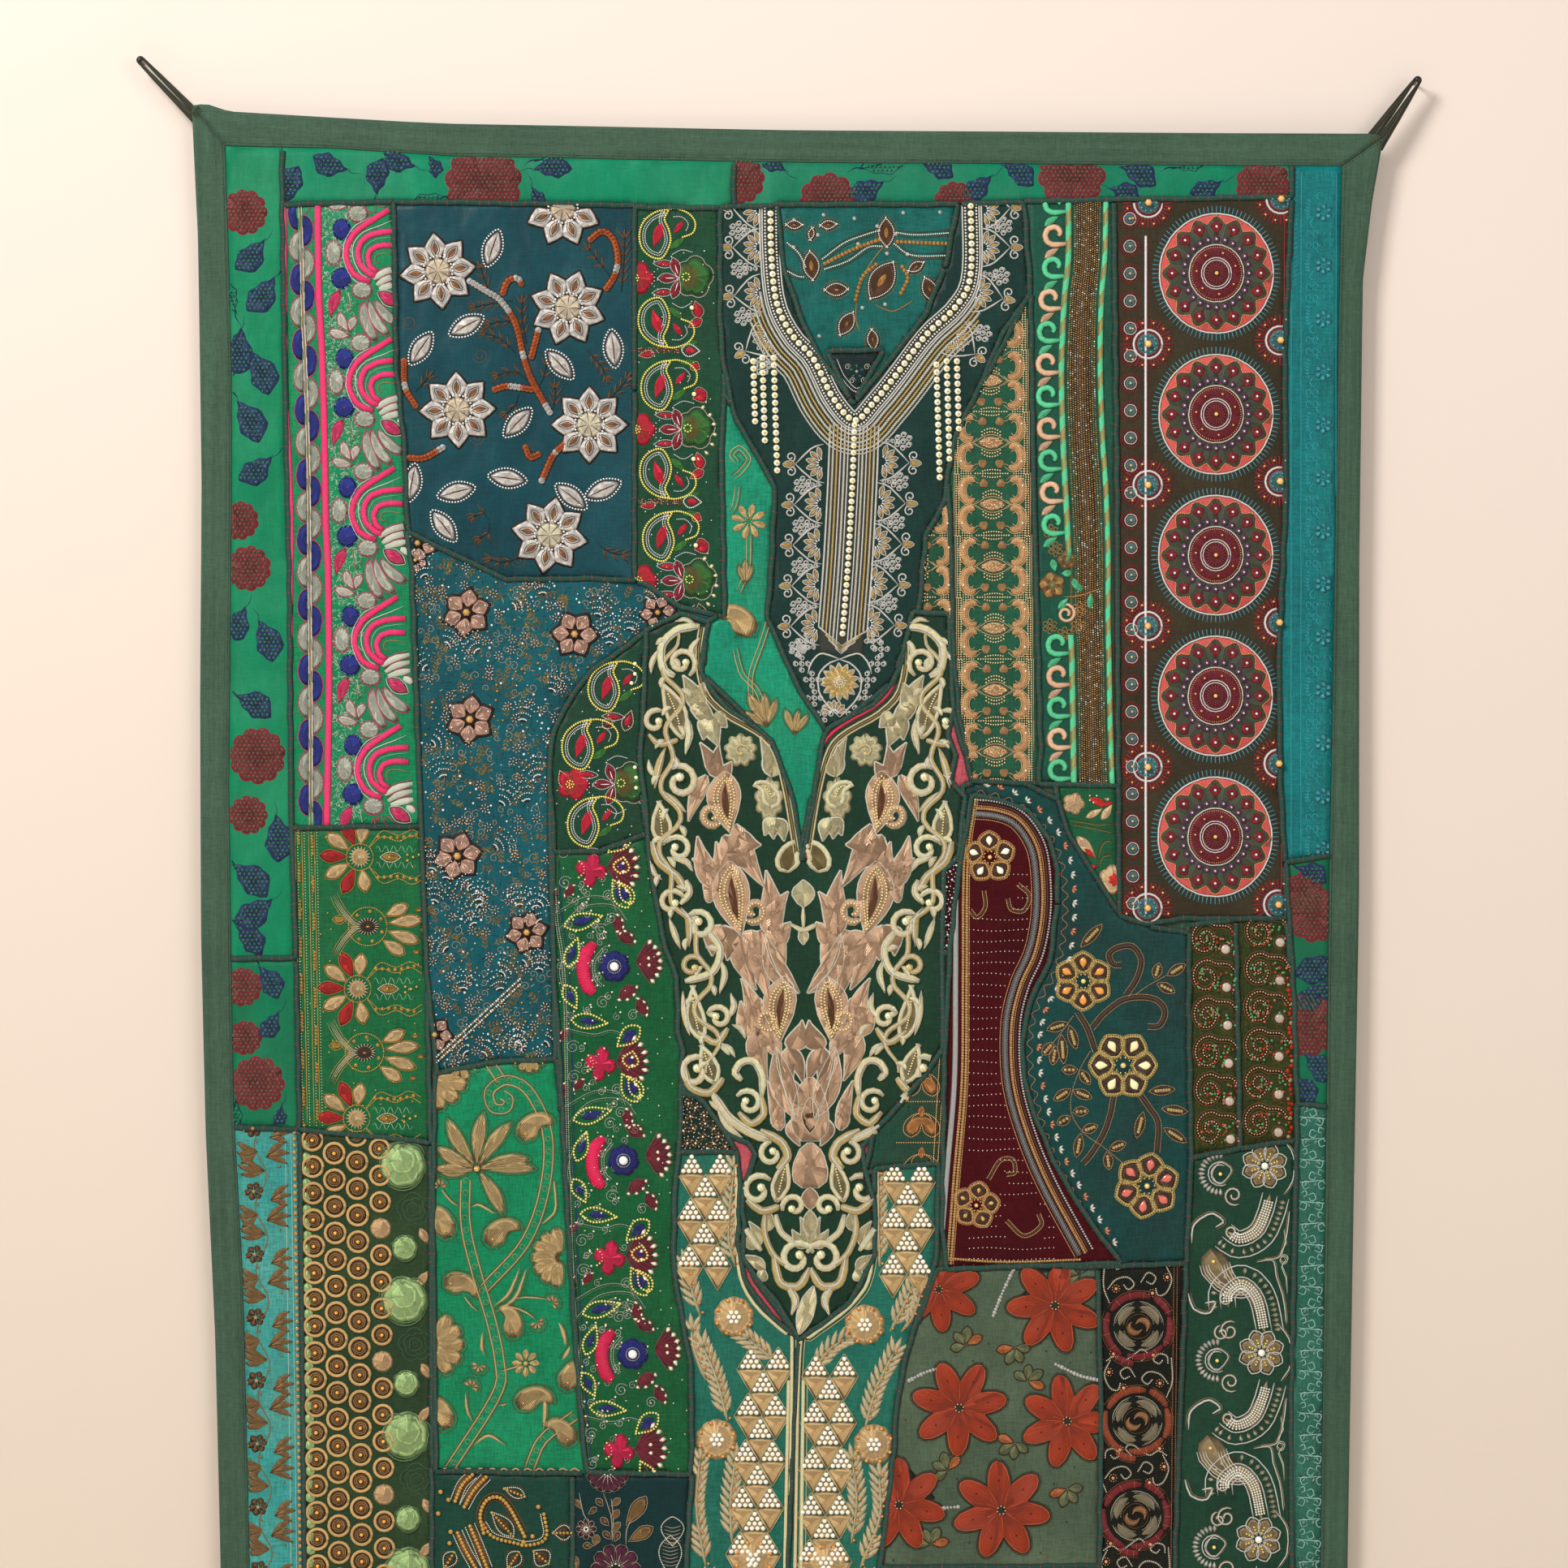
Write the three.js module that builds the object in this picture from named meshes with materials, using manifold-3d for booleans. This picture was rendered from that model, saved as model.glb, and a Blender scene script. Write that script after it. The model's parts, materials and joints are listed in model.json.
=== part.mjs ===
// An embroidered patchwork wall hanging and the two nails that it hangs from.
// Millimetres, +Z up. The front faces -Y, and the origin is the middle of the top edge.
// A cotton ground carries about fifty cut pieces of older embroidered cloth, laid edge to edge.
// A dark green binding is folded over its four edges, and a tape loop at each upper corner
// goes over a nail. Every sheet follows the same hanging shape, the function drape below.

import * as THREE from 'three';
import { mergeVertices } from 'three/addons/utils/BufferGeometryUtils.js';
import Module from 'manifold-3d';

const wasm = await Module();
wasm.setup();

// Driving sizes
const GROUND_THICKNESS = 2;
const PATCH_THICKNESS = 1;
const BINDING_THICKNESS = 1;
const CLEARANCE = 0.3;
const LOOP_THICKNESS = 3;
const GRID = { left: -615, right: 615, bottom: -1545, top: 90, step: 82 };
const EDGE = { front: -40, back: 40 };

// Layers of cloth, as distances behind the middle of the ground
const groundFace = GROUND_THICKNESS / 2;
const layer = {
  ground: { near: -groundFace, far: groundFace },
  patch: { near: -groundFace - CLEARANCE - PATCH_THICKNESS, far: -groundFace - CLEARANCE },
  binding: {
    near: -groundFace - CLEARANCE - BINDING_THICKNESS,
    far: groundFace + CLEARANCE + BINDING_THICKNESS,
  },
  bindingSlot: { near: -groundFace - CLEARANCE, far: groundFace + CLEARANCE },
  loop: { near: -LOOP_THICKNESS / 2, far: LOOP_THICKNESS / 2 },
};

// The hanging shape: long shallow waves that run down the cloth and grow towards the hem,
// and the two upper corners drawn forward by their loops
const wave = [
  { height: 2.4, length: 640, slant: 0.22, phase: 0.9 },
  { height: 1.5, length: 395, slant: -0.35, phase: 2.1 },
  { height: 1.2, length: 820, slant: 1.35, phase: 4.0 },
];
const WAVE_AT_TOP = 0.45;
const HEM_DEPTH = 1500;
const CORNER = { x: 520, reach: 110, forward: 3 };

function waves(x, z) {
  const growth = WAVE_AT_TOP + (1 - WAVE_AT_TOP) * Math.min(1, Math.max(0, -z / HEM_DEPTH));
  let sum = 0;
  for (const row of wave) {
    const along = x * Math.cos(row.slant) + z * Math.sin(row.slant);
    sum += row.height * Math.sin((2 * Math.PI * along) / row.length + row.phase);
  }
  return growth * sum;
}

function drape(x, z) {
  const corner = Math.hypot(Math.abs(x) - CORNER.x, z) / CORNER.reach;
  return waves(x, z) - waves(0, 0) - CORNER.forward * Math.exp(-corner * corner);
}

// The outer and inner edges of the binding, each side from corner to corner, clockwise
const outerEdge = {
  top: [[-521, 21], [-509, 23], [-488, 16], [-333, 7], [-290, 5], [0, 0], [239, -2], [496, -4],
    [517, -4], [527, -7]],
  right: [[527, -7], [517, -64], [509, -132], [506, -386], [506, -671], [501, -957], [496, -1266],
    [492, -1513]],
  bottom: [[492, -1513], [310, -1509], [0, -1511], [-261, -1515], [-491, -1516]],
  left: [[-491, -1516], [-496, -1266], [-501, -1060], [-509, -884], [-513, -708], [-514, -502],
    [-513, -311], [-516, -93], [-521, 21]],
};
const innerEdge = {
  top: [[-491, -15], [-396, -17], [-290, -24], [0, -29], [490, -33]],
  right: [[490, -33], [481, -576], [479, -671], [476, -957], [472, -1266], [467, -1486]],
  bottom: [[467, -1486], [310, -1481], [0, -1484], [-261, -1488], [-464, -1488]],
  left: [[-464, -1488], [-470, -1266], [-476, -1016], [-484, -861], [-488, -576], [-486, -326],
    [-486, -207], [-491, -15]],
};

// The tape loops: where each is sewn to its corner, and the nail that it goes over
const nail = { shaft: 1.2, head: 2.6, headDepth: 1.2, length: 26, tip: 4, sides: 10 };
const loop = { eye: 3.4, hole: nail.shaft + CLEARANCE, eyeSteps: 8 };
const hanger = [
  { side: 'left', root: [-520, 14], rootWidth: 11, nail: [-566, 61] },
  { side: 'right', root: [521, -9], rootWidth: 18, nail: [557, 43] },
];

// Cloth colours
const cloth = {
  binding: '#3b5946',
  ground: '#47604f',
  loop: '#2f3220',
  emerald: '#0b9a63',
  vine: '#0fa070',
  lotus: '#0a8058',
  velvet: '#0a6446',
  deepGreen: '#1d4a38',
  teal: '#13505c',
  darkTeal: '#10413f',
  turquoise: '#13747c',
  brightTurquoise: '#0f8d98',
  paleTeal: '#5a948e',
  seaGreen: '#0f6a5c',
  olive: '#474c35',
  bronzeGreen: '#4a4a20',
  sage: '#5b8a7c',
  cream: '#b9995f',
  maroon: '#5e0a24',
  plum: '#3a1326',
  rose: '#b8525c',
  black: '#15211f',
};

// The cut pieces, the ones sewn on last first: each covers what comes after it in the table
const patch = [
  { name: 'yoke_gold', colour: cloth.deepGreen, outline: [
    [-91, -426], [-66, -434], [-72, -459], [-72, -479], [-62, -496], [-49, -510], [-24, -526],
    [-11, -538], [-4, -555], [4, -577], [10, -600], [16, -644], [24, -602], [29, -571], [34, -537],
    [38, -528], [55, -518], [79, -506], [96, -486], [104, -467], [111, -432], [114, -424], [145, -426],
    [149, -509], [144, -533], [151, -551], [146, -573], [159, -587], [154, -639], [141, -651],
    [139, -721], [140, -807], [124, -832], [100, -859], [79, -881], [69, -895], [71, -917], [80, -943],
    [80, -989], [59, -1031], [36, -1049], [13, -1064], [-6, -1031], [-20, -1016], [-37, -991],
    [-34, -963], [-38, -949], [-34, -928], [-25, -901], [-31, -891], [-51, -883], [-70, -855],
    [-87, -843], [-91, -827], [-89, -810], [-93, -793], [-94, -746], [-104, -721], [-114, -669],
    [-119, -636], [-121, -600], [-127, -551], [-124, -524], [-121, -440],
  ] },
  { name: 'yoke_pearl', colour: cloth.darkTeal, outline: [
    [-56, -68], [-6, -68], [-1, -121], [14, -164], [31, -200], [61, -241], [96, -200], [124, -164],
    [142, -121], [153, -66], [211, -64], [217, -145], [194, -176], [171, -229], [151, -269],
    [144, -304], [141, -329], [125, -357], [119, -421], [111, -439], [96, -486], [55, -518],
    [37, -529], [14, -493], [-3, -457], [-15, -429], [-11, -386], [-8, -314], [-43, -254], [-53, -207],
    [-56, -171],
  ] },
  { name: 'neck_tip', colour: cloth.black, outline: [[37, -195], [87, -194], [61, -241]] },
  { name: 'neck_inset', colour: cloth.turquoise, outline: [
    [-8, -66], [154, -66], [142, -121], [124, -164], [96, -200], [61, -241], [31, -200], [14, -164],
    [-1, -121],
  ] },
  { name: 'paisley_strip', colour: cloth.velvet, outline: [
    [-131, -69], [-56, -69], [-56, -171], [-52, -221], [-55, -286], [-52, -429], [-90, -420],
    [-122, -400], [-131, -397],
  ] },
  { name: 'lily_sliver', colour: cloth.vine, outline: [
    [-55, -229], [-4, -314], [-11, -429], [37, -525], [29, -571], [14, -636], [-11, -538], [-72, -479],
    [-67, -433], [-53, -426], [-56, -286],
  ] },
  { name: 'daisy_satin', colour: cloth.teal, outline: [
    [-343, -64], [-131, -67], [-131, -397], [-176, -395], [-244, -396], [-286, -376], [-331, -354],
    [-333, -286], [-341, -207],
  ] },
  { name: 'beaded_turquoise', colour: cloth.turquoise, outline: [
    [-333, -343], [-286, -364], [-131, -386], [-76, -414], [-52, -426], [-66, -434], [-91, -426],
    [-121, -441], [-147, -461], [-169, -476], [-187, -499], [-201, -525], [-206, -550], [-205, -632],
    [-202, -743], [-201, -818], [-250, -819], [-305, -830], [-314, -743], [-319, -613], [-322, -529],
    [-327, -386],
  ] },
  { name: 'paisley_small', colour: cloth.velvet, outline: [
    [-121, -440], [-124, -524], [-127, -551], [-121, -620], [-162, -635], [-202, -635], [-206, -550],
    [-201, -525], [-187, -499], [-169, -476],
  ] },
  { name: 'navy_flower', colour: cloth.lotus, outline: [
    [-203, -632], [-162, -635], [-121, -619], [-111, -669], [-94, -729], [-90, -814], [-91, -886],
    [-96, -932], [-97, -1000], [-90, -1043], [-82, -1086], [-81, -1157], [-82, -1183], [-174, -1181],
    [-181, -1100], [-190, -957], [-197, -821], [-202, -743],
  ] },
  { name: 'gold_vine', colour: cloth.vine, outline: [
    [-307, -830], [-250, -819], [-199, -819], [-190, -957], [-181, -1100], [-174, -1182],
    [-306, -1180], [-309, -957],
  ] },
  { name: 'brown_paisley', colour: cloth.turquoise, outline: [
    [-310, -1179], [-186, -1182], [-186, -1266], [-181, -1453], [-309, -1453],
  ] },
  { name: 'maroon_spray', colour: cloth.darkTeal, outline: [
    [-186, -1181], [-81, -1183], [-86, -1266], [-88, -1453], [-181, -1453], [-186, -1266],
  ] },
  { name: 'diamond_left', colour: cloth.turquoise, outline: [
    [-92, -899], [-41, -899], [-39, -924], [-41, -977], [-35, -1012], [-11, -1044], [13, -1064],
    [9, -1134], [3, -1266], [-4, -1451], [-88, -1453], [-86, -1266], [-82, -1183], [-81, -1157],
    [-82, -1086], [-90, -1043], [-97, -1000], [-96, -932],
  ] },
  { name: 'diamond_right', colour: cloth.turquoise, outline: [
    [80, -914], [136, -909], [134, -994], [119, -1040], [108, -1075], [99, -1121], [96, -1169],
    [89, -1226], [84, -1266], [71, -1450], [-4, -1451], [3, -1266], [9, -1134], [13, -1064],
    [54, -1031], [76, -994], [79, -959],
  ] },
  { name: 'print_left_high', colour: cloth.emerald, outline: [
    [-497, -7], [-441, -7], [-441, -66], [-439, -207], [-435, -386], [-433, -613], [-429, -729],
    [-494, -729],
  ] },
  { name: 'print_left_low', colour: cloth.emerald, outline: [
    [-494, -729], [-429, -729], [-426, -880], [-494, -877],
  ] },
  { name: 'trim_vine', colour: cloth.paleTeal, outline: [
    [-497, -877], [-426, -880], [-422, -1266], [-419, -1453], [-483, -1453],
  ] },
  { name: 'border_scallop', colour: cloth.emerald, outline: [
    [-441, -67], [-343, -64], [-341, -207], [-333, -286], [-324, -386], [-322, -529], [-319, -613],
    [-433, -614], [-435, -386], [-439, -207],
  ] },
  { name: 'border_lotus', colour: cloth.lotus, outline: [
    [-433, -614], [-319, -613], [-314, -743], [-311, -891], [-426, -880], [-429, -743],
  ] },
  { name: 'border_rings', colour: cloth.cream, outline: [
    [-426, -880], [-311, -891], [-309, -1266], [-309, -1453], [-419, -1453], [-422, -1266],
  ] },
  { name: 'print_top_left', colour: cloth.emerald, outline: [
    [-441, -7], [-44, -7], [-44, -69], [-344, -64], [-441, -67],
  ] },
  { name: 'print_top_right', colour: cloth.emerald, outline: [
    [-44, -7], [446, -21], [446, -60], [290, -62], [-44, -69],
  ] },
  { name: 'ribbon_border', colour: cloth.deepGreen, outline: [
    [211, -64], [290, -62], [293, -314], [294, -577], [224, -576], [226, -544], [220, -326],
    [217, -145],
  ] },
  { name: 'block_border', colour: cloth.seaGreen, outline: [
    [217, -143], [220, -326], [226, -544], [226, -575], [165, -573], [154, -513], [149, -458],
    [147, -370], [144, -304], [151, -269],
  ] },
  { name: 'block_sliver', colour: cloth.seaGreen, outline: [
    [141, -325], [146, -329], [150, -457], [145, -426], [114, -424], [125, -350],
  ] },
  { name: 'mandala_border', colour: cloth.olive, outline: [
    [290, -61], [446, -60], [440, -194], [441, -326], [435, -458], [436, -572], [440, -644],
    [441, -694], [351, -694], [319, -699], [295, -691], [294, -577], [293, -314],
  ] },
  { name: 'turquoise_trim', colour: cloth.brightTurquoise, outline: [
    [446, -21], [496, -21], [489, -576], [487, -637], [440, -644], [436, -572], [435, -458],
    [441, -326], [440, -194],
  ] },
  { name: 'print_right', colour: cloth.emerald, outline: [
    [441, -644], [489, -637], [485, -859], [451, -857], [448, -762],
  ] },
  { name: 'pale_trim', colour: cloth.paleTeal, outline: [
    [451, -857], [485, -859], [478, -1453], [447, -1453], [447, -1266], [446, -1125], [450, -928],
  ] },
  { name: 'maroon_panel', colour: cloth.maroon, outline: [
    [166, -585], [185, -589], [214, -598], [234, -624], [241, -654], [240, -682], [234, -732],
    [216, -767], [209, -805], [211, -834], [220, -866], [237, -907], [261, -948], [281, -977],
    [297, -997], [143, -1002], [139, -965], [141, -819], [146, -720], [155, -644],
  ] },
  { name: 'teal_panel', colour: cloth.darkTeal, outline: [
    [157, -577], [176, -571], [214, -576], [241, -589], [251, -621], [275, -659], [295, -690],
    [319, -700], [356, -707], [356, -785], [358, -903], [354, -997], [292, -1000], [196, -1000],
    [160, -643],
  ] },
  { name: 'cream_flower', colour: cloth.emerald, outline: [
    [239, -577], [294, -577], [295, -690], [275, -659], [251, -621], [241, -589],
  ] },
  { name: 'scroll_left', colour: cloth.bronzeGreen, outline: [
    [355, -700], [397, -695], [401, -896], [358, -904], [356, -785],
  ] },
  { name: 'scroll_right', colour: cloth.bronzeGreen, outline: [
    [397, -695], [441, -694], [448, -762], [451, -889], [401, -896],
  ] },
  { name: 'silver_paisley', colour: cloth.deepGreen, outline: [
    [358, -904], [451, -889], [450, -928], [446, -1125], [447, -1266], [447, -1453], [341, -1453],
    [344, -1266], [349, -1125], [354, -997],
  ] },
  { name: 'rust_star', colour: cloth.sage, outline: [
    [135, -1002], [276, -1000], [279, -1129], [278, -1264], [81, -1264], [96, -1169], [99, -1121],
    [108, -1075], [134, -1004],
  ] },
  { name: 'sage_low', colour: cloth.lotus, outline: [
    [74, -1264], [278, -1264], [276, -1450], [71, -1450],
  ] },
  { name: 'mesh_rosette', colour: cloth.black, outline: [
    [276, -1000], [354, -997], [349, -1125], [344, -1266], [341, -1451], [276, -1451], [278, -1266],
    [279, -1129],
  ] },
  { name: 'dark_sliver', colour: cloth.darkTeal, outline: [
    [-91, -846], [-69, -854], [-51, -883], [-41, -901], [-93, -900],
  ] },
  { name: 'copper_corner', colour: cloth.seaGreen, outline: [
    [124, -832], [141, -807], [139, -911], [71, -917], [79, -881], [100, -859],
  ] },
  { name: 'dark_lace', colour: cloth.plum, outline: [
    [139, -649], [156, -636], [150, -723], [138, -725],
  ] },
  { name: 'rose_high', colour: cloth.rose, outline: [
    [-93, -804], [-83, -814], [-67, -857], [-86, -859],
  ] },
  { name: 'rose_left', colour: cloth.rose, outline: [
    [-52, -881], [-22, -891], [-29, -971], [-39, -971], [-41, -914],
  ] },
  { name: 'rose_low', colour: cloth.rose, outline: [
    [-39, -979], [-26, -1011], [13, -1064], [-4, -1057], [-35, -1014],
  ] },
  { name: 'rose_side', colour: cloth.rose, outline: [
    [147, -506], [164, -566], [165, -582], [157, -589], [142, -571],
  ] },
  { name: 'rose_right', colour: cloth.rose, outline: [
    [66, -889], [89, -871], [81, -957], [76, -989], [71, -921],
  ] },
  { name: 'print_bottom', colour: cloth.emerald, outline: [
    [-476, -1453], [474, -1450], [474, -1493], [-476, -1493],
  ] },
];

function toManifold(geometry) {
  const bare = geometry.clone();
  bare.deleteAttribute('normal');
  bare.deleteAttribute('uv');
  const merged = mergeVertices(bare, 1e-5);
  return new wasm.Manifold(new wasm.Mesh({
    numProp: 3,
    vertProperties: new Float32Array(merged.attributes.position.array),
    triVerts: new Uint32Array(merged.index.array),
  }));
}

// The largest body of a solid as a three.js geometry, so that a cut leaves no loose scrap
function toGeometry(solid) {
  const bodies = solid.simplify(0.01).decompose().sort((a, b) => b.volume() - a.volume());
  const mesh = bodies[0].getMesh();
  const geometry = new THREE.BufferGeometry();
  geometry.setAttribute('position', new THREE.BufferAttribute(mesh.vertProperties, 3));
  geometry.setIndex(new THREE.BufferAttribute(mesh.triVerts, 1));
  geometry.computeVertexNormals();
  return geometry;
}

// A box's -Y face is split along the other diagonal than its +Y face; this turns it to match
function alignDiagonals(box) {
  const index = box.index;
  const [nearGroup] = box.groups.filter((group) => group.materialIndex === 3);
  for (let i = nearGroup.start; i < nearGroup.start + nearGroup.count; i += 6) {
    const [a, b, d, c] = [index.getX(i), index.getX(i + 1), index.getX(i + 2), index.getX(i + 4)];
    [a, b, c, a, c, d].forEach((corner, k) => index.setX(i + k, corner));
  }
}

// A sheet between two distances behind the hanging shape: both faces are the same grid,
// moved along Y, so that sheets laid on each other stay evenly apart
function sheet({ near, far }) {
  const columns = Math.ceil((GRID.right - GRID.left) / GRID.step);
  const rows = Math.ceil((GRID.top - GRID.bottom) / GRID.step);
  const geometry = new THREE.BoxGeometry(
    GRID.right - GRID.left, far - near, GRID.top - GRID.bottom, columns, 1, rows);
  alignDiagonals(geometry);
  geometry.translate((GRID.left + GRID.right) / 2, (near + far) / 2, (GRID.top + GRID.bottom) / 2);
  const position = geometry.attributes.position;
  for (let i = 0; i < position.count; i += 1) {
    position.setY(i, position.getY(i) + drape(position.getX(i), position.getZ(i)));
  }
  return toManifold(geometry);
}

// A straight wall of the given outline, from well in front of the cloth to well behind it
function prism(outline) {
  const shape = new THREE.Shape(outline.map(([x, z]) => new THREE.Vector2(x, z)));
  const geometry = new THREE.ExtrudeGeometry(shape, {
    depth: EDGE.back - EDGE.front,
    bevelEnabled: false,
  });
  geometry.rotateX(Math.PI / 2);
  geometry.translate(0, EDGE.back, 0);
  return toManifold(geometry);
}

// The outline with every edge moved outwards by the distance, corners kept sharp up to a limit
function offsetOutline(outline, distance) {
  const outward = THREE.ShapeUtils.isClockWise(outline.map(([x, y]) => ({ x, y }))) ? 1 : -1;
  const count = outline.length;
  return outline.map((point, i) => {
    const before = outline[(i + count - 1) % count];
    const after = outline[(i + 1) % count];
    const a = new THREE.Vector2(point[0] - before[0], point[1] - before[1]).normalize();
    const b = new THREE.Vector2(after[0] - point[0], after[1] - point[1]).normalize();
    const normalA = new THREE.Vector2(-a.y, a.x);
    const normalB = new THREE.Vector2(-b.y, b.x);
    const corner = normalA.add(normalB);
    const reach = Math.max(corner.lengthSq() / 2, 0.15);
    return [
      point[0] + (outward * distance * corner.x) / reach,
      point[1] + (outward * distance * corner.y) / reach,
    ];
  });
}

function closedLoop(edge) {
  return ['top', 'right', 'bottom', 'left'].flatMap((side) => edge[side].slice(0, -1));
}

const part = new THREE.Group();

function addMesh(name, geometry, colour, roughness, metalness) {
  const material = new THREE.MeshStandardMaterial({ color: colour, roughness, metalness });
  const mesh = new THREE.Mesh(geometry, material);
  mesh.name = name;
  part.add(mesh);
  return mesh;
}

const panelOutline = closedLoop(outerEdge);
const patchArea = prism(offsetOutline(closedLoop(innerEdge), -CLEARANCE / 2));

function addGround() {
  const inset = -BINDING_THICKNESS - CLEARANCE;
  const edge = prism(offsetOutline(panelOutline, inset));
  addMesh('ground_cloth', toGeometry(sheet(layer.ground).intersect(edge)), cloth.ground, 0.9, 0);
}

// Each side of the binding is folded over the edge of the ground and mitred at its ends
function addBinding() {
  const folded = sheet(layer.binding);
  const slot = sheet(layer.bindingSlot).intersect(prism(offsetOutline(panelOutline, -BINDING_THICKNESS)));
  for (const side of Object.keys(outerEdge)) {
    const outline = [...outerEdge[side], ...[...innerEdge[side]].reverse()];
    const strip = prism(offsetOutline(outline, -CLEARANCE / 2));
    const solid = folded.intersect(strip).subtract(slot);
    addMesh(`binding_${side}`, toGeometry(solid), cloth.binding, 0.85, 0);
  }
}

function addPatches() {
  const top = sheet(layer.patch);
  let taken = null;
  for (const row of patch) {
    let solid = top.intersect(prism(row.outline)).intersect(patchArea);
    if (taken) {
      solid = solid.subtract(taken);
    }
    addMesh(row.name, toGeometry(solid), row.colour, 0.75, 0);
    const margin = prism(offsetOutline(row.outline, CLEARANCE));
    taken = taken ? taken.add(margin) : margin;
  }
}

// A flat gathered tape from its root at the corner to a round end with the nail through it
function loopOutline(row) {
  const [rootX, rootZ] = row.root;
  const [nailX, nailZ] = row.nail;
  const angle = Math.atan2(nailZ - rootZ, nailX - rootX);
  const across = [-Math.sin(angle) * row.rootWidth / 2, Math.cos(angle) * row.rootWidth / 2];
  const outline = [[rootX + across[0], rootZ + across[1]], [rootX - across[0], rootZ - across[1]]];
  for (let i = 0; i <= loop.eyeSteps; i += 1) {
    const turn = angle - Math.PI / 2 + (Math.PI * i) / loop.eyeSteps;
    outline.push([nailX + loop.eye * Math.cos(turn), nailZ + loop.eye * Math.sin(turn)]);
  }
  return outline;
}

function circleOutline([x, z], radius, sides) {
  const outline = [];
  for (let i = 0; i < sides; i += 1) {
    const turn = (2 * Math.PI * i) / sides;
    outline.push([x + radius * Math.cos(turn), z + radius * Math.sin(turn)]);
  }
  return outline;
}

function addLoops() {
  const tape = sheet(layer.loop);
  const panel = prism(offsetOutline(panelOutline, CLEARANCE));
  for (const row of hanger) {
    const hole = prism(circleOutline(row.nail, loop.hole, nail.sides));
    const solid = tape.intersect(prism(loopOutline(row))).subtract(panel).subtract(hole);
    addMesh(`loop_${row.side}`, toGeometry(solid), cloth.loop, 0.85, 0);
  }
}

// A plain round nail along Y, its head just in front of the loop
function addNails() {
  const tipStart = nail.length - nail.tip;
  const profile = [
    [0, 0], [nail.head, 0], [nail.head, nail.headDepth], [nail.shaft, nail.headDepth],
    [nail.shaft, tipStart], [0, nail.length],
  ].map(([radius, y]) => new THREE.Vector2(radius, y));
  for (const row of hanger) {
    const geometry = toGeometry(toManifold(new THREE.LatheGeometry(profile, nail.sides)));
    const mesh = addMesh(`nail_${row.side}`, geometry, '#3a3a3c', 0.45, 0.9);
    const [x, z] = row.nail;
    const front = drape(x, z) + layer.loop.near - 3 * CLEARANCE - nail.headDepth;
    mesh.position.set(x, front, z);
  }
}

addGround();
addBinding();
addPatches();
addLoops();
addNails();

export default part;
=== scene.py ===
"""An embroidered patchwork wall hanging, on its two nails, and the plain room that it is shown in.

Lengths in this file are millimetres on the flat cloth: x to the right, z up from the middle of the
top edge, and h out of the cloth towards the viewer. They become metres where a mesh is made.
"""

import json
import math

import bmesh
import bpy
import numpy as np
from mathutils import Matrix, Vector
from mathutils.geometry import delaunay_2d_cdt


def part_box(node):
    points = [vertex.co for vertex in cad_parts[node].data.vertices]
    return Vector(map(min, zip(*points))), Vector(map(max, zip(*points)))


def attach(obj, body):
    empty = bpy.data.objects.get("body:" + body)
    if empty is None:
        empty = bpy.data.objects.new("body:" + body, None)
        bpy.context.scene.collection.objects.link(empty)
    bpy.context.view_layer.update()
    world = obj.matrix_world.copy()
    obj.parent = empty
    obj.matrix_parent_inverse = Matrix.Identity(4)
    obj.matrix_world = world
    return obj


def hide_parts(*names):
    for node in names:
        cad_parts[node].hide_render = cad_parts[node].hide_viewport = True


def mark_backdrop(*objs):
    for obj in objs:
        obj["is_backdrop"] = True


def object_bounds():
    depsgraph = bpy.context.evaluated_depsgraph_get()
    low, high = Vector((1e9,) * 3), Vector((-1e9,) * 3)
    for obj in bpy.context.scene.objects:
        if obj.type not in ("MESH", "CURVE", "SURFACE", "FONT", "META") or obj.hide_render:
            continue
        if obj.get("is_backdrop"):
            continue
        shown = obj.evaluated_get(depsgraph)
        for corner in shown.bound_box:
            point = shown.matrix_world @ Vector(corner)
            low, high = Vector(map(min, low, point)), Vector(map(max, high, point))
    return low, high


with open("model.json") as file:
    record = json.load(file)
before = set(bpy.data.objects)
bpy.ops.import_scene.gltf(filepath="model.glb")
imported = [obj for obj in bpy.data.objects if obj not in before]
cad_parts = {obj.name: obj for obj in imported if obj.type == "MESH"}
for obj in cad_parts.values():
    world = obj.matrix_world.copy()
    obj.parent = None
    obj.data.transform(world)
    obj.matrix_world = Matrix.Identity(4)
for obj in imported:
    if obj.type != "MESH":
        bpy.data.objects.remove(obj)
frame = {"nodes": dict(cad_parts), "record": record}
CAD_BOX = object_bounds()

bl_info = {
    "name": "Embroidered wall hanging",
    "version": (1, 0, 0),
    "blender": (4, 5, 0),
    "location": "View3D > Sidebar > Hanging",
    "description": "Sews a patchwork wall hanging around its packed solids",
    "category": "Object",
}

MM = 0.001
TAU = 2 * math.pi
random = np.random.default_rng(7)

# The hanging shape, as the solids have it: height, length, slant and phase of each wave
WAVES = ((2.4, 640.0, 0.22, 0.9), (1.5, 395.0, -0.35, 2.1), (1.2, 820.0, 1.35, 4.0))
WAVE_AT_TOP = 0.45
HEM_DEPTH = 1500.0
CORNER = {"x": 520.0, "reach": 110.0, "forward": 3.0}

# Layers of cloth, as distances behind the middle of the ground
GROUND_FRONT, GROUND_BACK = -1.0, 1.0
PATCH_FRONT, PATCH_BACK = -2.3, -1.3
PATCH_TURN = 0.45
PUCKERS = ((0.13, 71.0, 0.4, 1.0), (0.12, 93.0, -0.9, 2.4), (0.1, 62.0, 1.9, 0.3))


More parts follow.
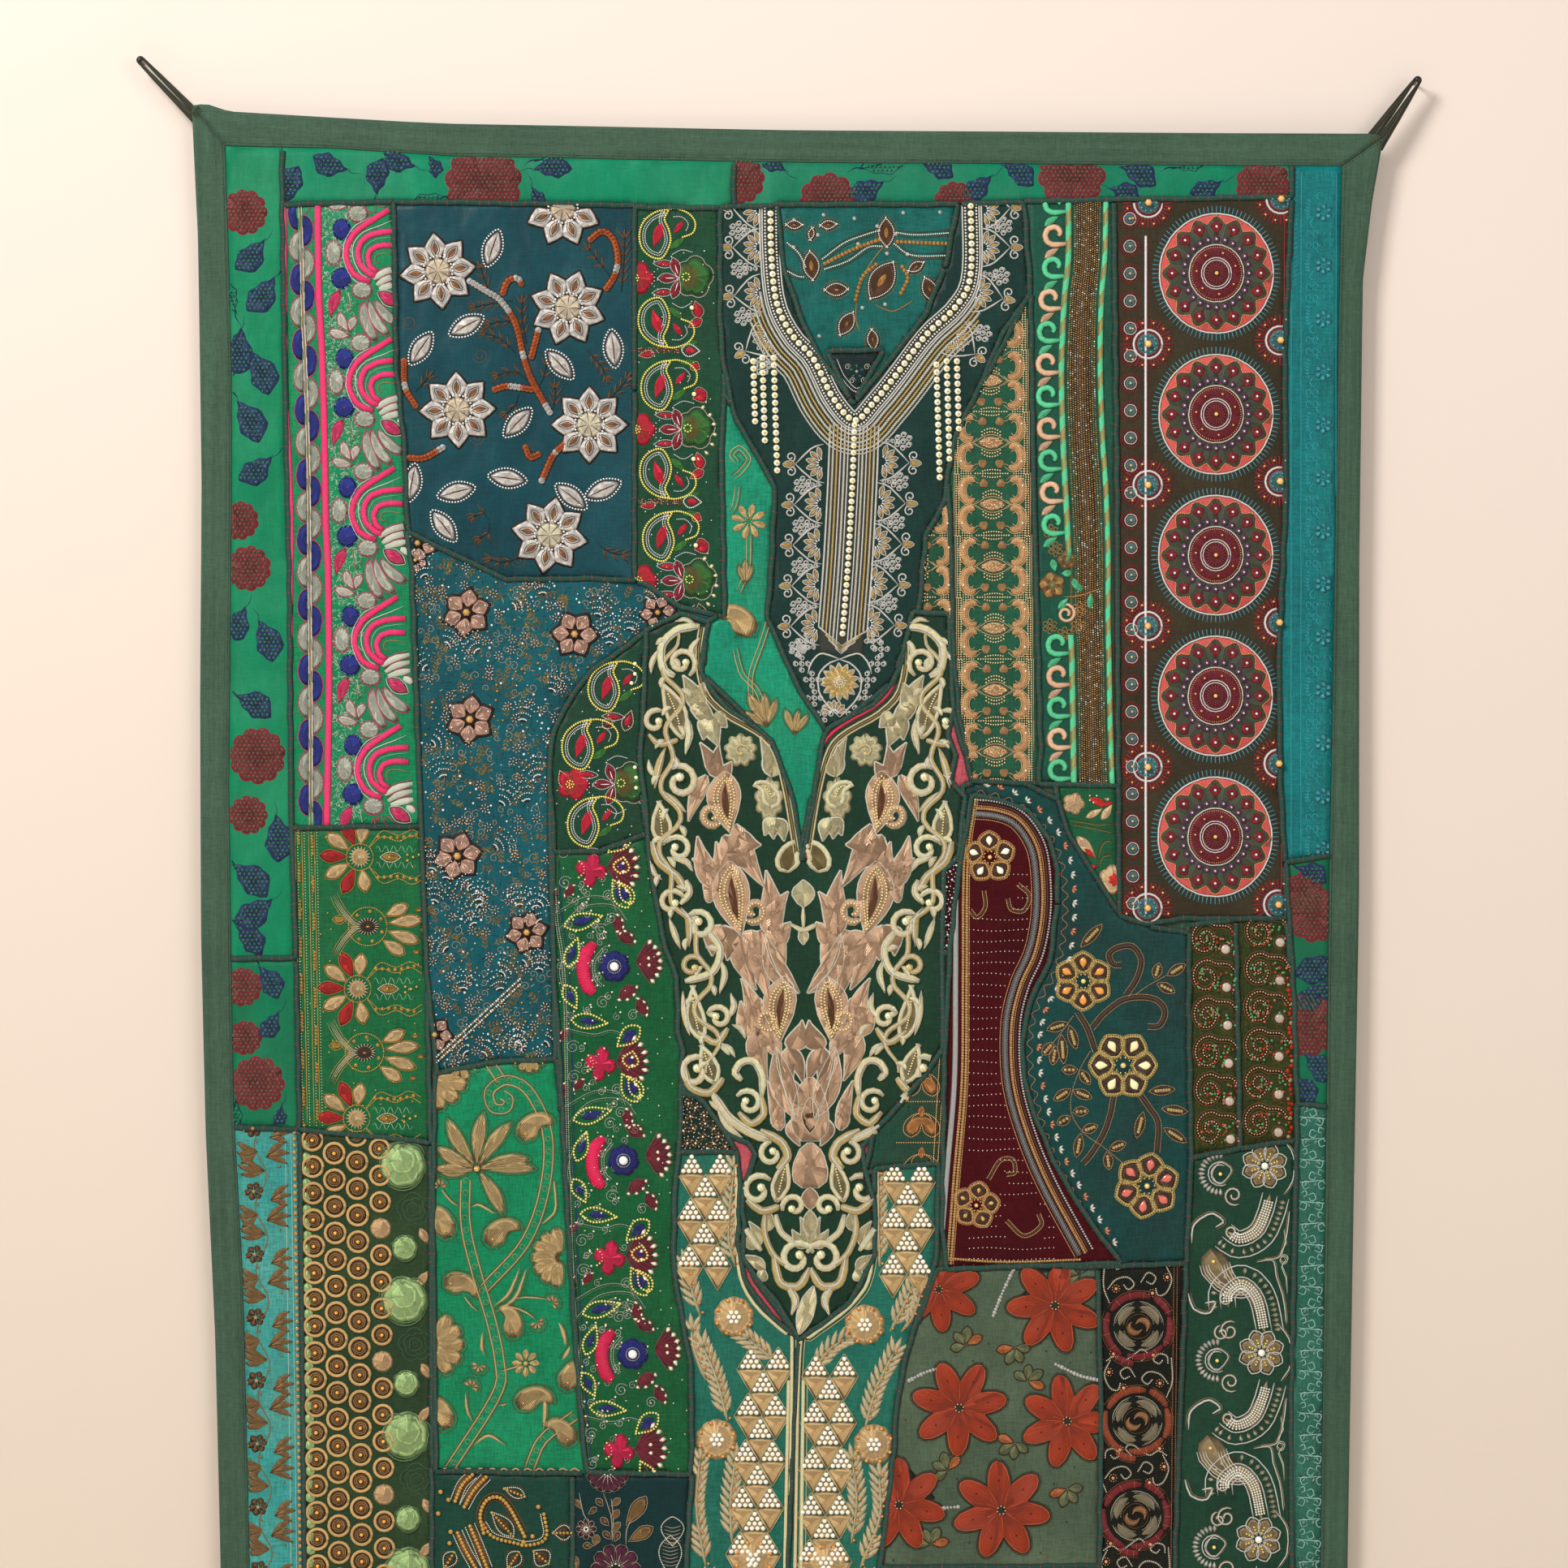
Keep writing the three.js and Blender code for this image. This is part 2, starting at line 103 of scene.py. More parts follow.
def waves(x, z, rows):
    """The sum of sines that run across the cloth, each along its own slant."""
    total = 0.0
    for height, length, slant, phase in rows:
        along = x * math.cos(slant) + z * math.sin(slant)
        total = total + height * np.sin(TAU * along / length + phase)
    return total


def drape(x, z):
    """How far the middle of the cloth hangs behind its top edge: waves that grow towards the hem,
    and a bell at each upper corner that the loop draws forward."""
    growth = WAVE_AT_TOP + (1 - WAVE_AT_TOP) * np.clip(-z / HEM_DEPTH, 0, 1)
    start = WAVE_AT_TOP * waves(0.0, 0.0, WAVES)
    bell = np.hypot(np.abs(x) - CORNER["x"], z) / CORNER["reach"]
    return growth * waves(x, z, WAVES) - start - CORNER["forward"] * np.exp(-(bell**2))


def patch_face(x, z):
    """The front of the cut pieces: the drape, brought forward by one layer and by low puckers."""
    return drape(x, z) + PATCH_FRONT + waves(x, z, PUCKERS)


# Meshes


def rgb(red, green, blue):
    """A colour as it looks on a screen, from 0 to 255, as the light that it reflects."""
    share = np.array([red, green, blue], float) / 255
    return np.where(share <= 0.04045, share / 12.92, ((share + 0.055) / 1.055) ** 2.4)


def new_mesh(name, verts, faces, finish, tint=None, thread=None, bake=None):
    """A smooth mesh of triangles. verts are in millimetres as x, y, z; tint is a colour for each
    vertex, thread its place along and across the thread, and bake its place on the baked map."""
    mesh = bpy.data.meshes.new(name)
    mesh.vertices.add(len(verts))
    mesh.vertices.foreach_set("co", (np.asarray(verts) * MM).astype(np.float32).ravel())
    mesh.loops.add(faces.size)
    mesh.loops.foreach_set("vertex_index", faces.astype(np.int32).ravel())
    mesh.polygons.add(len(faces))
    mesh.polygons.foreach_set("loop_start", np.arange(0, faces.size, 3, dtype=np.int32))
    mesh.polygons.foreach_set("use_smooth", np.ones(len(faces), bool))
    if tint is not None:
        colours = np.ones((len(verts), 4), np.float32)
        colours[:, :3] = tint
        layer = mesh.attributes.new("tint", "FLOAT_COLOR", "POINT")
        layer.data.foreach_set("color", colours.ravel())
    for layer_name, places in (("thread", thread), ("OFBake", bake)):
        if places is not None:
            layer = mesh.uv_layers.new(name=layer_name)
            corners = places if len(places) == faces.size else places[faces.ravel()]
            layer.uv.foreach_set("vector", corners.astype(np.float32).ravel())
    mesh.update(calc_edges=True)
    if mesh.validate():
        raise RuntimeError(f"{name} has faces that can't be kept")
    mesh.materials.append(finish)
    piece = bpy.data.objects.new(name, mesh)
    bpy.context.scene.collection.objects.link(piece)
    return piece


def ride(piece, slot, *nodes):
    """The piece goes with the one body and stands for the nodes, which it hides. The slot is not used."""
    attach(piece, "root")
    if nodes:
        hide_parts(*nodes)
    return piece


def square_map(x, z):
    """Places on a map that is laid flat on the cloth and just fits the piece."""
    u = (x - x.min()) / (np.ptp(x) + 1e-9)
    v = (z - z.min()) / (np.ptp(z) + 1e-9)
    return np.column_stack([u, v]) * 0.98 + 0.01


def front_ring(node):
    """The outline of a solid's front face, as a ring of corners that runs anticlockwise: on a
    merged copy, the edges that lead from a front face to one that isn't, each leading to the next."""
    solid = bmesh.new()
    solid.from_mesh(frame["nodes"][node].data)
    bmesh.ops.remove_doubles(solid, verts=solid.verts, dist=0.05 * MM)
    solid.normal_update()
    after = {}
    for face in solid.faces:
        if face.normal.y > -0.5:
            continue
        for loop in face.loops:
            if not any(other.normal.y < -0.5 for other in loop.edge.link_faces if other != face):
                after[loop.vert.index] = loop.link_loop_next.vert.index
    places = np.array([vert.co.xz for vert in solid.verts]) / MM
    solid.free()
    rings = []
    while after:
        start, at = after.popitem()
        ring = [start]
        while at != start:
            ring.append(at)
            at = after.pop(at)
        rings.append(places[ring])
    return max(rings, key=len_round)


def len_round(ring):
    """The length of a closed ring."""
    return float(np.linalg.norm(np.roll(ring, -1, 0) - ring, axis=1).sum())


def area_of(ring):
    """The area inside a ring, by the shoelace sum."""
    after = np.roll(ring, -1, 0)
    return float(np.sum(ring[:, 0] * after[:, 1] - after[:, 0] * ring[:, 1]) / 2)


def spaced_ring(ring, step):
    """The ring with more corners, so that no two are further apart than the step."""
    after = np.roll(ring, -1, 0)
    parts = np.maximum(np.ceil(np.linalg.norm(after - ring, axis=1) / step), 1).astype(int)
    edge = np.repeat(np.arange(len(ring)), parts)
    share = (np.arange(len(edge)) - np.repeat(np.cumsum(parts) - parts, parts)) / parts[edge]
    return ring[edge] + (after[edge] - ring[edge]) * share[:, None]


def inside(points, ring):
    """Which points lie in the ring: a ray to the right crosses it an odd number of times."""
    x, z = points[..., 0, None], points[..., 1, None]
    x0, z0 = ring.T
    x1, z1 = np.roll(ring, -1, 0).T
    rise = np.where(z1 == z0, 1e-12, z1 - z0)
    crossed = (z0 > z) != (z1 > z)
    return (crossed & (x < x0 + (x1 - x0) * (z - z0) / rise)).sum(-1) % 2 == 1


def from_edges(points, starts, ends):
    """The distance from each point to the nearest of the straight edges."""
    along = ends - starts
    to = points[:, None] - starts[None]
    share = (to * along).sum(-1) / np.maximum((along**2).sum(-1), 1e-12)
    foot = starts + np.clip(share, 0, 1)[..., None] * along
    return np.linalg.norm(points[:, None] - foot, axis=-1).min(1)


def filled(ring, step):
    """Triangles that fill the ring: its own points and a square grid inside it, joined by
    constrained Delaunay. The first points of the result are those on the ring."""
    rim = spaced_ring(ring, step)
    low, high = ring.min(0), ring.max(0)
    across = np.arange(low[0] + step / 2, high[0], step)
    up = np.arange(low[1] + step / 2, high[1], step)
    grid = np.stack(np.meshgrid(across, up), -1).reshape(-1, 2)
    grid = grid[inside(grid, ring)]
    if len(grid):
        grid = grid[from_edges(grid, ring, np.roll(ring, -1, 0)) > 0.45 * step]
    points = np.vstack([rim, grid])
    count = len(rim)
    edges = [(i, (i + 1) % count) for i in range(count)]
    found = delaunay_2d_cdt([Vector(p) for p in points], edges, [], 1, 1e-5)
    verts = np.array([tuple(p) for p in found[0]])
    faces = np.array(found[2])
    a, b, c = (verts[faces[:, i]] for i in range(3))
    turn = (b[:, 0] - a[:, 0]) * (c[:, 1] - a[:, 1]) - (b[:, 1] - a[:, 1]) * (c[:, 0] - a[:, 0])
    faces[turn < 0] = faces[turn < 0][:, ::-1]
    return verts, faces[np.abs(turn) > 1e-9]


def rim_edges(faces):
    """The edges that one face has, each in that face's own direction."""
    edges = np.vstack([faces[:, [0, 1]], faces[:, [1, 2]], faces[:, [2, 0]]])
    _, first, counts = np.unique(np.sort(edges, 1), axis=0, return_index=True, return_counts=True)
    return edges[first[counts == 1]]


def closed_sheet(flat, faces, front, back):
    """Both faces of a cloth with the same triangles, and a rim that joins them."""
    count = len(flat)
    verts = np.vstack([
        np.column_stack([flat[:, 0], front, flat[:, 1]]),
        np.column_stack([flat[:, 0], back, flat[:, 1]]),
    ])
    i, j = rim_edges(faces).T
    rim = np.vstack([
        np.column_stack([i, i + count, j + count]),
        np.column_stack([i, j + count, j]),
    ])
    return verts, np.vstack([faces, faces[:, ::-1] + count, rim])


def declare_cloth(rings):
    """Works out the flat size and flat area of cloth, that of its outlines, and keeps neither. The size
    is that of the smallest straight box round an outline, found by turning it by two degrees at a
    time. Scraps that are measured together came from one strip, as long as the longest of them."""
    turns = np.radians(np.arange(0, 90, 2))
    longest = max(rings, key=len_round)
    turned = [longest @ np.array([[c, -s], [s, c]]) for c, s in zip(np.cos(turns), np.sin(turns))]
    width, length = sorted(min((np.ptp(points, 0) * MM for points in turned), key=np.prod))
    area = sum(area_of(ring) for ring in rings) * MM * MM
    if len(rings) > 1:
        width = 1.02 * area / length


# Materials


def arithmetic(operation, swapped=False):
    """A method that adds one Math node, with the two values in order or swapped."""

    def made(self, other):
        first, second = (other, self) if swapped else (self, other)
        return self.finish.node("Math", {"operation": operation}, {0: first, 1: second})

    return made


class Value:
    """A socket of a material: arithmetic on it adds Math nodes."""

    def __init__(self, finish, socket):
        self.finish = finish
        self.socket = socket

    __add__ = arithmetic("ADD")
    __radd__ = arithmetic("ADD", True)
    __sub__ = arithmetic("SUBTRACT")
    __rsub__ = arithmetic("SUBTRACT", True)
    __mul__ = arithmetic("MULTIPLY")
    __rmul__ = arithmetic("MULTIPLY", True)
    __truediv__ = arithmetic("DIVIDE")
    __gt__ = arithmetic("GREATER_THAN")
    __lt__ = arithmetic("LESS_THAN")


class Finish:
    """A material with one Principled shader, built up from nodes."""

    def __init__(self, name, **numbers):
        self.material = bpy.data.materials.new(name)
        self.material.use_nodes = True
        self.tree = self.material.node_tree
        self.tree.nodes.clear()
        self.shader = self.tree.nodes.new("ShaderNodeBsdfPrincipled")
        output = self.tree.nodes.new("ShaderNodeOutputMaterial")
        self.tree.links.new(self.shader.outputs[0], output.inputs[0])
        for socket, number in numbers.items():
            self.shader.inputs[socket.replace("_", " ")].default_value = number

    def put(self, socket, value):
        """Gives a socket a link, a number or a colour."""
        if isinstance(value, Value):
            self.tree.links.new(value.socket, socket)
        elif np.ndim(value) and socket.type == "RGBA":
            socket.default_value = (*value[:3], 1)
        else:
            socket.default_value = value

    def node(self, kind, settings=None, inputs=None, output=0):
        """Adds a node of the kind, its settings first and then its inputs, and gives its output."""
        node = self.tree.nodes.new("ShaderNode" + kind)
        for name, value in (settings or {}).items():
            if name == "stops":
                while len(node.color_ramp.elements) < len(value):
                    node.color_ramp.elements.new(0.5)
                for element, (place, colour) in zip(node.color_ramp.elements, value):
                    element.position = place
                    element.color = (*colour, 1)
            else:
                setattr(node, name, value)
        for name, value in (inputs or {}).items():
            self.put(node.inputs[name], value)
        return Value(self, node.outputs[output])

    def place(self, stretch=(1, 1, 1)):
        """Object coordinates in metres, stretched."""
        own = self.node("TexCoord", output="Object")
        return self.node("Mapping", {}, {"Vector": own, "Scale": stretch})

    def noise(self, size, detail=2.0, stretch=(1, 1, 1), roughness=0.5):
        """Soft noise from 0 to 1 whose lumps are about as large as size, in millimetres."""
        inputs = {"Scale": 1 / (size * MM), "Detail": detail, "Roughness": roughness}
        return self.node("TexNoise", {}, {"Vector": self.place(stretch), **inputs})

    def mixed(self, share, first, second, blend="MIX"):
        """The first colour where share is 0 and the second where it is 1."""
        settings = {"data_type": "RGBA", "blend_type": blend}
        return self.node("Mix", settings, {0: share, 6: first, 7: second}, 2)

    def fitted(self, value, low, high, to_low=0.0, to_high=1.0):
        """The value taken from one range to another, and held inside it."""
        inputs = {0: value, 1: low, 2: high, 3: to_low, 4: to_high}
        return self.node("MapRange", {"clamp": True}, inputs)

    def colour(self, value):
        self.put(self.shader.inputs["Base Color"], value)

    def shaded(self, colour, light):
        """The colour, times the light."""
        grey = self.node("CombineColor", {}, {0: light, 1: light, 2: light})
        self.colour(self.mixed(1.0, colour, grey, "MULTIPLY"))

    def roughness(self, value):
        self.put(self.shader.inputs["Roughness"], value)

    def bump(self, height, depth, under=None):
        """A relief of the given depth in millimetres, over another bump if there is one."""
        inputs = {"Height": height, "Distance": depth * MM}
        if under is not None:
            inputs["Normal"] = under
        return self.node("Bump", {}, inputs)

    def normal(self, value):
        self.put(self.shader.inputs["Normal"], value)


def cloth_finish(name, colour, *, worn, worn_share=0.4, slub=0.5, crease=1.0, gloss=0.7, sheen=0.3):
    """Woven cloth: slubs along and across as stretched noise, broad worn patches towards a second
    colour, soft creases with painted shade in their hollows and painted light on their tops, and a sheen."""
    finish = Finish(name, Sheen_Weight=sheen, Sheen_Roughness=0.4, Specular_IOR_Level=0.2)
    wear = finish.fitted(finish.noise(95, 3), 0.42, 0.72) * worn_share
    along = finish.noise(1.1, 1, (0.12, 1, 1))
    across = finish.noise(1.1, 1, (1, 1, 0.12))
    threads = (along + across) * 0.5
    body = finish.mixed(wear, colour, worn)
    light = finish.fitted(threads, 0.35, 0.65, 1 - 0.3 * slub, 1 + 0.3 * slub)
    creases = finish.noise(34, 2, (1, 1, 0.6), 0.55)
    # Painted shade and light: the colour is darker in the hollows of the creases and lighter on their tops
    shade = finish.fitted(creases, 0.3, 0.7, 0.86, 1.1) * light
    finish.shaded(body, shade)
    finish.roughness(finish.fitted(threads, 0.3, 0.7, gloss + 0.08, gloss - 0.08))
    broad = finish.bump(creases, 3.2 * crease)
    finish.normal(finish.bump(threads, 0.25 * slub, broad))
    return finish.material


def thread_finish(name, pitch, *, gloss, metal=0.0, coat=0.0, depth=0.12, sheen=0.0, dip=0.62):
    """Thread, laid side by side: the colour is the piece's own tint, with painted shade between turns and
    a painted highlight on them, and random tone; the turns cross the ridge at a slant once for each pitch."""
    finish = Finish(name, Metallic=metal, Coat_Weight=coat, Sheen_Weight=sheen, IOR=1.45)
    tint = finish.node("Attribute", {"attribute_name": "tint"})
    thread = finish.node("UVMap", {"uv_map": "thread"})
    split = finish.node("SeparateXYZ", {}, {0: thread})
    across = finish.node("SeparateXYZ", {}, {0: thread}, 1)
    turns = finish.node("Math", {"operation": "SINE"}, {0: (split + across * 0.45) * (TAU / pitch)})
    grain = finish.noise(2.2, 2)
    # Painted shade between the turns, down to dip, and a painted highlight on them, mixed with random tone
    light = finish.fitted(turns + (grain - 0.5) * 2.4, -1.6, 1.6, dip, 1.16)
    finish.shaded(tint, light)
    finish.roughness(finish.fitted(grain, 0.2, 0.8, gloss - 0.08, gloss + 0.1))
    finish.normal(finish.bump(turns, depth, finish.bump(grain, depth)))
    return finish.material


# Sewing


def curve(points, step=3.0, closed=False):
    """A smooth line through the points: on each stretch the Catmull-Rom cubic of its four nearest
    points, and then points evenly along it, a step apart."""
    p = np.asarray(points, float)
    if closed:
        p = np.vstack([p[-1:], p, p[:2]])
    else:
        p = np.vstack([2 * p[0] - p[1], p, 2 * p[-1] - p[-2]])
    a, b, c, d = p[:-3], p[1:-2], p[2:-1], p[3:]
    t = np.linspace(0, 1, 10, endpoint=False)[:, None, None]
    q = 0.5 * (2 * b + (c - a) * t + (2 * a - 5 * b + 4 * c - d) * t**2 + (3 * b - a - 3 * c + d) * t**3)
    q = np.vstack([q.transpose(1, 0, 2).reshape(-1, 2), p[-2:-1] if not closed else p[1:2]])
    return evenly(q, step, closed)


def evenly(line, step, closed=False):
    """The line again, with points evenly along it, about a step apart."""
    line = np.asarray(line, float)
    far = np.concatenate([[0], np.cumsum(np.linalg.norm(np.diff(line, axis=0), axis=1))])
    count = max(int(round(far[-1] / step)), 2)
    at = np.linspace(0, far[-1], count + 1)
    if closed:
        at = at[:-1]
    return np.column_stack([np.interp(at, far, line[:, 0]), np.interp(at, far, line[:, 1])])


def arc(centre, radius, start, end, count=12, squash=1.0):
    """Points on a circle, or on an ellipse with squash, from one angle to another in degrees."""
    turn = np.radians(np.linspace(start, end, count))
    return np.asarray(centre, float) + radius * np.column_stack([np.cos(turn), squash * np.sin(turn)])


def spiral(centre, outer, inner, start, turns, count=18):
    """Points on a line that winds in from the outer radius to the inner one."""
    share = np.linspace(0, 1, count)
    turn = math.radians(start) + TAU * turns * share
    radius = outer + (inner - outer) * share
    return np.asarray(centre, float) + radius[:, None] * np.column_stack([np.cos(turn), np.sin(turn)])


def spokes(centre, inner, outer, number, start=0.0, end=360.0, points=5):
    """Straight lines from the inner radius to the outer one, evenly round the centre."""
    closed = abs(end - start) >= 360
    turn = np.radians(np.linspace(start, end, number, endpoint=not closed))
    ray = np.stack([np.cos(turn), np.sin(turn)], -1)[:, None]
    return np.asarray(centre, float) + ray * np.linspace(inner, outer, points)[None, :, None]


def around(centre, radius, number, start=0.0, squash=1.0):
    """Points evenly round a circle."""
    return arc(centre, radius, start, start + 360, number + 1, squash)[:-1]


def beside(line, distance):
    """The line moved sideways, to its left."""
    ahead = np.gradient(line, axis=0)
    ahead /= np.maximum(np.linalg.norm(ahead, axis=1, keepdims=True), 1e-9)
    shift = np.asarray(distance)
    shift = shift[:, None] if shift.ndim else shift
    return line + np.column_stack([-ahead[:, 1], ahead[:, 0]]) * shift


def leaf_rings(bases, tips, width, taper="leaf", bend=0.0, count=8):
    """Outlines of leaves, anticlockwise: out along one side and back along the other, at the
    taper's share of half the width. The middle line is bent sideways by a parabola."""
    bases, tips = np.atleast_2d(bases).astype(float), np.atleast_2d(tips).astype(float)
    share = np.linspace(0.01, 0.99, count)
    ahead = (tips - bases)[:, None]
    side = np.stack([-ahead[..., 1], ahead[..., 0]], -1)
    side /= np.maximum(np.linalg.norm(side, axis=-1, keepdims=True), 1e-9)
    half = (TAPERS[taper](share) * width / 2)[:, None]
    middle = bases[:, None] + ahead * share[:, None] + side * (4 * bend * share * (1 - share))[:, None]
    return np.concatenate([middle - side * half, (middle + side * half)[:, ::-1]], 1)


def petals(centre, inner, outer, width, number, start=90.0, end=None, taper="petal", count=7):
    """Outlines of petals evenly round a centre."""
    rays = spokes(centre, inner, outer, number, start, start + 360 if end is None else end, 2)
    return leaf_rings(rays[:, 0], rays[:, 1], width, taper, count=count)


def lobed(centre, radius, lobes, depth, start=90.0, points=6, sharp=0.7, squash=1.0):
    """A ring whose radius falls between its lobes by the depth: the share of the fall is one less
    the sine of the way to the lobe's middle, to a power that sharpens the lobe."""
    turn = np.linspace(0, TAU, lobes * points, endpoint=False)
    near = np.abs((lobes * turn / TAU) % 1 * 2 - 1)
    reach = radius * (1 - depth * (1 - np.sin(near * np.pi / 2) ** sharp))
    turn = turn + math.radians(start)
    way = np.column_stack([np.cos(turn), squash * np.sin(turn)])
    return np.asarray(centre, float) + reach[:, None] * way


def comma_ring(centre, length, width, turn=90.0, bend=150.0, count=11):
    """The outline of a paisley, anticlockwise. Its middle line starts straight and bends more and
    more; it is round at the start and runs out to a point."""
    share = np.linspace(0, 1, count)
    heading = np.radians(turn + bend * share**1.6)
    steps = np.column_stack([np.cos(heading), np.sin(heading)]) * length / (count - 1)
    middle = np.vstack([[0, 0], np.cumsum((steps[1:] + steps[:-1]) / 2, 0)])
    middle = middle - middle[count // 4] + np.asarray(centre, float)
    early, late = np.clip(share / 0.3, 0, 1), np.clip((share - 0.3) / 0.7, 0, 1)
    half = width / 2 * np.sqrt(1 - (1 - early) ** 2) * (1 - late) ** 0.62
    side = np.column_stack([-np.sin(heading), np.cos(heading)]) * half[:, None]
    return np.vstack([middle - side, (middle + side)[-2:0:-1]])


def drawn_in(ring, distance):
    """A ring moved inwards, at right angles to itself."""
    ahead = np.roll(ring, -1, 0) - np.roll(ring, 1, 0)
    ahead /= np.maximum(np.linalg.norm(ahead, axis=1, keepdims=True), 1e-9)
    return ring + np.column_stack([-ahead[:, 1], ahead[:, 0]]) * distance


TAPERS = {
    "even": lambda t: np.ones_like(t),
    "soft": lambda t: np.minimum(1, 0.55 + 5 * np.minimum(t, 1 - t)),
    "leaf": lambda t: np.sin(np.pi * t) ** 0.8,
    "petal": lambda t: np.sin(np.pi * t**1.35) ** 0.75,
    "drop": lambda t: np.sqrt(np.clip(1 - (2.0 * t**0.62 - 1) ** 2, 0, 1)),
    "tail": lambda t: (1 - t) ** 0.7,
    "pointed": lambda t: np.where(t < 0.55, np.sin(np.pi * t / 1.1),
                                  np.clip(1 - t, 0, 1) ** 0.8 / 0.45**0.8),
    "flame": lambda t: np.sin(np.pi * t**0.62) ** 1.1,
}
SECTIONS = {
    "roof": ((1, 0), (0, 1), (-1, 0)),
    "dome": ((1, 0), (0.72, 0.72), (0, 1), (-0.72, 0.72), (-1, 0)),
    "vein": ((1, 0), (0.55, 1), (0, 0.45), (-0.55, 1), (-1, 0)),
}
SUNK = 0.2
LEAST_WIDTH = 0.12
# Profiles of what is turned or padded, from the middle of the top out to the rim of the floor
BEAD_ROWS = ((0.0, 1.0), (0.72, 0.8), (1.0, 0.3))
SEED_ROWS = ((0.0, 1.0), (1.0, 0.3))
SEQUIN_ROWS = ((0.0, 0.2), (1.0, 0.7))
PAD_ROWS = ((0.0, 1.0), (0.68, 0.88), (1.0, -0.15))
LOW_ROWS = ((0.0, 1.0), (1.0, -0.15))
FLAT_ROWS = ((0.0, 1.0), (0.96, 1.0), (1.0, -0.4))
PRINT_ROWS = ((0.0, 1.0), (0.35, 1.0), (0.7, 1.0), (0.98, 1.0), (1.0, -0.4))
SEEDS = {"sides": 5, "rows": SEED_ROWS}
SEQUINS = {"kind": "sequins", "sides": 7, "rows": SEQUIN_ROWS}
# Lengths round a cushion below which it needs fewer rings, and above which it needs more
SMALL_PAD, WIDE_PAD = 24.0, 90.0
# Radii below which a bead needs no more than four and five sides
TINY_BEAD, SMALL_BEAD = 0.9, 1.7
# The turn and the length after which a line needs another point
TURN_STEP, LONG_STEP = math.radians(29), 13.0


def needed(lines, width=0.0, taper="even", closed=False):
    """Which points the lines need: their ends, and those between where the most bent line has
    turned by a step, or gone on for a step that is shorter on a tapered line."""
    lines = np.concatenate([lines, lines[:, :1]], 1) if closed else lines
    ahead = np.diff(lines, axis=1)
    lengths = np.linalg.norm(ahead, axis=2)
    width = np.max(width)
    parts = {"even": 1, "soft": 2}.get(taper, 5 if width > 4 else 3 if width > 1.6 else 2)
    reach = min(LONG_STEP, lengths.sum(1).max() / parts + 1e-6)
    way = np.unwrap(np.arctan2(ahead[..., 1], ahead[..., 0]), axis=1)
    turned = np.abs(np.diff(way, axis=1, prepend=way[:, :1]))
    gone = np.floor(np.cumsum((lengths / reach + turned / TURN_STEP).max(0)))
    kept = np.concatenate([[True], np.diff(gone) > 0, [not closed]])
    if closed:
        kept = kept[:-1]
    return kept if kept.sum() > (5 if closed else 1) else np.full(len(kept), True)


# How much each kind of thread or bead is painted lighter than its colour: a painted highlight for its shine
PAINTED_SHINE = {"floss": 1.12, "gold": 1.4, "silver": 1.45, "beads": 1.25, "sequins": 1.35}
# The colour of the painted highlight along the tops of padded gold work
GLINT = rgb(250, 242, 216)
GRADES = {"floss": "cotton_thread", "gold": "gold_thread", "silver": "silver_thread",
          "beads": "glass_bead", "sequins": "glass_bead"}


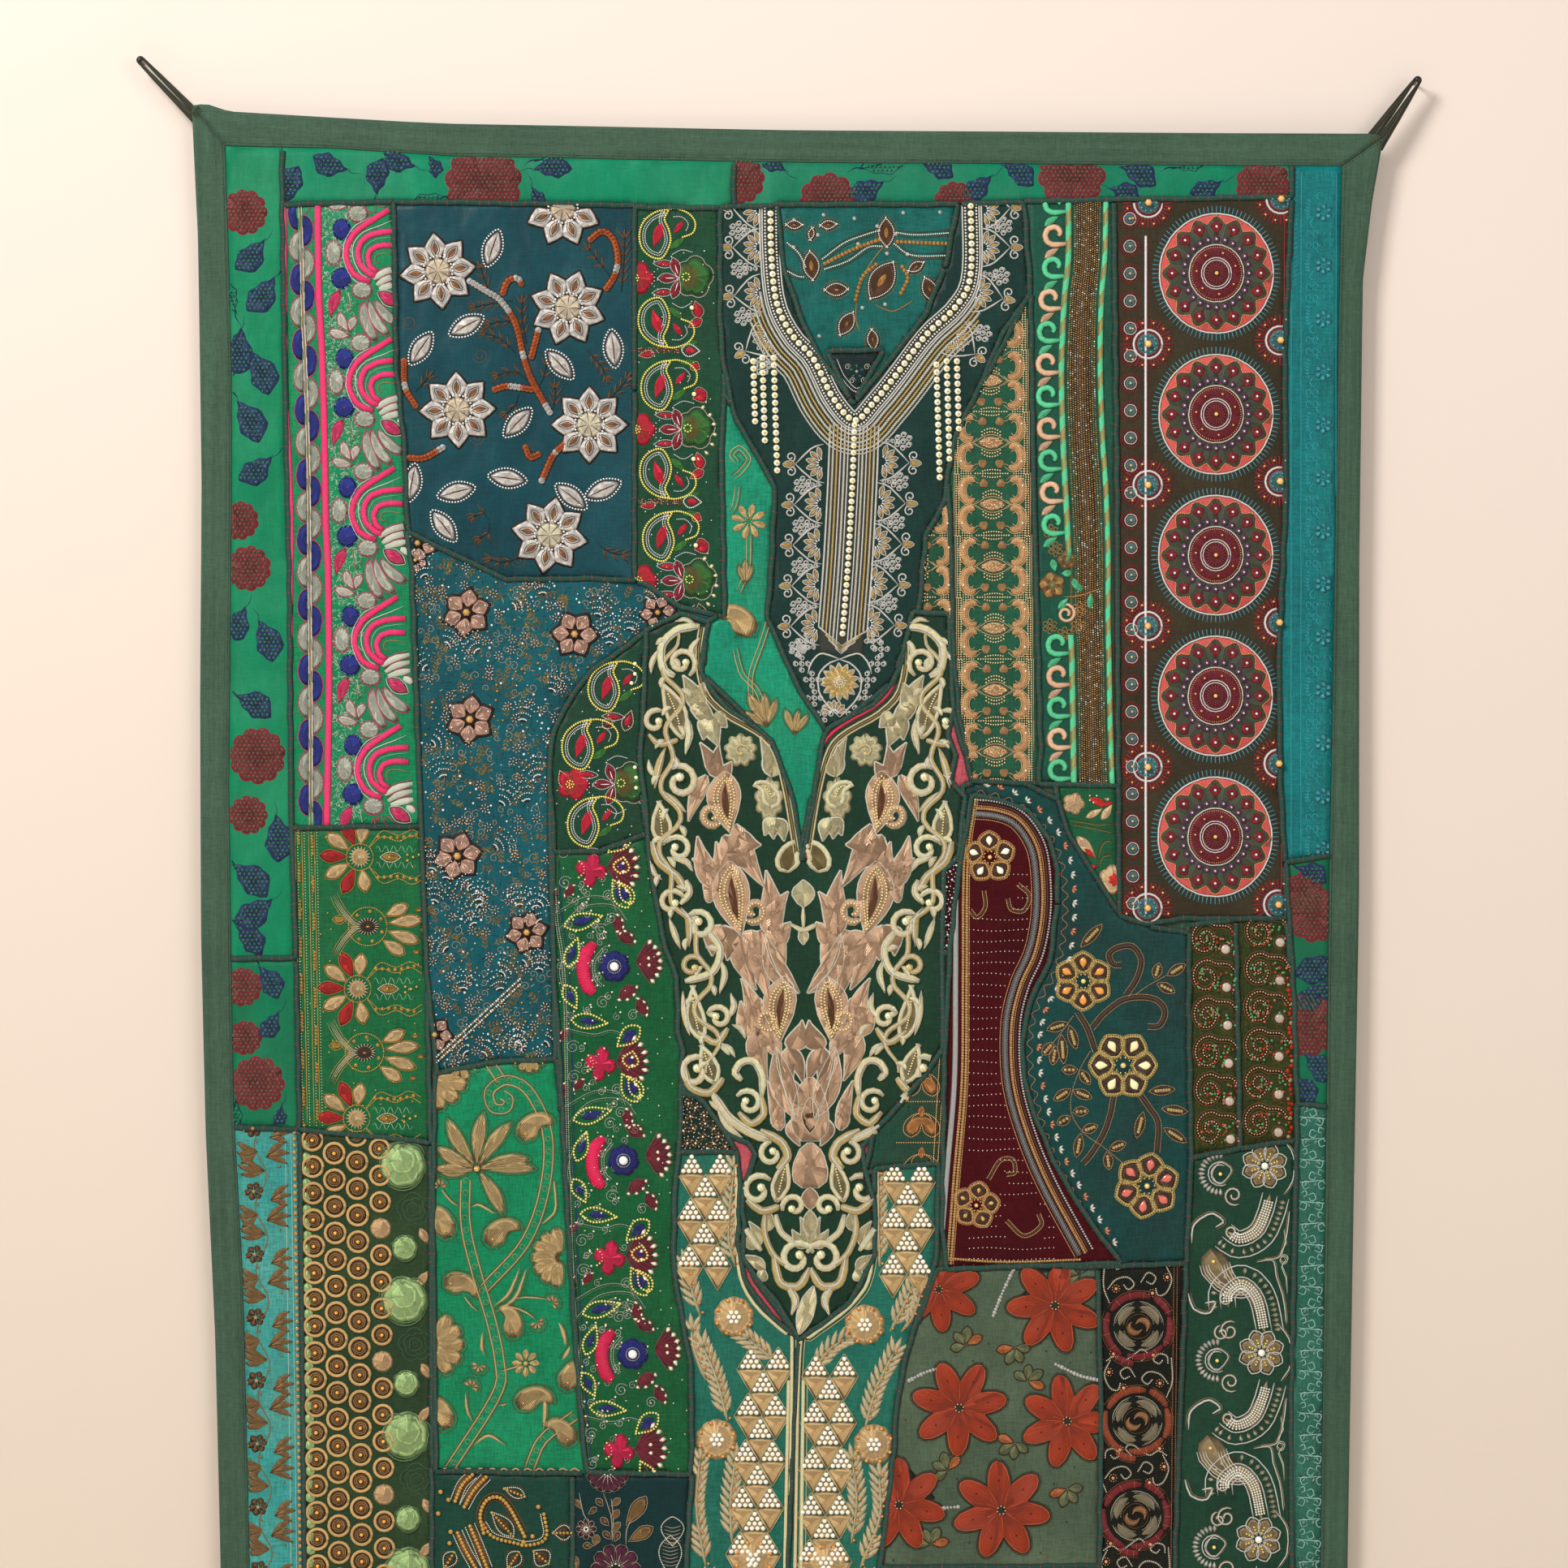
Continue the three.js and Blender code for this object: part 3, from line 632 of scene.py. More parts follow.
class Work:
    """The sewing on one cut piece. What is sewn is cut off at the piece's outline."""

    def __init__(self, patch, ring=None):
        self.patch = patch
        self.ring = CUT[patch] if ring is None else ring
        self.parts = {}
        self.home()

    def home(self):
        """Takes places as they are on the hanging."""
        return self.at((0, 0))

    def at(self, origin, turn=0.0, size=1.0, flip=False):
        """Takes the places that follow as turned, sized, mirrored and moved."""
        c, s = math.cos(math.radians(turn)) * size, math.sin(math.radians(turn)) * size
        mirror = -1 if flip else 1
        self.origin = np.asarray(origin, float)
        self.matrix = np.array([[c * mirror, s * mirror], [-s, c]])
        self.size = size
        return self

    def seen(self, points):
        """Which points are inside the outline."""
        return inside(points, self.ring)

    def ridge(self, line, width, colour, **how):
        """One ridge of stitches along a line, cut where it leaves the piece."""
        line = np.asarray(line, float) @ self.matrix + self.origin
        seen = self.seen(line)
        if how.get("closed") and seen.all():
            self.sew(line[None, needed(line[None], closed=True)], width, colour, **how)
            return
        if how.get("closed"):
            line = np.vstack([line, line[:1]])
            seen = np.append(seen, seen[0])
            how["closed"] = False
        share = np.linspace(0, 1, len(line))
        starts = np.flatnonzero(np.diff(np.concatenate([[0], seen.astype(int), [0]])))
        for first, last in zip(starts[::2], starts[1::2]):
            if last - first > 1:
                run, part = line[first:last], share[first:last]
                kept = needed(run[None], width, how.get("taper", "soft"))
                self.sew(run[None, kept], width, colour, share=part[kept], **how)

    def ridges(self, lines, width, colour, **how):
        """Many ridges at once, as an array of lines with the same number of points. One that
        is mostly outside the piece is left out."""
        lines = np.asarray(lines, float) @ self.matrix + self.origin
        kept = self.seen(lines).mean(1) > 0.75
        if kept.any():
            colour = np.asarray(colour, float)
            colour = colour[kept] if colour.ndim == 2 else colour
            lines = lines[kept]
            if not np.ndim(how.get("base", 0)):
                lines = lines[:, needed(lines, width, how.get("taper", "soft"), how.get("closed", False))]
            self.sew(lines, width, colour, **how)

    def sew(self, lines, width, colour, *, height=None, taper="soft", section="roof", kind="floss",
            closed=False, base=0.0, share=None):
        """Ridges as a section carried along each line: across it the section's width, up its
        height, both by the taper's share at that point of the line."""
        count, length, _ = lines.shape
        share = np.linspace(0, 1, length) if share is None else share
        taper = np.ones(length) if closed else TAPERS[taper](share)
        widths = np.maximum(np.asarray(width) * self.size * taper, LEAST_WIDTH)
        if height is None:
            height = min(0.45 * width, 1.1) if np.ndim(width) == 0 else 0.6
        heights = height * np.sqrt(np.maximum(taper, 0.05))
        if closed:
            ahead = np.roll(lines, -1, 1) - np.roll(lines, 1, 1)
        else:
            ahead = np.gradient(lines, axis=1)
        ahead /= np.maximum(np.linalg.norm(ahead, axis=2, keepdims=True), 1e-9)
        side = np.stack([-ahead[..., 1], ahead[..., 0]], -1)
        points = np.array(SECTIONS[section], float)
        reach = points[:, 0] * widths[..., None] / 2
        verts = np.empty((count, length, len(points), 3))
        verts[..., :2] = lines[:, :, None] + side[:, :, None] * reach[..., None]
        rise = np.asarray(base)[..., None] + points[:, 1] * heights[..., None]
        verts[..., 2] = rise - np.where(points[:, 1] == 0, SUNK, 0)
        steps = np.linalg.norm(np.diff(lines, axis=1), axis=2)
        far = np.concatenate([np.zeros((count, 1)), np.cumsum(steps, 1)], 1)
        thread = np.empty((count, length, len(points), 2))
        thread[..., 0] = far[:, :, None]
        thread[..., 1] = reach
        colour = np.asarray(colour, float)
        colour = colour[:, None, None] if colour.ndim == 2 else colour
        # Random tone per ridge, times painted shade along the foot of the section and a painted highlight
        # over the rest
        lit = random.uniform(0.9, 1.1, (count, 1, 1, 1)) * np.where(points[:, 1] == 0, 0.55, 1.08)[:, None]
        tint = np.broadcast_to(colour * lit, verts.shape)
        faces = ridge_faces(length, len(points), closed)
        self.keep(kind, verts.reshape(count, -1, 3), faces, tint.reshape(count, -1, 3),
                  thread.reshape(count, -1, 2))

    def beads(self, points, radius, colour, *, kind="beads", sides=6, rows=BEAD_ROWS, tall=1.5, base=0.0):
        """Round beads or flat sequins: rings of a profile that is turned about each point's
        own axis, which stands on the cloth. The smaller they are, the fewer faces they have."""
        points = np.atleast_2d(np.asarray(points, float)) @ self.matrix + self.origin
        kept = self.seen(points)
        if not kept.any():
            return
        points = points[kept]
        radius = np.broadcast_to(np.asarray(radius, float) * self.size, kept.shape)[kept]
        reach = radius.max()
        sides = min(sides, 4 if reach < TINY_BEAD else 5 if reach < SMALL_BEAD else sides)
        rows = SEED_ROWS if rows is BEAD_ROWS and reach < SMALL_BEAD else rows
        colour = np.broadcast_to(np.asarray(colour, float), (len(kept), 3))[kept]
        turn = np.arange(sides) * TAU / sides
        ring = np.column_stack([np.cos(turn), np.sin(turn)])
        shape = [np.array([[0, 0, rows[0][1]]])]
        for out, up in rows[1:]:
            shape.append(np.column_stack([ring * out, np.full(sides, up)]))
        shape = np.vstack(shape)
        verts = np.empty((len(points), len(shape), 3))
        verts[..., :2] = points[:, None] + shape[None, :, :2] * radius[:, None, None]
        verts[..., 2] = shape[:, 2] * (radius * tall)[:, None] + base - 0.05
        # Random tone per bead, times a painted highlight that grows from the foot up to the top
        lit = random.uniform(0.85, 1.12, (len(points), 1, 1))
        lit = lit * np.interp(shape[:, 2], (0.2, 0.8), (1.0, 1.22))[:, None]
        tint = colour[:, None] * lit
        thread = np.broadcast_to(shape[:, :2], (len(points), len(shape), 2))
        self.keep(kind, verts, bead_faces(len(rows) - 1, sides), tint, thread)

    def pad(self, rings, colour, *, height=0.7, kind="floss", rows=PAD_ROWS, base=0.0):
        """Low cushions of stitches, each in its own ring of points: rings of a profile are drawn
        in towards the middle. A cushion that crosses the outline is drawn in to it."""
        rings = np.asarray(rings, float)
        rings = (rings[None] if rings.ndim == 2 else rings) @ self.matrix + self.origin
        if np.linalg.det(self.matrix) < 0:
            rings = rings[:, ::-1]
        kept = self.seen(rings.mean(1))
        if not kept.any():
            return
        rings = rings[kept]
        middle = rings.mean(1)[:, None]
        over = ~self.seen(rings).all(1)
        if over.any():
            share = np.linspace(1, 0.03, 25)[:, None, None, None]
            tries = middle[over] + (rings[over] - middle[over]) * share
            rings[over] = np.take_along_axis(tries, self.seen(tries).argmax(0)[None, ..., None], 0)[0]
        rings = rings[:, needed(rings, closed=True)]
        steps = np.linalg.norm(np.roll(rings, -1, 1) - rings, axis=2).cumsum(1)
        if rows is PAD_ROWS and steps[:, -1].max() < SMALL_PAD:
            rows = LOW_ROWS
        elif rows is FLAT_ROWS and steps[:, -1].max() > WIDE_PAD:
            rows = PRINT_ROWS
        count, sides, _ = rings.shape
        colour = np.asarray(colour, float)
        colour = colour[kept] if colour.ndim == 2 else np.broadcast_to(colour, (count, 3))
        reach = np.array([rows[0][0], *np.repeat([r[0] for r in rows[1:]], sides)])
        rise = np.array([rows[0][1], *np.repeat([r[1] for r in rows[1:]], sides)])
        turned = np.concatenate([rings[:, :1], *[rings] * (len(rows) - 1)], 1)
        verts = np.empty((count, len(reach), 3))
        verts[..., :2] = middle + (turned - middle) * reach[:, None]
        verts[..., 2] = base + rise * height
        far = np.concatenate([steps[:, :1], *[steps] * (len(rows) - 1)], 1)
        thread = np.stack([far, far * 0], -1)
        # Random tone per cushion, times painted shade that darkens it down at its rim on the cloth
        lit = random.uniform(0.92, 1.08, (count, 1, 1)) * np.interp(rise, (-0.1, 0.6), (0.5, 1.05))[:, None]
        self.keep(kind, verts, bead_faces(len(rows) - 1, sides), colour[:, None] * lit, thread)

    def string(self, line, radius, colour, gap=2.1, **how):
        """Beads side by side along a line, the gap being from one to the next in radii."""
        self.beads(evenly(np.asarray(line, float), gap * radius), radius, colour, **how)

    def edged(self, ring, inset, radius, colour, step=1.9, **how):
        """Seed beads along a ring, moved inwards by the inset, or outwards where that is negative."""
        self.string(curve(drawn_in(ring, inset), step, closed=True), radius, colour, **SEEDS, **how)

    def sprig(self, line, colour, *, leaf=5.0, pitch=4.5, width=1.8, angle=42, stem=0.7, **how):
        """A stem with leaves in pairs along it, and one at its tip."""
        line = evenly(np.asarray(line, float), pitch)
        ahead = np.gradient(line, axis=0)
        ahead /= np.linalg.norm(ahead, axis=1, keepdims=True)
        self.ridge(line, stem, colour, height=0.35, **how)
        share = np.linspace(0, 1, 3 if width < 2.5 else 5)[:, None]
        for turn in (angle, -angle):
            c, s = math.cos(math.radians(turn)), math.sin(math.radians(turn))
            way = ahead[1:] @ np.array([[c, s], [-s, c]]) * leaf
            self.ridges(line[1:, None] + way[:, None] * share, width, colour, taper="leaf",
                        height=0.5, **how)
        self.ridge(line[-1] + ahead[-1] * leaf * share, width, colour, taper="leaf", height=0.5, **how)

    def scattered(self, count, apart, inset=3.0, away=()):
        """Up to so many random places on the piece, no two nearer to each other than the distance,
        nor nearer to one of the places to stay away from, each given as its centre and radius."""
        low, high = self.ring.min(0), self.ring.max(0)
        tries = random.uniform(low, high, (count * 12, 2))
        tries = tries[inside(tries, self.ring)]
        tries = tries[from_edges(tries, self.ring, np.roll(self.ring, -1, 0)) > inset]
        for centre, radius in away:
            tries = tries[np.linalg.norm(tries - centre, axis=1) > radius]
        found = np.empty((0, 2))
        for place in tries:
            if len(found) < count and (not len(found) or np.hypot(*(found - place).T).min() > apart):
                found = np.vstack([found, place])
        return found

    def keep(self, kind, verts, faces, tint, thread):
        """Keeps copies of one shape, all with the same faces. Each kind of thread is painted lighter
        than its colour by its own gain, a painted highlight that stands in for its shine."""
        tint = np.minimum(tint * PAINTED_SHINE[kind], 0.93)
        self.parts.setdefault(kind, []).append((verts, faces, tint, thread))

    def finish(self):
        """Makes one piece for each kind of thread or bead, laid on the front of the cloth."""
        made = []
        for kind, parts in self.parts.items():
            faces, start = [], 0
            for verts, face, _, _ in parts:
                count, size, _ = verts.shape
                offset = start + np.arange(count) * size
                faces.append((face[None] + offset[:, None, None]).reshape(-1, 3))
                start += count * size
            flat = np.vstack([p[0].reshape(-1, 3) for p in parts])
            x, z, height = flat.T
            verts = np.column_stack([x, patch_face(x, z) - height, z])
            tint = np.vstack([p[2].reshape(-1, 3) for p in parts])
            thread = np.vstack([p[3].reshape(-1, 2) for p in parts])
            faces = np.vstack(faces)
            piece = new_mesh(f"{self.patch}_{kind}", verts, faces, thread_material(kind), tint, thread,
                             tint_map(tint, faces))
            made.append(ride(piece, GRADES[kind]))
        return made


def ridge_faces(length, points, closed):
    """Triangles of a tube with so many rings, each of so many points, and its two end caps."""
    i = np.arange(length if closed else length - 1)[:, None] * points
    j = np.arange(points)[None]
    after = (j + 1) % points
    ahead = (i + points) % (length * points)
    a, b, c, d = i + j, i + after, ahead + after, ahead + j
    sides = np.concatenate([np.stack([a, b, c], -1), np.stack([a, c, d], -1)]).reshape(-1, 3)
    if closed:
        return sides
    fan = np.arange(1, points - 1)
    none = np.zeros_like(fan)
    last = (length - 1) * points
    return np.vstack([
        sides,
        np.column_stack([none, fan + 1, fan]),
        np.column_stack([none + last, fan + last, fan + last + 1]),
    ])


def bead_faces(rings, sides):
    """Triangles of a turned shape: a pole, so many rings under it, and a floor in the last one."""
    j = np.arange(sides)
    after = (j + 1) % sides
    faces = [np.column_stack([0 * j, 1 + j, 1 + after])]
    for ring in range(rings - 1):
        upper, lower = 1 + ring * sides, 1 + (ring + 1) * sides
        faces.append(np.column_stack([upper + j, lower + j, lower + after]))
        faces.append(np.column_stack([upper + j, lower + after, upper + after]))
    end, fan = 1 + (rings - 1) * sides, np.arange(1, sides - 1)
    faces.append(end + np.column_stack([0 * fan, fan + 1, fan]))
    return np.vstack(faces)


def tint_map(tint, faces):
    """Places on the baked map: one square for each shade, in rows, and each triangle drawn in
    the square of its own shade."""
    shade = np.round(tint[faces[:, 0]] ** 0.45 * 14).astype(int)
    shades, index = np.unique(shade, axis=0, return_inverse=True)
    side = math.ceil(math.sqrt(len(shades)))
    corner = np.array([[0.15, 0.15], [0.85, 0.15], [0.5, 0.85]])
    index = index.ravel()
    square = np.column_stack([index % side, index // side])[:, None]
    return ((square + corner) / side).reshape(-1, 2)


MATERIALS = {}


def thread_material(kind):
    """The finish of a kind of thread or bead, made when it is first asked for."""
    if kind not in MATERIALS:
        how = {
            "floss": dict(pitch=0.9, gloss=0.55, sheen=0.05),
            "gold": dict(pitch=0.8, gloss=0.34, metal=0.2, depth=0.16),
            "silver": dict(pitch=0.8, gloss=0.36, metal=0.12, depth=0.16),
            "beads": dict(pitch=50, gloss=0.2, coat=0.4, depth=0.01, dip=0.9),
            "sequins": dict(pitch=50, gloss=0.2, metal=0.4, depth=0.02, dip=0.8),
        }[kind]
        MATERIALS[kind] = thread_finish(kind + "_thread" if kind != "beads" else "glass", **how)
    return MATERIALS[kind]


# The cut pieces: what each is cut from, its colour, and the colour that it has worn to
CLOTHS = {
    "daisy_satin": ("satin", (16, 62, 72), (30, 84, 92)),
    "beaded_turquoise": ("silk", (4, 82, 92), (13, 37, 40)),
    "neck_inset": ("silk", (10, 92, 86), (8, 44, 46)),
    "yoke_gold": ("silk", (16, 50, 34), (30, 68, 50)),
    "yoke_pearl": ("silk", (10, 46, 42), (24, 58, 48)),
    "neck_tip": ("silk", (14, 34, 34), (28, 50, 46)),
    "paisley_strip": ("silk", (14, 66, 44), (34, 56, 38)),
    "paisley_small": ("silk", (16, 62, 44), (34, 54, 38)),
    "lily_sliver": ("silk", (10, 132, 102), (44, 142, 100)),
    "navy_flower": ("silk", (8, 84, 46), (36, 92, 56)),
    "gold_vine": ("silk", (4, 124, 82), (30, 138, 98)),
    "brown_paisley": ("silk", (14, 64, 52), (26, 46, 34)),
    "maroon_spray": ("silk", (4, 44, 46), (14, 54, 54)),
    "diamond_left": ("silk", (24, 100, 86), (44, 108, 84)),
    "diamond_right": ("silk", (24, 100, 86), (44, 108, 84)),
    "print_left_high": ("print", (0, 124, 84), (46, 134, 96)),
    "print_left_low": ("print", (0, 112, 76), (34, 108, 74)),
    "print_top_left": ("print", (0, 124, 88), (46, 132, 98)),
    "print_top_right": ("print", (0, 116, 84), (50, 124, 96)),
    "print_right": ("print", (0, 104, 72), (30, 96, 66)),
    "print_bottom": ("print", (0, 124, 82), (60, 132, 92)),
    "trim_vine": ("silk", (52, 144, 140), (110, 165, 150)),
    "border_scallop": ("silk", (4, 122, 76), (44, 138, 98)),
    "border_lotus": ("silk", (14, 94, 54), (36, 104, 62)),
    "border_rings": ("silk", (34, 58, 34), (56, 78, 46)),
    "ribbon_border": ("silk", (16, 74, 58), (34, 88, 68)),
    "block_border": ("silk", (22, 80, 58), (34, 62, 44)),
    "block_sliver": ("silk", (24, 72, 52), (32, 58, 42)),
    "mandala_border": ("cotton", (52, 46, 32), (64, 56, 40)),
    "turquoise_trim": ("silk", (4, 106, 108), (10, 130, 130)),
    "pale_trim": ("silk", (34, 94, 78), (66, 122, 102)),
    "maroon_panel": ("velvet", (66, 2, 12), (46, 2, 10)),
    "teal_panel": ("silk", (6, 62, 60), (42, 34, 28)),
    "cream_flower": ("silk", (14, 84, 52), (28, 66, 40)),
    "scroll_left": ("net", (46, 56, 18), (28, 30, 12)),
    "scroll_right": ("net", (44, 54, 18), (26, 28, 12)),
    "silver_paisley": ("silk", (18, 58, 42), (34, 70, 50)),
    "rust_star": ("satin", (70, 88, 70), (106, 120, 94)),
    "sage_low": ("satin", (18, 78, 52), (34, 92, 64)),
    "mesh_rosette": ("net", (12, 16, 10), (32, 30, 22)),
    "dark_sliver": ("silk", (12, 38, 34), (24, 48, 40)),
    "copper_corner": ("silk", (20, 66, 52), (54, 60, 40)),
    "dark_lace": ("net", (50, 6, 18), (76, 20, 32)),
    "rose_high": ("silk", (176, 72, 84), (196, 110, 116)),
    "rose_left": ("silk", (176, 72, 84), (196, 110, 116)),
    "rose_low": ("silk", (190, 92, 100), (206, 130, 130)),
    "rose_side": ("silk", (176, 72, 84), (196, 110, 116)),
    "rose_right": ("silk", (206, 110, 116), (220, 150, 146)),
}
KINDS = {
    "silk": dict(slub=0.9, crease=1.2, gloss=0.5, sheen=0.03),
    "satin": dict(slub=0.7, crease=1.5, gloss=0.4, sheen=0.03),
    "cotton": dict(slub=0.5, crease=0.7, gloss=0.85, sheen=0.02),
    "print": dict(slub=0.3, crease=1.6, gloss=0.6, sheen=0.02, worn_share=0.6),
    "velvet": dict(slub=0.6, crease=0.5, gloss=0.9, sheen=0.06),
    "net": dict(slub=1.6, crease=0.9, gloss=0.7, sheen=0.02),
}
CUT = {name: front_ring(name) for name in CLOTHS}
SLOT = {row["node"]: row["material_slot"] for row in frame["record"]["subparts"]}

# The outer and inner edges of the binding, each side from corner to corner, clockwise
OUTER_EDGE = {
    "top": ((-521, 21), (-509, 23), (-488, 16), (-333, 7), (-290, 5), (0, 0), (239, -2), (496, -4),
            (517, -4), (527, -7)),
    "right": ((527, -7), (517, -64), (509, -132), (506, -386), (506, -671), (501, -957), (496, -1266),
              (492, -1513)),
    "bottom": ((492, -1513), (310, -1509), (0, -1511), (-261, -1515), (-491, -1516)),
    "left": ((-491, -1516), (-496, -1266), (-501, -1060), (-509, -884), (-513, -708), (-514, -502),
             (-513, -311), (-516, -93), (-521, 21)),
}
INNER_EDGE = {
    "top": ((-491, -15), (-396, -17), (-290, -24), (0, -29), (490, -33)),
    "right": ((490, -33), (481, -576), (479, -671), (476, -957), (472, -1266), (467, -1486)),
    "bottom": ((467, -1486), (310, -1481), (0, -1484), (-261, -1488), (-464, -1488)),
    "left": ((-464, -1488), (-470, -1266), (-476, -1016), (-484, -861), (-488, -576), (-486, -326),
             (-486, -207), (-491, -15)),
}
# The fold of the binding, from the front inner edge round to the back: the share of its width
# from the inner edge, and the place behind the middle of the cloth
FOLD_OUTSIDE = ((0.0, -2.05), (0.03, -2.4), (0.1, -2.2), (0.2, -2.36), (0.5, -2.42), (0.86, -2.3),
                (0.965, -1.85), (0.995, -0.9), (0.995, 0.9), (0.965, 1.85), (0.86, 2.3), (0.5, 2.3),
                (0.1, 2.3), (0.0, 2.2))
FOLD_INSIDE = ((0.0, -1.45), (0.03, -1.35), (0.1, -1.3), (0.2, -1.3), (0.5, -1.3), (0.86, -1.3),
               (0.93, -1.1), (0.955, -0.5), (0.955, 0.5), (0.93, 1.1), (0.86, 1.3), (0.5, 1.3),
               (0.1, 1.3), (0.0, 1.45))
SIDES = ("top", "right", "bottom", "left")
# Points along a side of the binding
EDGE_POINTS = 400
HANGERS = {
    "left": {"root": (-520, 14), "spread": 2.9, "half": 2.6, "nail": (-566, 61)},
    "right": {"root": (521, -9), "spread": 4.8, "half": 4.2, "nail": (557, 43)},
}


class HANGING_PG_sizes(bpy.types.PropertyGroup):
    """Sizes of the sewing that a user may change."""

    cloth_step: bpy.props.FloatProperty(
        name="Cloth step", description="Distance between the points of a cloth",
        default=0.007, min=0.003, max=0.02, unit="LENGTH")
    cord_width: bpy.props.FloatProperty(
        name="Cord width", description="Width of the cord that is couched over each join",
        default=0.0052, min=0.002, max=0.012, unit="LENGTH")
    cord_height: bpy.props.FloatProperty(
        name="Cord height", description="Height of that cord",
        default=0.0019, min=0.0005, max=0.006, unit="LENGTH")
    tack_pitch: bpy.props.FloatProperty(
        name="Tacking pitch", description="Distance between the stitches that hold the cord",
        default=0.0098, min=0.004, max=0.05, unit="LENGTH")
    seam_pitch: bpy.props.FloatProperty(
        name="Seam pitch", description="Length of a stitch of the binding and the gap after it",
        default=0.0032, min=0.002, max=0.01, unit="LENGTH")


def colour_property(name, shade, description):
    """A colour that the panel shows."""
    return bpy.props.FloatVectorProperty(
        name=name, description=description, subtype="COLOR", size=3, min=0, max=1,
        default=tuple(float(x) for x in rgb(*shade)))


class HANGING_PG_colours(bpy.types.PropertyGroup):
    """Colours of the sewing that a user may change."""

    binding: colour_property("Binding", (56, 84, 66), "Cotton of the folded binding")
    tape: colour_property("Tape", (46, 46, 32), "Tape of the two loops")
    cord: colour_property("Cord", (22, 66, 56), "Cord over the joins")
    tacking: colour_property("Tacking", (176, 50, 36), "Thread that holds the cord")
    ground: colour_property("Ground", (58, 84, 66), "Cotton behind the cut pieces")
    nail: colour_property("Nail", (58, 58, 60), "Steel of the nails")
    wall: colour_property("Wall", (232, 219, 210), "Plain wall behind the hanging")


def sizes():
    return bpy.context.scene.hanging_sizes


def colours():
    return bpy.context.scene.hanging_colours


def layered(outside, inside, faces):
    """A wall between two surfaces that have the same triangles, closed round its rim. The faces
    are turned round if the volume that they hold comes out below nothing."""
    count = len(outside)
    verts = np.vstack([outside, inside])
    i, j = rim_edges(faces).T
    faces = np.vstack([
        faces,
        faces[:, ::-1] + count,
        np.column_stack([i, i + count, j + count]),
        np.column_stack([i, j + count, j]),
    ])
    a, b, c = (verts[faces[:, k]] for k in range(3))
    return verts, faces if (a * np.cross(b, c)).sum() > 0 else faces[:, ::-1]


def grid_faces(rows, columns):
    """Two triangles for each cell of a grid of points."""
    i = np.arange(rows - 1)[:, None] * columns
    j = np.arange(columns - 1)[None]
    a, b, c, d = i + j, i + columns + j, i + columns + j + 1, i + j + 1
    return np.concatenate([np.stack([a, b, c], -1), np.stack([a, c, d], -1)]).reshape(-1, 3)


def along_edge(points, count):
    """Points evenly along a drawn edge."""
    line = np.asarray(points, float)
    far = np.concatenate([[0], np.cumsum(np.linalg.norm(np.diff(line, axis=0), axis=1))])
    at = np.linspace(0, far[-1], count)
    return np.column_stack([np.interp(at, far, line[:, 0]), np.interp(at, far, line[:, 1])])


def binding_place(side, share_along, share_across):
    """A place on one side of the binding, on straight lines from its inner to its outer edge."""
    inner, outer = (along_edge(edge[side], EDGE_POINTS) for edge in (INNER_EDGE, OUTER_EDGE))
    at = share_along * (EDGE_POINTS - 1)
    steps = np.arange(EDGE_POINTS)
    ends = [np.column_stack([np.interp(at, steps, e[:, 0]), np.interp(at, steps, e[:, 1])])
            for e in (inner, outer)]
    return ends[0] + (ends[1] - ends[0]) * np.asarray(share_across)[..., None]


class HANGING_OT_ground(bpy.types.Operator):
    """Hangs the cotton ground that carries every cut piece"""

    bl_idname = "hanging.ground"
    bl_label = "Ground"

    def execute(self, context):
        ring = front_ring("ground_cloth")
        flat, faces = filled(ring, 1.6 * sizes().cloth_step / MM)
        middle = drape(*flat.T)
        verts, faces = closed_sheet(flat, faces, middle + GROUND_FRONT, middle + GROUND_BACK)
        finish = cloth_finish("ground cotton", colours().ground, worn=rgb(84, 104, 84), gloss=0.88,
                              slub=0.7, crease=0.8)
        bake = square_map(verts[:, 0], verts[:, 2])
        piece = new_mesh("cloth_ground", verts, faces, finish, bake=bake)
        ride(piece, SLOT["ground_cloth"], "ground_cloth")
        declare_cloth([ring])
        return {"FINISHED"}


class HANGING_OT_cut_pieces(bpy.types.Operator):
    """Cuts every piece of cloth to its outline, finely enough for its folds to be smooth"""

    bl_idname = "hanging.cut_pieces"
    bl_label = "Cut pieces"

    def execute(self, context):
        scraps = [name for name in CLOTHS if name.startswith("rose_")]
        for name in CLOTHS:
            if name not in scraps:
                self.cut(name, [name])
        self.cut("rose", scraps)
        return {"FINISHED"}

    def cut(self, cloth, names):
        """One cloth, or the scraps of one cloth, each filled with triangles in its own outline."""
        sheets = []
        for name in names:
            flat, faces = filled(CUT[name], sizes().cloth_step / MM)
            x, z = flat.T
            edge = np.zeros(len(flat))
            edge[np.unique(rim_edges(faces))] = PATCH_TURN
            sheets.append(closed_sheet(flat, faces, patch_face(x, z) + edge, drape(x, z) + PATCH_BACK))
        starts = np.cumsum([0] + [len(verts) for verts, _ in sheets])
        verts = np.vstack([verts for verts, _ in sheets])
        faces = np.vstack([faces + start for start, (_, faces) in zip(starts, sheets)])
        kind, shade, worn = CLOTHS[names[0]]
        finish = cloth_finish(cloth + " cloth", rgb(*shade), worn=rgb(*worn), **KINDS[kind])
        piece = new_mesh("cloth_" + cloth, verts, faces, finish,
                         bake=square_map(verts[:, 0], verts[:, 2]))
        ride(piece, SLOT[names[0]], *names)
        declare_cloth([CUT[name] for name in names])


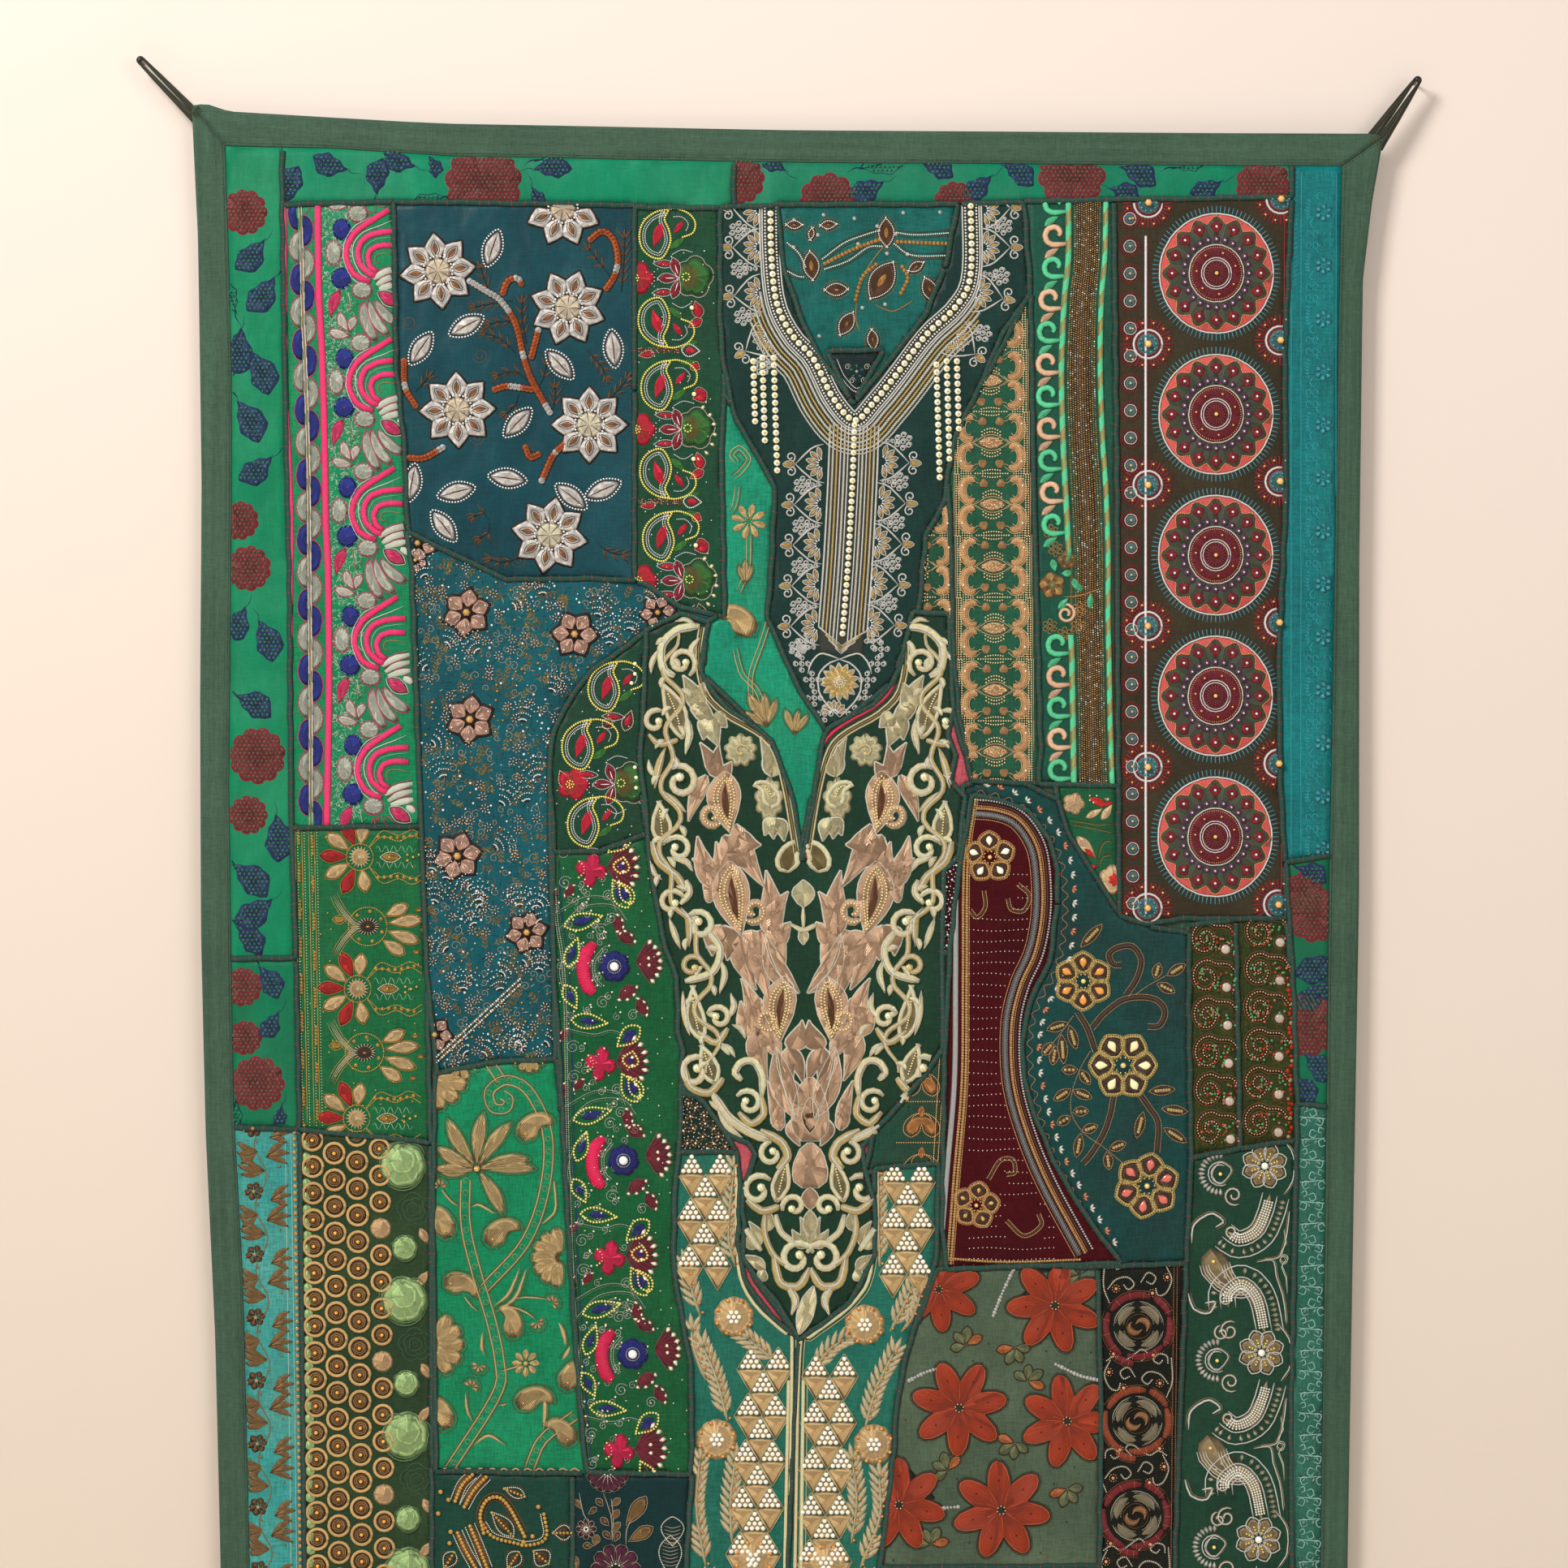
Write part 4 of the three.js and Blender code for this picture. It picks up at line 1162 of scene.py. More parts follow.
class HANGING_OT_binding(bpy.types.Operator):
    """Folds the binding over the four edges, with its row of stitches and its sewn mitres"""

    bl_idname = "hanging.binding"
    bl_label = "Binding"

    def execute(self, context):
        finish = binding_finish()
        stitches = Work("binding_stitches", ring=outline(OUTER_EDGE)[::-1])
        shade = rgb(30, 48, 38)
        for side in SIDES:
            inner = along_edge(INNER_EDGE[side], EDGE_POINTS)
            length = float(np.linalg.norm(np.diff(inner, axis=0), axis=1).sum())
            count = int(length / (sizes().cloth_step / MM))
            share = np.linspace(0.0004, 0.9996, count)
            surfaces = []
            for fold in (FOLD_OUTSIDE, FOLD_INSIDE):
                across = np.array([row[0] for row in fold]) * 0.988 + 0.006
                depth = np.array([row[1] for row in fold])
                flat = np.stack([binding_place(side, share, np.full(count, a)) for a in across], 1)
                x, z = flat[..., 0], flat[..., 1]
                y = drape(x, z) + depth
                if fold is FOLD_OUTSIDE:
                    y[:, 1:6] += 0.5 * waves(x[:, 1:6], z[:, 1:6], PUCKERS)
                    y[:, 1:5] += 0.13 * np.sin(x[:, 1:5] * 0.55 + z[:, 1:5] * 0.49)
                surfaces.append(np.stack([x, y, z], -1).reshape(-1, 3))
            verts, faces = layered(*surfaces, grid_faces(count, len(FOLD_OUTSIDE)))
            row = np.linspace(0, 1, count)[:, None] * np.ones(len(FOLD_OUTSIDE))
            column = np.linspace(0, 1, len(FOLD_OUTSIDE)) * np.ones((count, 1))
            bake = np.stack([row, column], -1).reshape(-1, 2) * 0.98 + 0.01
            thread = np.stack([row * length, column * 60], -1).reshape(-1, 2)
            piece = new_mesh("binding_strip_" + side, verts, faces, finish,
                             thread=np.vstack([thread, thread]), bake=np.vstack([bake, bake]))
            node = "binding_" + side
            ride(piece, SLOT[node], node)
            pitch = sizes().seam_pitch / MM
            at = np.arange(pitch, length - pitch, pitch) / length
            half = 0.33 * pitch / length
            ends = [binding_place(side, at + half * k, np.full(len(at), 0.085)) for k in (-1, 1)]
            stitches.ridges(np.stack(ends, 1), 0.7, shade, height=0.55)
        for corner in (OUTER_EDGE[s][0] for s in SIDES):
            nearest = min((INNER_EDGE[s][0] for s in SIDES), key=lambda p: math.dist(p, corner))
            mitre = evenly(np.array([nearest, corner], float), 1.6)
            for shift in (-1.7, 1.7):
                row = beside(mitre, shift)[2:-2]
                pairs = row[: len(row) // 2 * 2].reshape(-1, 2, 2)
                stitches.ridges(pairs, 0.7, shade, height=0.6)
            if corner[1] > -100:
                across = beside(mitre, 4.5)[-8:-3], beside(mitre, -4.5)[-7:-2]
                stitches.ridges(np.stack(across, 1), 0.8, rgb(112, 104, 52), height=0.8)
        stitches.finish()
        return {"FINISHED"}


def outline(edge):
    """The outer or the inner edge of the binding as one ring, clockwise."""
    return np.array([point for side in SIDES for point in edge[side][:-1]], float)


def binding_finish():
    """Cotton poplin: fine threads along and across, and folds along its length."""
    finish = Finish("binding cotton", Sheen_Weight=0.15, IOR=1.4)
    thread = finish.node("UVMap", {"uv_map": "thread"})
    folds = finish.node("Mapping", {}, {"Vector": thread, "Scale": (0.006, 0.3, 1)})
    creases = finish.node("TexNoise", {}, {"Vector": folds, "Scale": 1.0, "Detail": 3.0})
    weave = (finish.noise(1.3, 1, (0.15, 1, 1)) + finish.noise(1.3, 1, (1, 1, 0.15))) * 0.5
    broad = finish.noise(70, 3)
    # Painted shade in the folds, darker in their hollows, times the weave and broad tone
    light = (finish.fitted(weave, 0.3, 0.7, 0.8, 1.22) * finish.fitted(creases, 0.3, 0.7, 0.86, 1.12)
             * finish.fitted(broad, 0.3, 0.7, 0.9, 1.1))
    finish.shaded(colours().binding, light)
    finish.roughness(finish.fitted(weave, 0.2, 0.8, 0.92, 0.76))
    finish.normal(finish.bump(weave, 0.2, finish.bump(creases, 1.6)))
    return finish.material


class HANGING_OT_loops(bpy.types.Operator):
    """Runs each gathered tape from its corner, over its nail and back"""

    bl_idname = "hanging.loops"
    bl_label = "Loops"

    def execute(self, context):
        finish = Finish("loop tape", Sheen_Weight=0.2, IOR=1.4)
        thread = finish.node("UVMap", {"uv_map": "thread"})
        folds = finish.node("Mapping", {}, {"Vector": thread, "Scale": (0.05, 1.6, 1)})
        crease = finish.node("TexNoise", {}, {"Vector": folds, "Scale": 1.0, "Detail": 2.0})
        # Painted shade in the hollows of the gathered folds and a painted highlight on their ridges
        light = finish.fitted(crease, 0.3, 0.7, 0.55, 1.6)
        finish.shaded(colours().tape, light)
        finish.roughness(finish.fitted(crease, 0.2, 0.8, 0.9, 0.7))
        finish.normal(finish.bump(crease, 0.5))
        for side, row in HANGERS.items():
            self.tape(side, row, finish.material)
        return {"FINISHED"}

    def tape(self, side, row, finish):
        """A ribbed tube on a hairpin line: each point of its section is pushed out and in by a
        cosine, so that the tape looks gathered into folds."""
        root, nail = np.array(row["root"], float), np.array(row["nail"], float)
        ahead = (nail - root) / np.linalg.norm(nail - root)
        side_on = np.array([-ahead[1], ahead[0]])
        start = root - 6 * ahead
        eye = 2.45
        angle = math.degrees(math.atan2(ahead[1], ahead[0]))
        turn = arc(nail, eye, angle + 90, angle - 90, 9)
        out = start + side_on * row["spread"], start - side_on * row["spread"]
        line = np.vstack([evenly(np.vstack([out[0], turn[0]]), 4)[:-1], turn,
                          evenly(np.vstack([turn[-1], out[1]]), 4)[1:]])
        far = np.linalg.norm(line - nail, axis=1)
        share = np.clip((far - eye) / np.linalg.norm(start - nail), 0, 1)
        half = 0.95 + (row["half"] - 0.95) * share**0.8
        depth = 1.45 - 0.5 * share**6
        theta = np.linspace(0, TAU, 56, endpoint=False)
        folds = 1 + 0.3 * np.cos(8 * theta + 0.05 * far[:, None])
        ahead_at = np.gradient(line, axis=0)
        ahead_at /= np.linalg.norm(ahead_at, axis=1, keepdims=True)
        across = np.column_stack([-ahead_at[:, 1], ahead_at[:, 0]])
        reach = half[:, None] * folds * np.cos(theta)
        flat = line[:, None] + across[:, None] * reach[..., None]
        rise = depth[:, None] * folds * np.sin(theta)
        y = drape(flat[..., 0], flat[..., 1]) - rise
        verts = np.stack([flat[..., 0], y, flat[..., 1]], -1).reshape(-1, 3)
        faces = ridge_faces(len(line), len(theta), False)
        gone = np.concatenate([[0], np.cumsum(np.linalg.norm(np.diff(line, axis=0), axis=1))])
        places = np.stack(np.broadcast_arrays(gone[:, None], 2 * theta), -1).reshape(-1, 2)
        piece = new_mesh("tape_loop_" + side, verts, faces, finish, thread=places,
                         bake=places / places.max(0) * 0.98 + 0.01)
        ride(piece, SLOT["loop_" + side], "loop_" + side)


class HANGING_OT_nails(bpy.types.Operator):
    """Drives the two plain nails that the loops hang on"""

    bl_idname = "hanging.nails"
    bl_label = "Nails"

    def execute(self, context):
        finish = Finish("nail steel", Metallic=0.85)
        scratches = finish.noise(0.6, 3, (1, 0.2, 1))
        light = finish.fitted(scratches, 0.3, 0.7, 0.6, 1.25)
        finish.shaded(colours().nail, light)
        finish.roughness(finish.fitted(scratches, 0.2, 0.8, 0.55, 0.35))
        finish.normal(finish.bump(scratches, 0.05))
        for side in HANGERS:
            low, high = (np.array(corner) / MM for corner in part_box("nail_" + side))
            head = (high[0] - low[0]) / 2
            shaft, length = 1.2, high[1] - low[1]
            rows = ((0.0, length), (0.55 * head, length - 0.05), (0.9 * head, length - 0.35),
                    (head, length - 0.7), (head, length - 1.1), (0.9 * head, length - 1.25),
                    (shaft, length - 1.3), (shaft, 4.0), (0.1 * shaft, 0.0))
            sides = 20
            turn = np.arange(sides) * TAU / sides
            rings = [np.column_stack([r * np.cos(turn), r * np.sin(turn), np.full(sides, up)])
                     for r, up in rows[1:]]
            shape = np.vstack([[0, 0, rows[0][1]], *rings])
            centre = (low + high) / 2
            verts = np.column_stack([shape[:, 0] + centre[0], high[1] - shape[:, 2],
                                     shape[:, 1] + centre[2]])
            bake = square_map(shape[:, 0] + 0.3 * shape[:, 2], shape[:, 1])
            piece = new_mesh("wall_nail_" + side, verts, bead_faces(len(rows) - 1, sides),
                             finish.material, bake=bake)
            ride(piece, SLOT["nail_" + side], "nail_" + side)
        return {"FINISHED"}


def join_lines(step=3.2, reach=1.3):
    """The lines on which the cut pieces meet. Each outline is walked in turn, and what lies
    beside an earlier one, or at the binding, is left out."""
    inner = outline(INNER_EDGE)
    starts, ends = inner, np.roll(inner, -1, 0)
    lines = []
    for ring in CUT.values():
        points = spaced_ring(ring, step)
        free = from_edges(points, starts, ends) > reach
        first = int(np.argmin(free))
        points, free = np.roll(points, -first, 0), np.roll(free, -first)
        change = np.flatnonzero(np.diff(np.concatenate([[0], free.astype(int), [0]])))
        for a, b in zip(change[::2], change[1::2]):
            run = points[max(a - 1, 0): b + 1]
            if len(run) > 2:
                lines.append(run)
        starts = np.vstack([starts, ring])
        ends = np.vstack([ends, np.roll(ring, -1, 0)])
    return lines


class HANGING_OT_joins(bpy.types.Operator):
    """Couches a cord over every join and tacks it down with orange thread"""

    bl_idname = "hanging.joins"
    bl_label = "Cords over the joins"

    def execute(self, context):
        width, height = sizes().cord_width / MM, sizes().cord_height / MM
        ring = outline(INNER_EDGE)[::-1]
        cords = Work("seam", ring=ring)
        tacks = []
        for line in join_lines():
            line = evenly(line, 3.2)
            wander = waves(line[:, 0], line[:, 1], ((0.35, 23.0, 0.7, 0.0), (0.25, 37.0, 2.0, 1.0)))
            line = beside(line, wander)
            cords.ridge(line, width, tuple(colours().cord), height=height, section="dome",
                        taper="even")
            far = np.concatenate([[0], np.cumsum(np.linalg.norm(np.diff(line, axis=0), axis=1))])
            at = np.arange(0.5 * sizes().tack_pitch / MM, far[-1], sizes().tack_pitch / MM)
            if not len(at):
                continue
            at = at + random.uniform(-1.5, 1.5, len(at))
            ahead = np.gradient(line, axis=0)
            ahead /= np.linalg.norm(ahead, axis=1, keepdims=True)
            spot, way = (np.column_stack([np.interp(at, far, v[:, 0]), np.interp(at, far, v[:, 1])])
                         for v in (line, ahead))
            lean = random.uniform(-0.35, 0.35, len(at))[:, None]
            over = np.column_stack([-way[:, 1], way[:, 0]]) + lean * way
            reach = np.array([-0.62, 0.0, 0.62]) * width
            tacks.append(spot[:, None] + over[:, None] * reach[None, :, None])
        stitches = Work("tacking", ring=ring)
        stitches.ridges(np.vstack(tacks), 1.3, tuple(colours().tacking), height=0.55,
                        base=np.array([-0.1, 0.95, -0.1]) * height)
        for work, slot in ((cords, "seam_cord"), (stitches, "tacking_thread")):
            for piece in work.finish():
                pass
        return {"FINISHED"}


class HANGING_OT_stage(bpy.types.Operator):
    """Sets up the plain wall, the floor, the soft lights and the camera"""

    bl_idname = "hanging.stage"
    bl_label = "Stage"

    def execute(self, context):
        wall_back, floor_down = 0.0145, -1.75
        wall = self.plane("stage_wall", [(-3, wall_back, floor_down), (3, wall_back, floor_down),
                                         (3, wall_back, 1.6), (-3, wall_back, 1.6)])
        floor = self.plane("stage_floor", [(-3, -4, floor_down), (3, -4, floor_down),
                                           (3, wall_back, floor_down), (-3, wall_back, floor_down)])
        wall.data.materials.append(self.wall_finish())
        plain = Finish("stage floor", Roughness=0.7)
        grain = plain.noise(240, 4)
        plain.colour(plain.mixed(grain, rgb(226, 216, 202), rgb(238, 230, 218)))
        floor.data.materials.append(plain.material)
        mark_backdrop(wall, floor)
        self.light("key", (-2.0, -2.5, 1.7), (0.0, 0.0, -0.5), 1.1, 128)
        self.light("fill", (1.9, -3.0, 0.1), (0.0, 0.0, -0.7), 2.0, 34)
        world = bpy.data.worlds.new("studio")
        world.use_nodes = True
        world.node_tree.nodes["Background"].inputs[0].default_value = (1.0, 0.96, 0.91, 1)
        world.node_tree.nodes["Background"].inputs[1].default_value = 0.3
        context.scene.world = world
        context.scene.view_settings.view_transform = "Standard"
        camera = bpy.data.cameras.new("camera")
        shown, middle, distance = 1.380, -0.5757, 3.2
        camera.sensor_width = 36
        camera.lens = camera.sensor_width * distance / shown
        camera.clip_start, camera.clip_end = 0.05, 30
        eye = bpy.data.objects.new("camera", camera)
        eye.location = (0, -distance, middle)
        eye.rotation_euler = (math.pi / 2, 0, 0)
        context.scene.collection.objects.link(eye)
        context.scene.camera = eye
        return {"FINISHED"}

    def plane(self, name, corners):
        """A flat square from four corners in metres."""
        mesh = bpy.data.meshes.new(name)
        mesh.from_pydata(corners, [], [(0, 1, 2, 3)])
        made = bpy.data.objects.new(name, mesh)
        bpy.context.scene.collection.objects.link(made)
        return made

    def wall_finish(self):
        """Matt paint, with painted shade that makes it a little darker towards the floor and the left. It
        shows from the front alone, so that the back of the hanging can be looked at."""
        finish = Finish("stage wall", Roughness=0.9)
        own = finish.node("TexCoord", output="Object")
        x = finish.node("SeparateXYZ", {}, {0: own}, 0)
        z = finish.node("SeparateXYZ", {}, {0: own}, 2)
        # Painted shade: the colour falls to a darker one towards the floor and the left
        low = finish.fitted(x * -0.35 - z, -0.1, 1.45)
        finish.colour(finish.mixed(low, tuple(colours().wall), rgb(223, 209, 195)))
        back = finish.node("NewGeometry", output="Backfacing")
        clear = finish.node("BsdfTransparent")
        mix = finish.node("MixShader", {}, {0: back, 2: clear})
        finish.tree.links.new(finish.shader.outputs[0], mix.socket.node.inputs[1])
        output = next(n for n in finish.tree.nodes if n.type == "OUTPUT_MATERIAL")
        finish.tree.links.new(mix.socket, output.inputs[0])
        return finish.material

    def light(self, name, place, target, size, power):
        """A square soft light that faces the target."""
        data = bpy.data.lights.new(name, "AREA")
        data.size = size
        data.energy = power
        data.color = (1.0, 0.97, 0.93)
        lamp = bpy.data.objects.new(name, data)
        lamp.location = place
        lamp.rotation_euler = (Vector(target) - Vector(place)).to_track_quat("-Z", "Y").to_euler()
        bpy.context.scene.collection.objects.link(lamp)


# The embroidery, one function for each cut piece


def sew_daisy_satin():
    """Padded white daisies on sequin stems, leaves edged with seed beads, and bronze sprays."""
    work = Work("daisy_satin")
    white, cream, tan, brown = rgb(224, 219, 214), rgb(238, 216, 188), rgb(160, 112, 74), rgb(46, 30, 22)
    copper, bronze, shine = rgb(190, 98, 56), rgb(112, 82, 54), rgb(255, 250, 240)
    flowers = (((-304, -125), 97), ((-190, -157), 72), ((-287, -247), 92), ((-171, -260), 90),
               ((-206, -357), 80), ((-194, -70), 67))
    for line in (
        ((-276, -134), (-261, -143), (-249, -151), (-236, -171), (-229, -200), (-222, -220), (-206, -249)),
        ((-247, -144), (-243, -134), (-234, -131), (-231, -136)),
        ((-156, -140), (-149, -129), (-146, -114), (-150, -97), (-160, -90), (-170, -97)),
        ((-216, -177), (-219, -189), (-222, -200)),
        ((-254, -229), (-243, -226), (-222, -229)),
        ((-334, -204), (-333, -227), (-324, -243)),
        ((-227, -280), (-223, -289), (-216, -286)),
        ((-193, -277), (-203, -287), (-213, -309)),
        ((-329, -289), (-316, -289), (-300, -280)),
    ):
        places = evenly(curve(line), 3.6)
        # Most sequins are copper; where the sine runs high they take a near-white colour, a painted glint
        lit = np.where((np.sin(places[:, 0] * 0.13 + places[:, 1] * 0.19) > 0.82)[:, None], shine, copper)
        work.beads(places, 2.9, lit, kind="sequins", sides=9, rows=SEQUIN_ROWS, tall=0.45, base=0.3)
        work.beads(places, 1.0, lit * 0.3, **SEEDS, base=1.1)
        work.ridge(beside(curve(line), 3.2), 0.9, brown, height=0.5)
        work.ridge(beside(curve(line), -3.2), 0.9, brown, height=0.5)
    for place, turn in (((-256, -105), 72), ((-279, -173), 28), ((-319, -193), 56), ((-197, -207), -47),
                        ((-150, -193), -84), ((-234, -258), 46), ((-243, -307), -8), ((-288, -319), 14),
                        ((-299, -349), -52), ((-187, -323), -38), ((-159, -317), 24), ((-327, -311), 80)):
        work.at(place, turn)
        leaf = leaf_rings((-16, 0), (16, 0), 14.5, count=9)
        work.pad(leaf, white, height=1.3)
        work.ridge(((-10, 0), (-3, 0.3), (3, 0), (10, 0.3)), 3.4, tan * 0.7, taper="leaf", height=0.4,
                   base=1.15)
        work.ridge(((-12, -0.2), (0, 0), (12, -0.2)), 0.8, brown, height=0.3, base=1.5)
        work.ridge(drawn_in(leaf[0], -0.3), 0.9, brown, closed=True, height=0.5)
        work.beads(curve(drawn_in(leaf[0], -1.5), 2.6, closed=True), 1.12, rgb(245, 242, 236), sides=6,
                   rows=SEED_ROWS)
    work.home()
    for line in (
        ((-233, -171), (-244, -169), (-257, -171)), ((-236, -197), (-247, -186), (-261, -180)),
        ((-226, -189), (-230, -169), (-230, -154)), ((-239, -151), (-259, -154), (-270, -156)),
        ((-226, -221), (-236, -213), (-250, -216)), ((-216, -227), (-210, -216), (-209, -209)),
        ((-174, -193), (-160, -209), (-157, -216)), ((-153, -129), (-161, -119), (-170, -107)),
        ((-233, -233), (-236, -243), (-243, -249)), ((-204, -249), (-201, -237), (-201, -229)),
        ((-324, -231), (-319, -226), (-314, -220)), ((-257, -147), (-263, -133), (-266, -124)),
        ((-143, -143), (-141, -121), (-140, -97)), ((-259, -344), (-264, -337), (-271, -340)),
        ((-259, -346), (-260, -356), (-266, -359)), ((-233, -377), (-246, -381), (-257, -379)),
        ((-164, -363), (-156, -371), (-144, -374)), ((-160, -243), (-147, -231), (-139, -221)),
    ):
        work.sprig(curve(line), bronze, leaf=10.5, pitch=8.0, width=4.0, angle=34)
        work.sprig(curve(line), brown, leaf=10.5, pitch=8.0, width=0.8, angle=34, base=0.5)
    for place in ((-330, -170), (-267, -199), (-233, -379), (-269, -271)):
        work.ridge(spiral(place, 7, 1.2, 200, 1.6, 20), 0.8, bronze, height=0.4)
    for place, turn in flowers:
        rays = spokes(place, 7, 35, 8, turn, turn + 360, 2)
        rings = leaf_rings(rays[:, 0], rays[:, 1], 20.5, "pointed", count=10)
        work.pad(np.array([drawn_in(ring, -1.1) for ring in rings]), brown, height=0.9)
        work.pad(rings, white, height=1.9)
        cores = spokes(place, 12.0, 27.5, 8, turn, turn + 360, 2)
        cores = leaf_rings(cores[:, 0], cores[:, 1], 7.6, "leaf", count=8)
        work.pad(cores, tan, height=2.3)
        work.ridges(np.concatenate([cores, cores[:, :1]], 1), 0.7, brown, height=0.3, base=1.9)
        work.ridges(spokes(place, 14, 26, 8, turn, turn + 360), 0.7, brown, height=0.3, base=2.2)
        work.pad(around(place, 12.4, 20), cream, height=2.3)
        work.ridges(spokes(place, 1, 11.4, 8, turn + 12, turn + 372, 3), 0.8, brown * 1.6, height=0.25,
                    base=2.2)
        work.beads(around(place, 12.9, 27), 1.2, white, sides=6, rows=SEED_ROWS, base=1.7)
    work.finish()


def sew_beaded_turquoise():
    """Rose-brown flowers of floss and beads, among bugle-bead sprays, curls and small flowers."""
    work = Work("beaded_turquoise")
    blush, dark, red, gold = rgb(196, 152, 130), rgb(30, 22, 24), rgb(112, 40, 40), rgb(168, 128, 66)
    pearl, grey, olive, black = rgb(236, 232, 224), rgb(150, 142, 126), rgb(136, 112, 54), rgb(20, 22, 26)
    shine = rgb(250, 250, 246)
    flowers = (((-279, -425), 22), ((-184, -444), 21), ((-276, -519), 22), ((-111, -425), 16),
               ((-322, -364), 17), ((-287, -639), 22), ((-226, -706), 19), ((-307, -796), 16),
               ((-324, -379), 11))
    away = [(place, radius - 2) for place, radius in flowers]
    spots = work.scattered(1250, 3.8, 3.0, away)
    groups = np.array_split(spots, [42, 180, 290, 470, 820])
    for place in groups[0]:
        turn = random.uniform(30, 150)
        rays = spokes(place - (0, 6), 2.5, 21, 7, turn - 36, turn + 36, 8)
        for k in (0, 2, 4, 6):
            work.ridges(rays[:, k:k + 2], 1.5, black, kind="beads", height=0.7)
            work.beads(rays[:, k + 1], 0.85, pearl if k % 4 else shine, **SEEDS, base=0.3)
    for place in groups[1]:
        work.ridge(spiral(place, random.uniform(2.8, 5.0), 0.8, random.uniform(0, 360),
                          random.choice([-1.2, 1.2]), 11), 1.1, grey, height=0.45)
    for place in groups[2]:
        start = random.uniform(0, 60)
        work.ridges(spokes(place, 1.3, 5.4, 7, start, start + 360, 3), 2.0, red * 0.7, taper="leaf",
                    kind="beads", height=0.7)
        work.ridges(spokes(place, 2.0, 4.2, 7, start, start + 360, 3), 0.9, pearl, taper="leaf",
                    kind="beads", height=0.4, base=0.6)
        work.beads([place], 1.2, gold, **SEEDS, base=0.2)
    for place in groups[3]:
        turn = random.uniform(0, TAU)
        way = np.array([math.cos(turn), math.sin(turn)])
        work.sprig([place - way * 5, place, place + way * 5], olive * random.uniform(0.6, 1.3), leaf=4.4,
                   pitch=3.3, width=2.1)
    for place in groups[4]:
        turn = random.uniform(0, TAU)
        way = np.array([math.cos(turn), math.sin(turn)]) * random.uniform(1.6, 3.4)
        work.ridge((place - way, place, place + way), 1.3, (black, red, grey)[int(place[0]) % 3],
                   kind="beads", height=0.6, taper="leaf")
    count = len(groups[5])
    work.beads(groups[5], random.uniform(0.7, 1.5, count),
               np.where(random.random((count, 1)) < 0.4, shine, gold), sides=6, rows=SEED_ROWS)
    for place, radius in flowers:
        start = place[0] % 60
        rays = spokes(place, 2, radius * 1.12, 6, start, start + 360, 2)
        work.pad(leaf_rings(rays[:, 0], rays[:, 1], radius * 0.98, "pointed", count=9), dark, height=0.8)
        rays = spokes(place, 3, radius * 1.03, 6, start, start + 360, 2)
        work.pad(leaf_rings(rays[:, 0], rays[:, 1], radius * 0.84, "pointed", count=9), blush, height=1.2)
        work.ridges(spokes(place, 0.34 * radius, 0.74 * radius, 26, start, start + 360, 3), 0.8, red * 0.6,
                    taper="leaf", kind="beads", height=0.5, base=1.0)
        work.ridges(spokes(place, 0.42 * radius, 0.62 * radius, 18, start, start + 360, 3), 0.9, pearl,
                    taper="leaf", kind="beads", height=0.6, base=1.2)
        work.beads(around(place, 0.8 * radius, 6, start), 1.1, pearl, **SEEDS, base=1.1)
        work.pad(around(place, 0.31 * radius, 9), dark, height=1.5)
        work.beads([place], 0.17 * radius, gold, base=1.4)
    for row in (0, 1):
        start = np.array((-307, -822)) + (0, 5 * row)
        line = evenly(np.array([start, start + (75, 70)]), 2.2)
        work.beads(line, 1.2, np.where(np.arange(len(line))[:, None] % 3 == 0, gold, pearl), **SEEDS,
                   base=0.5)
    work.finish()


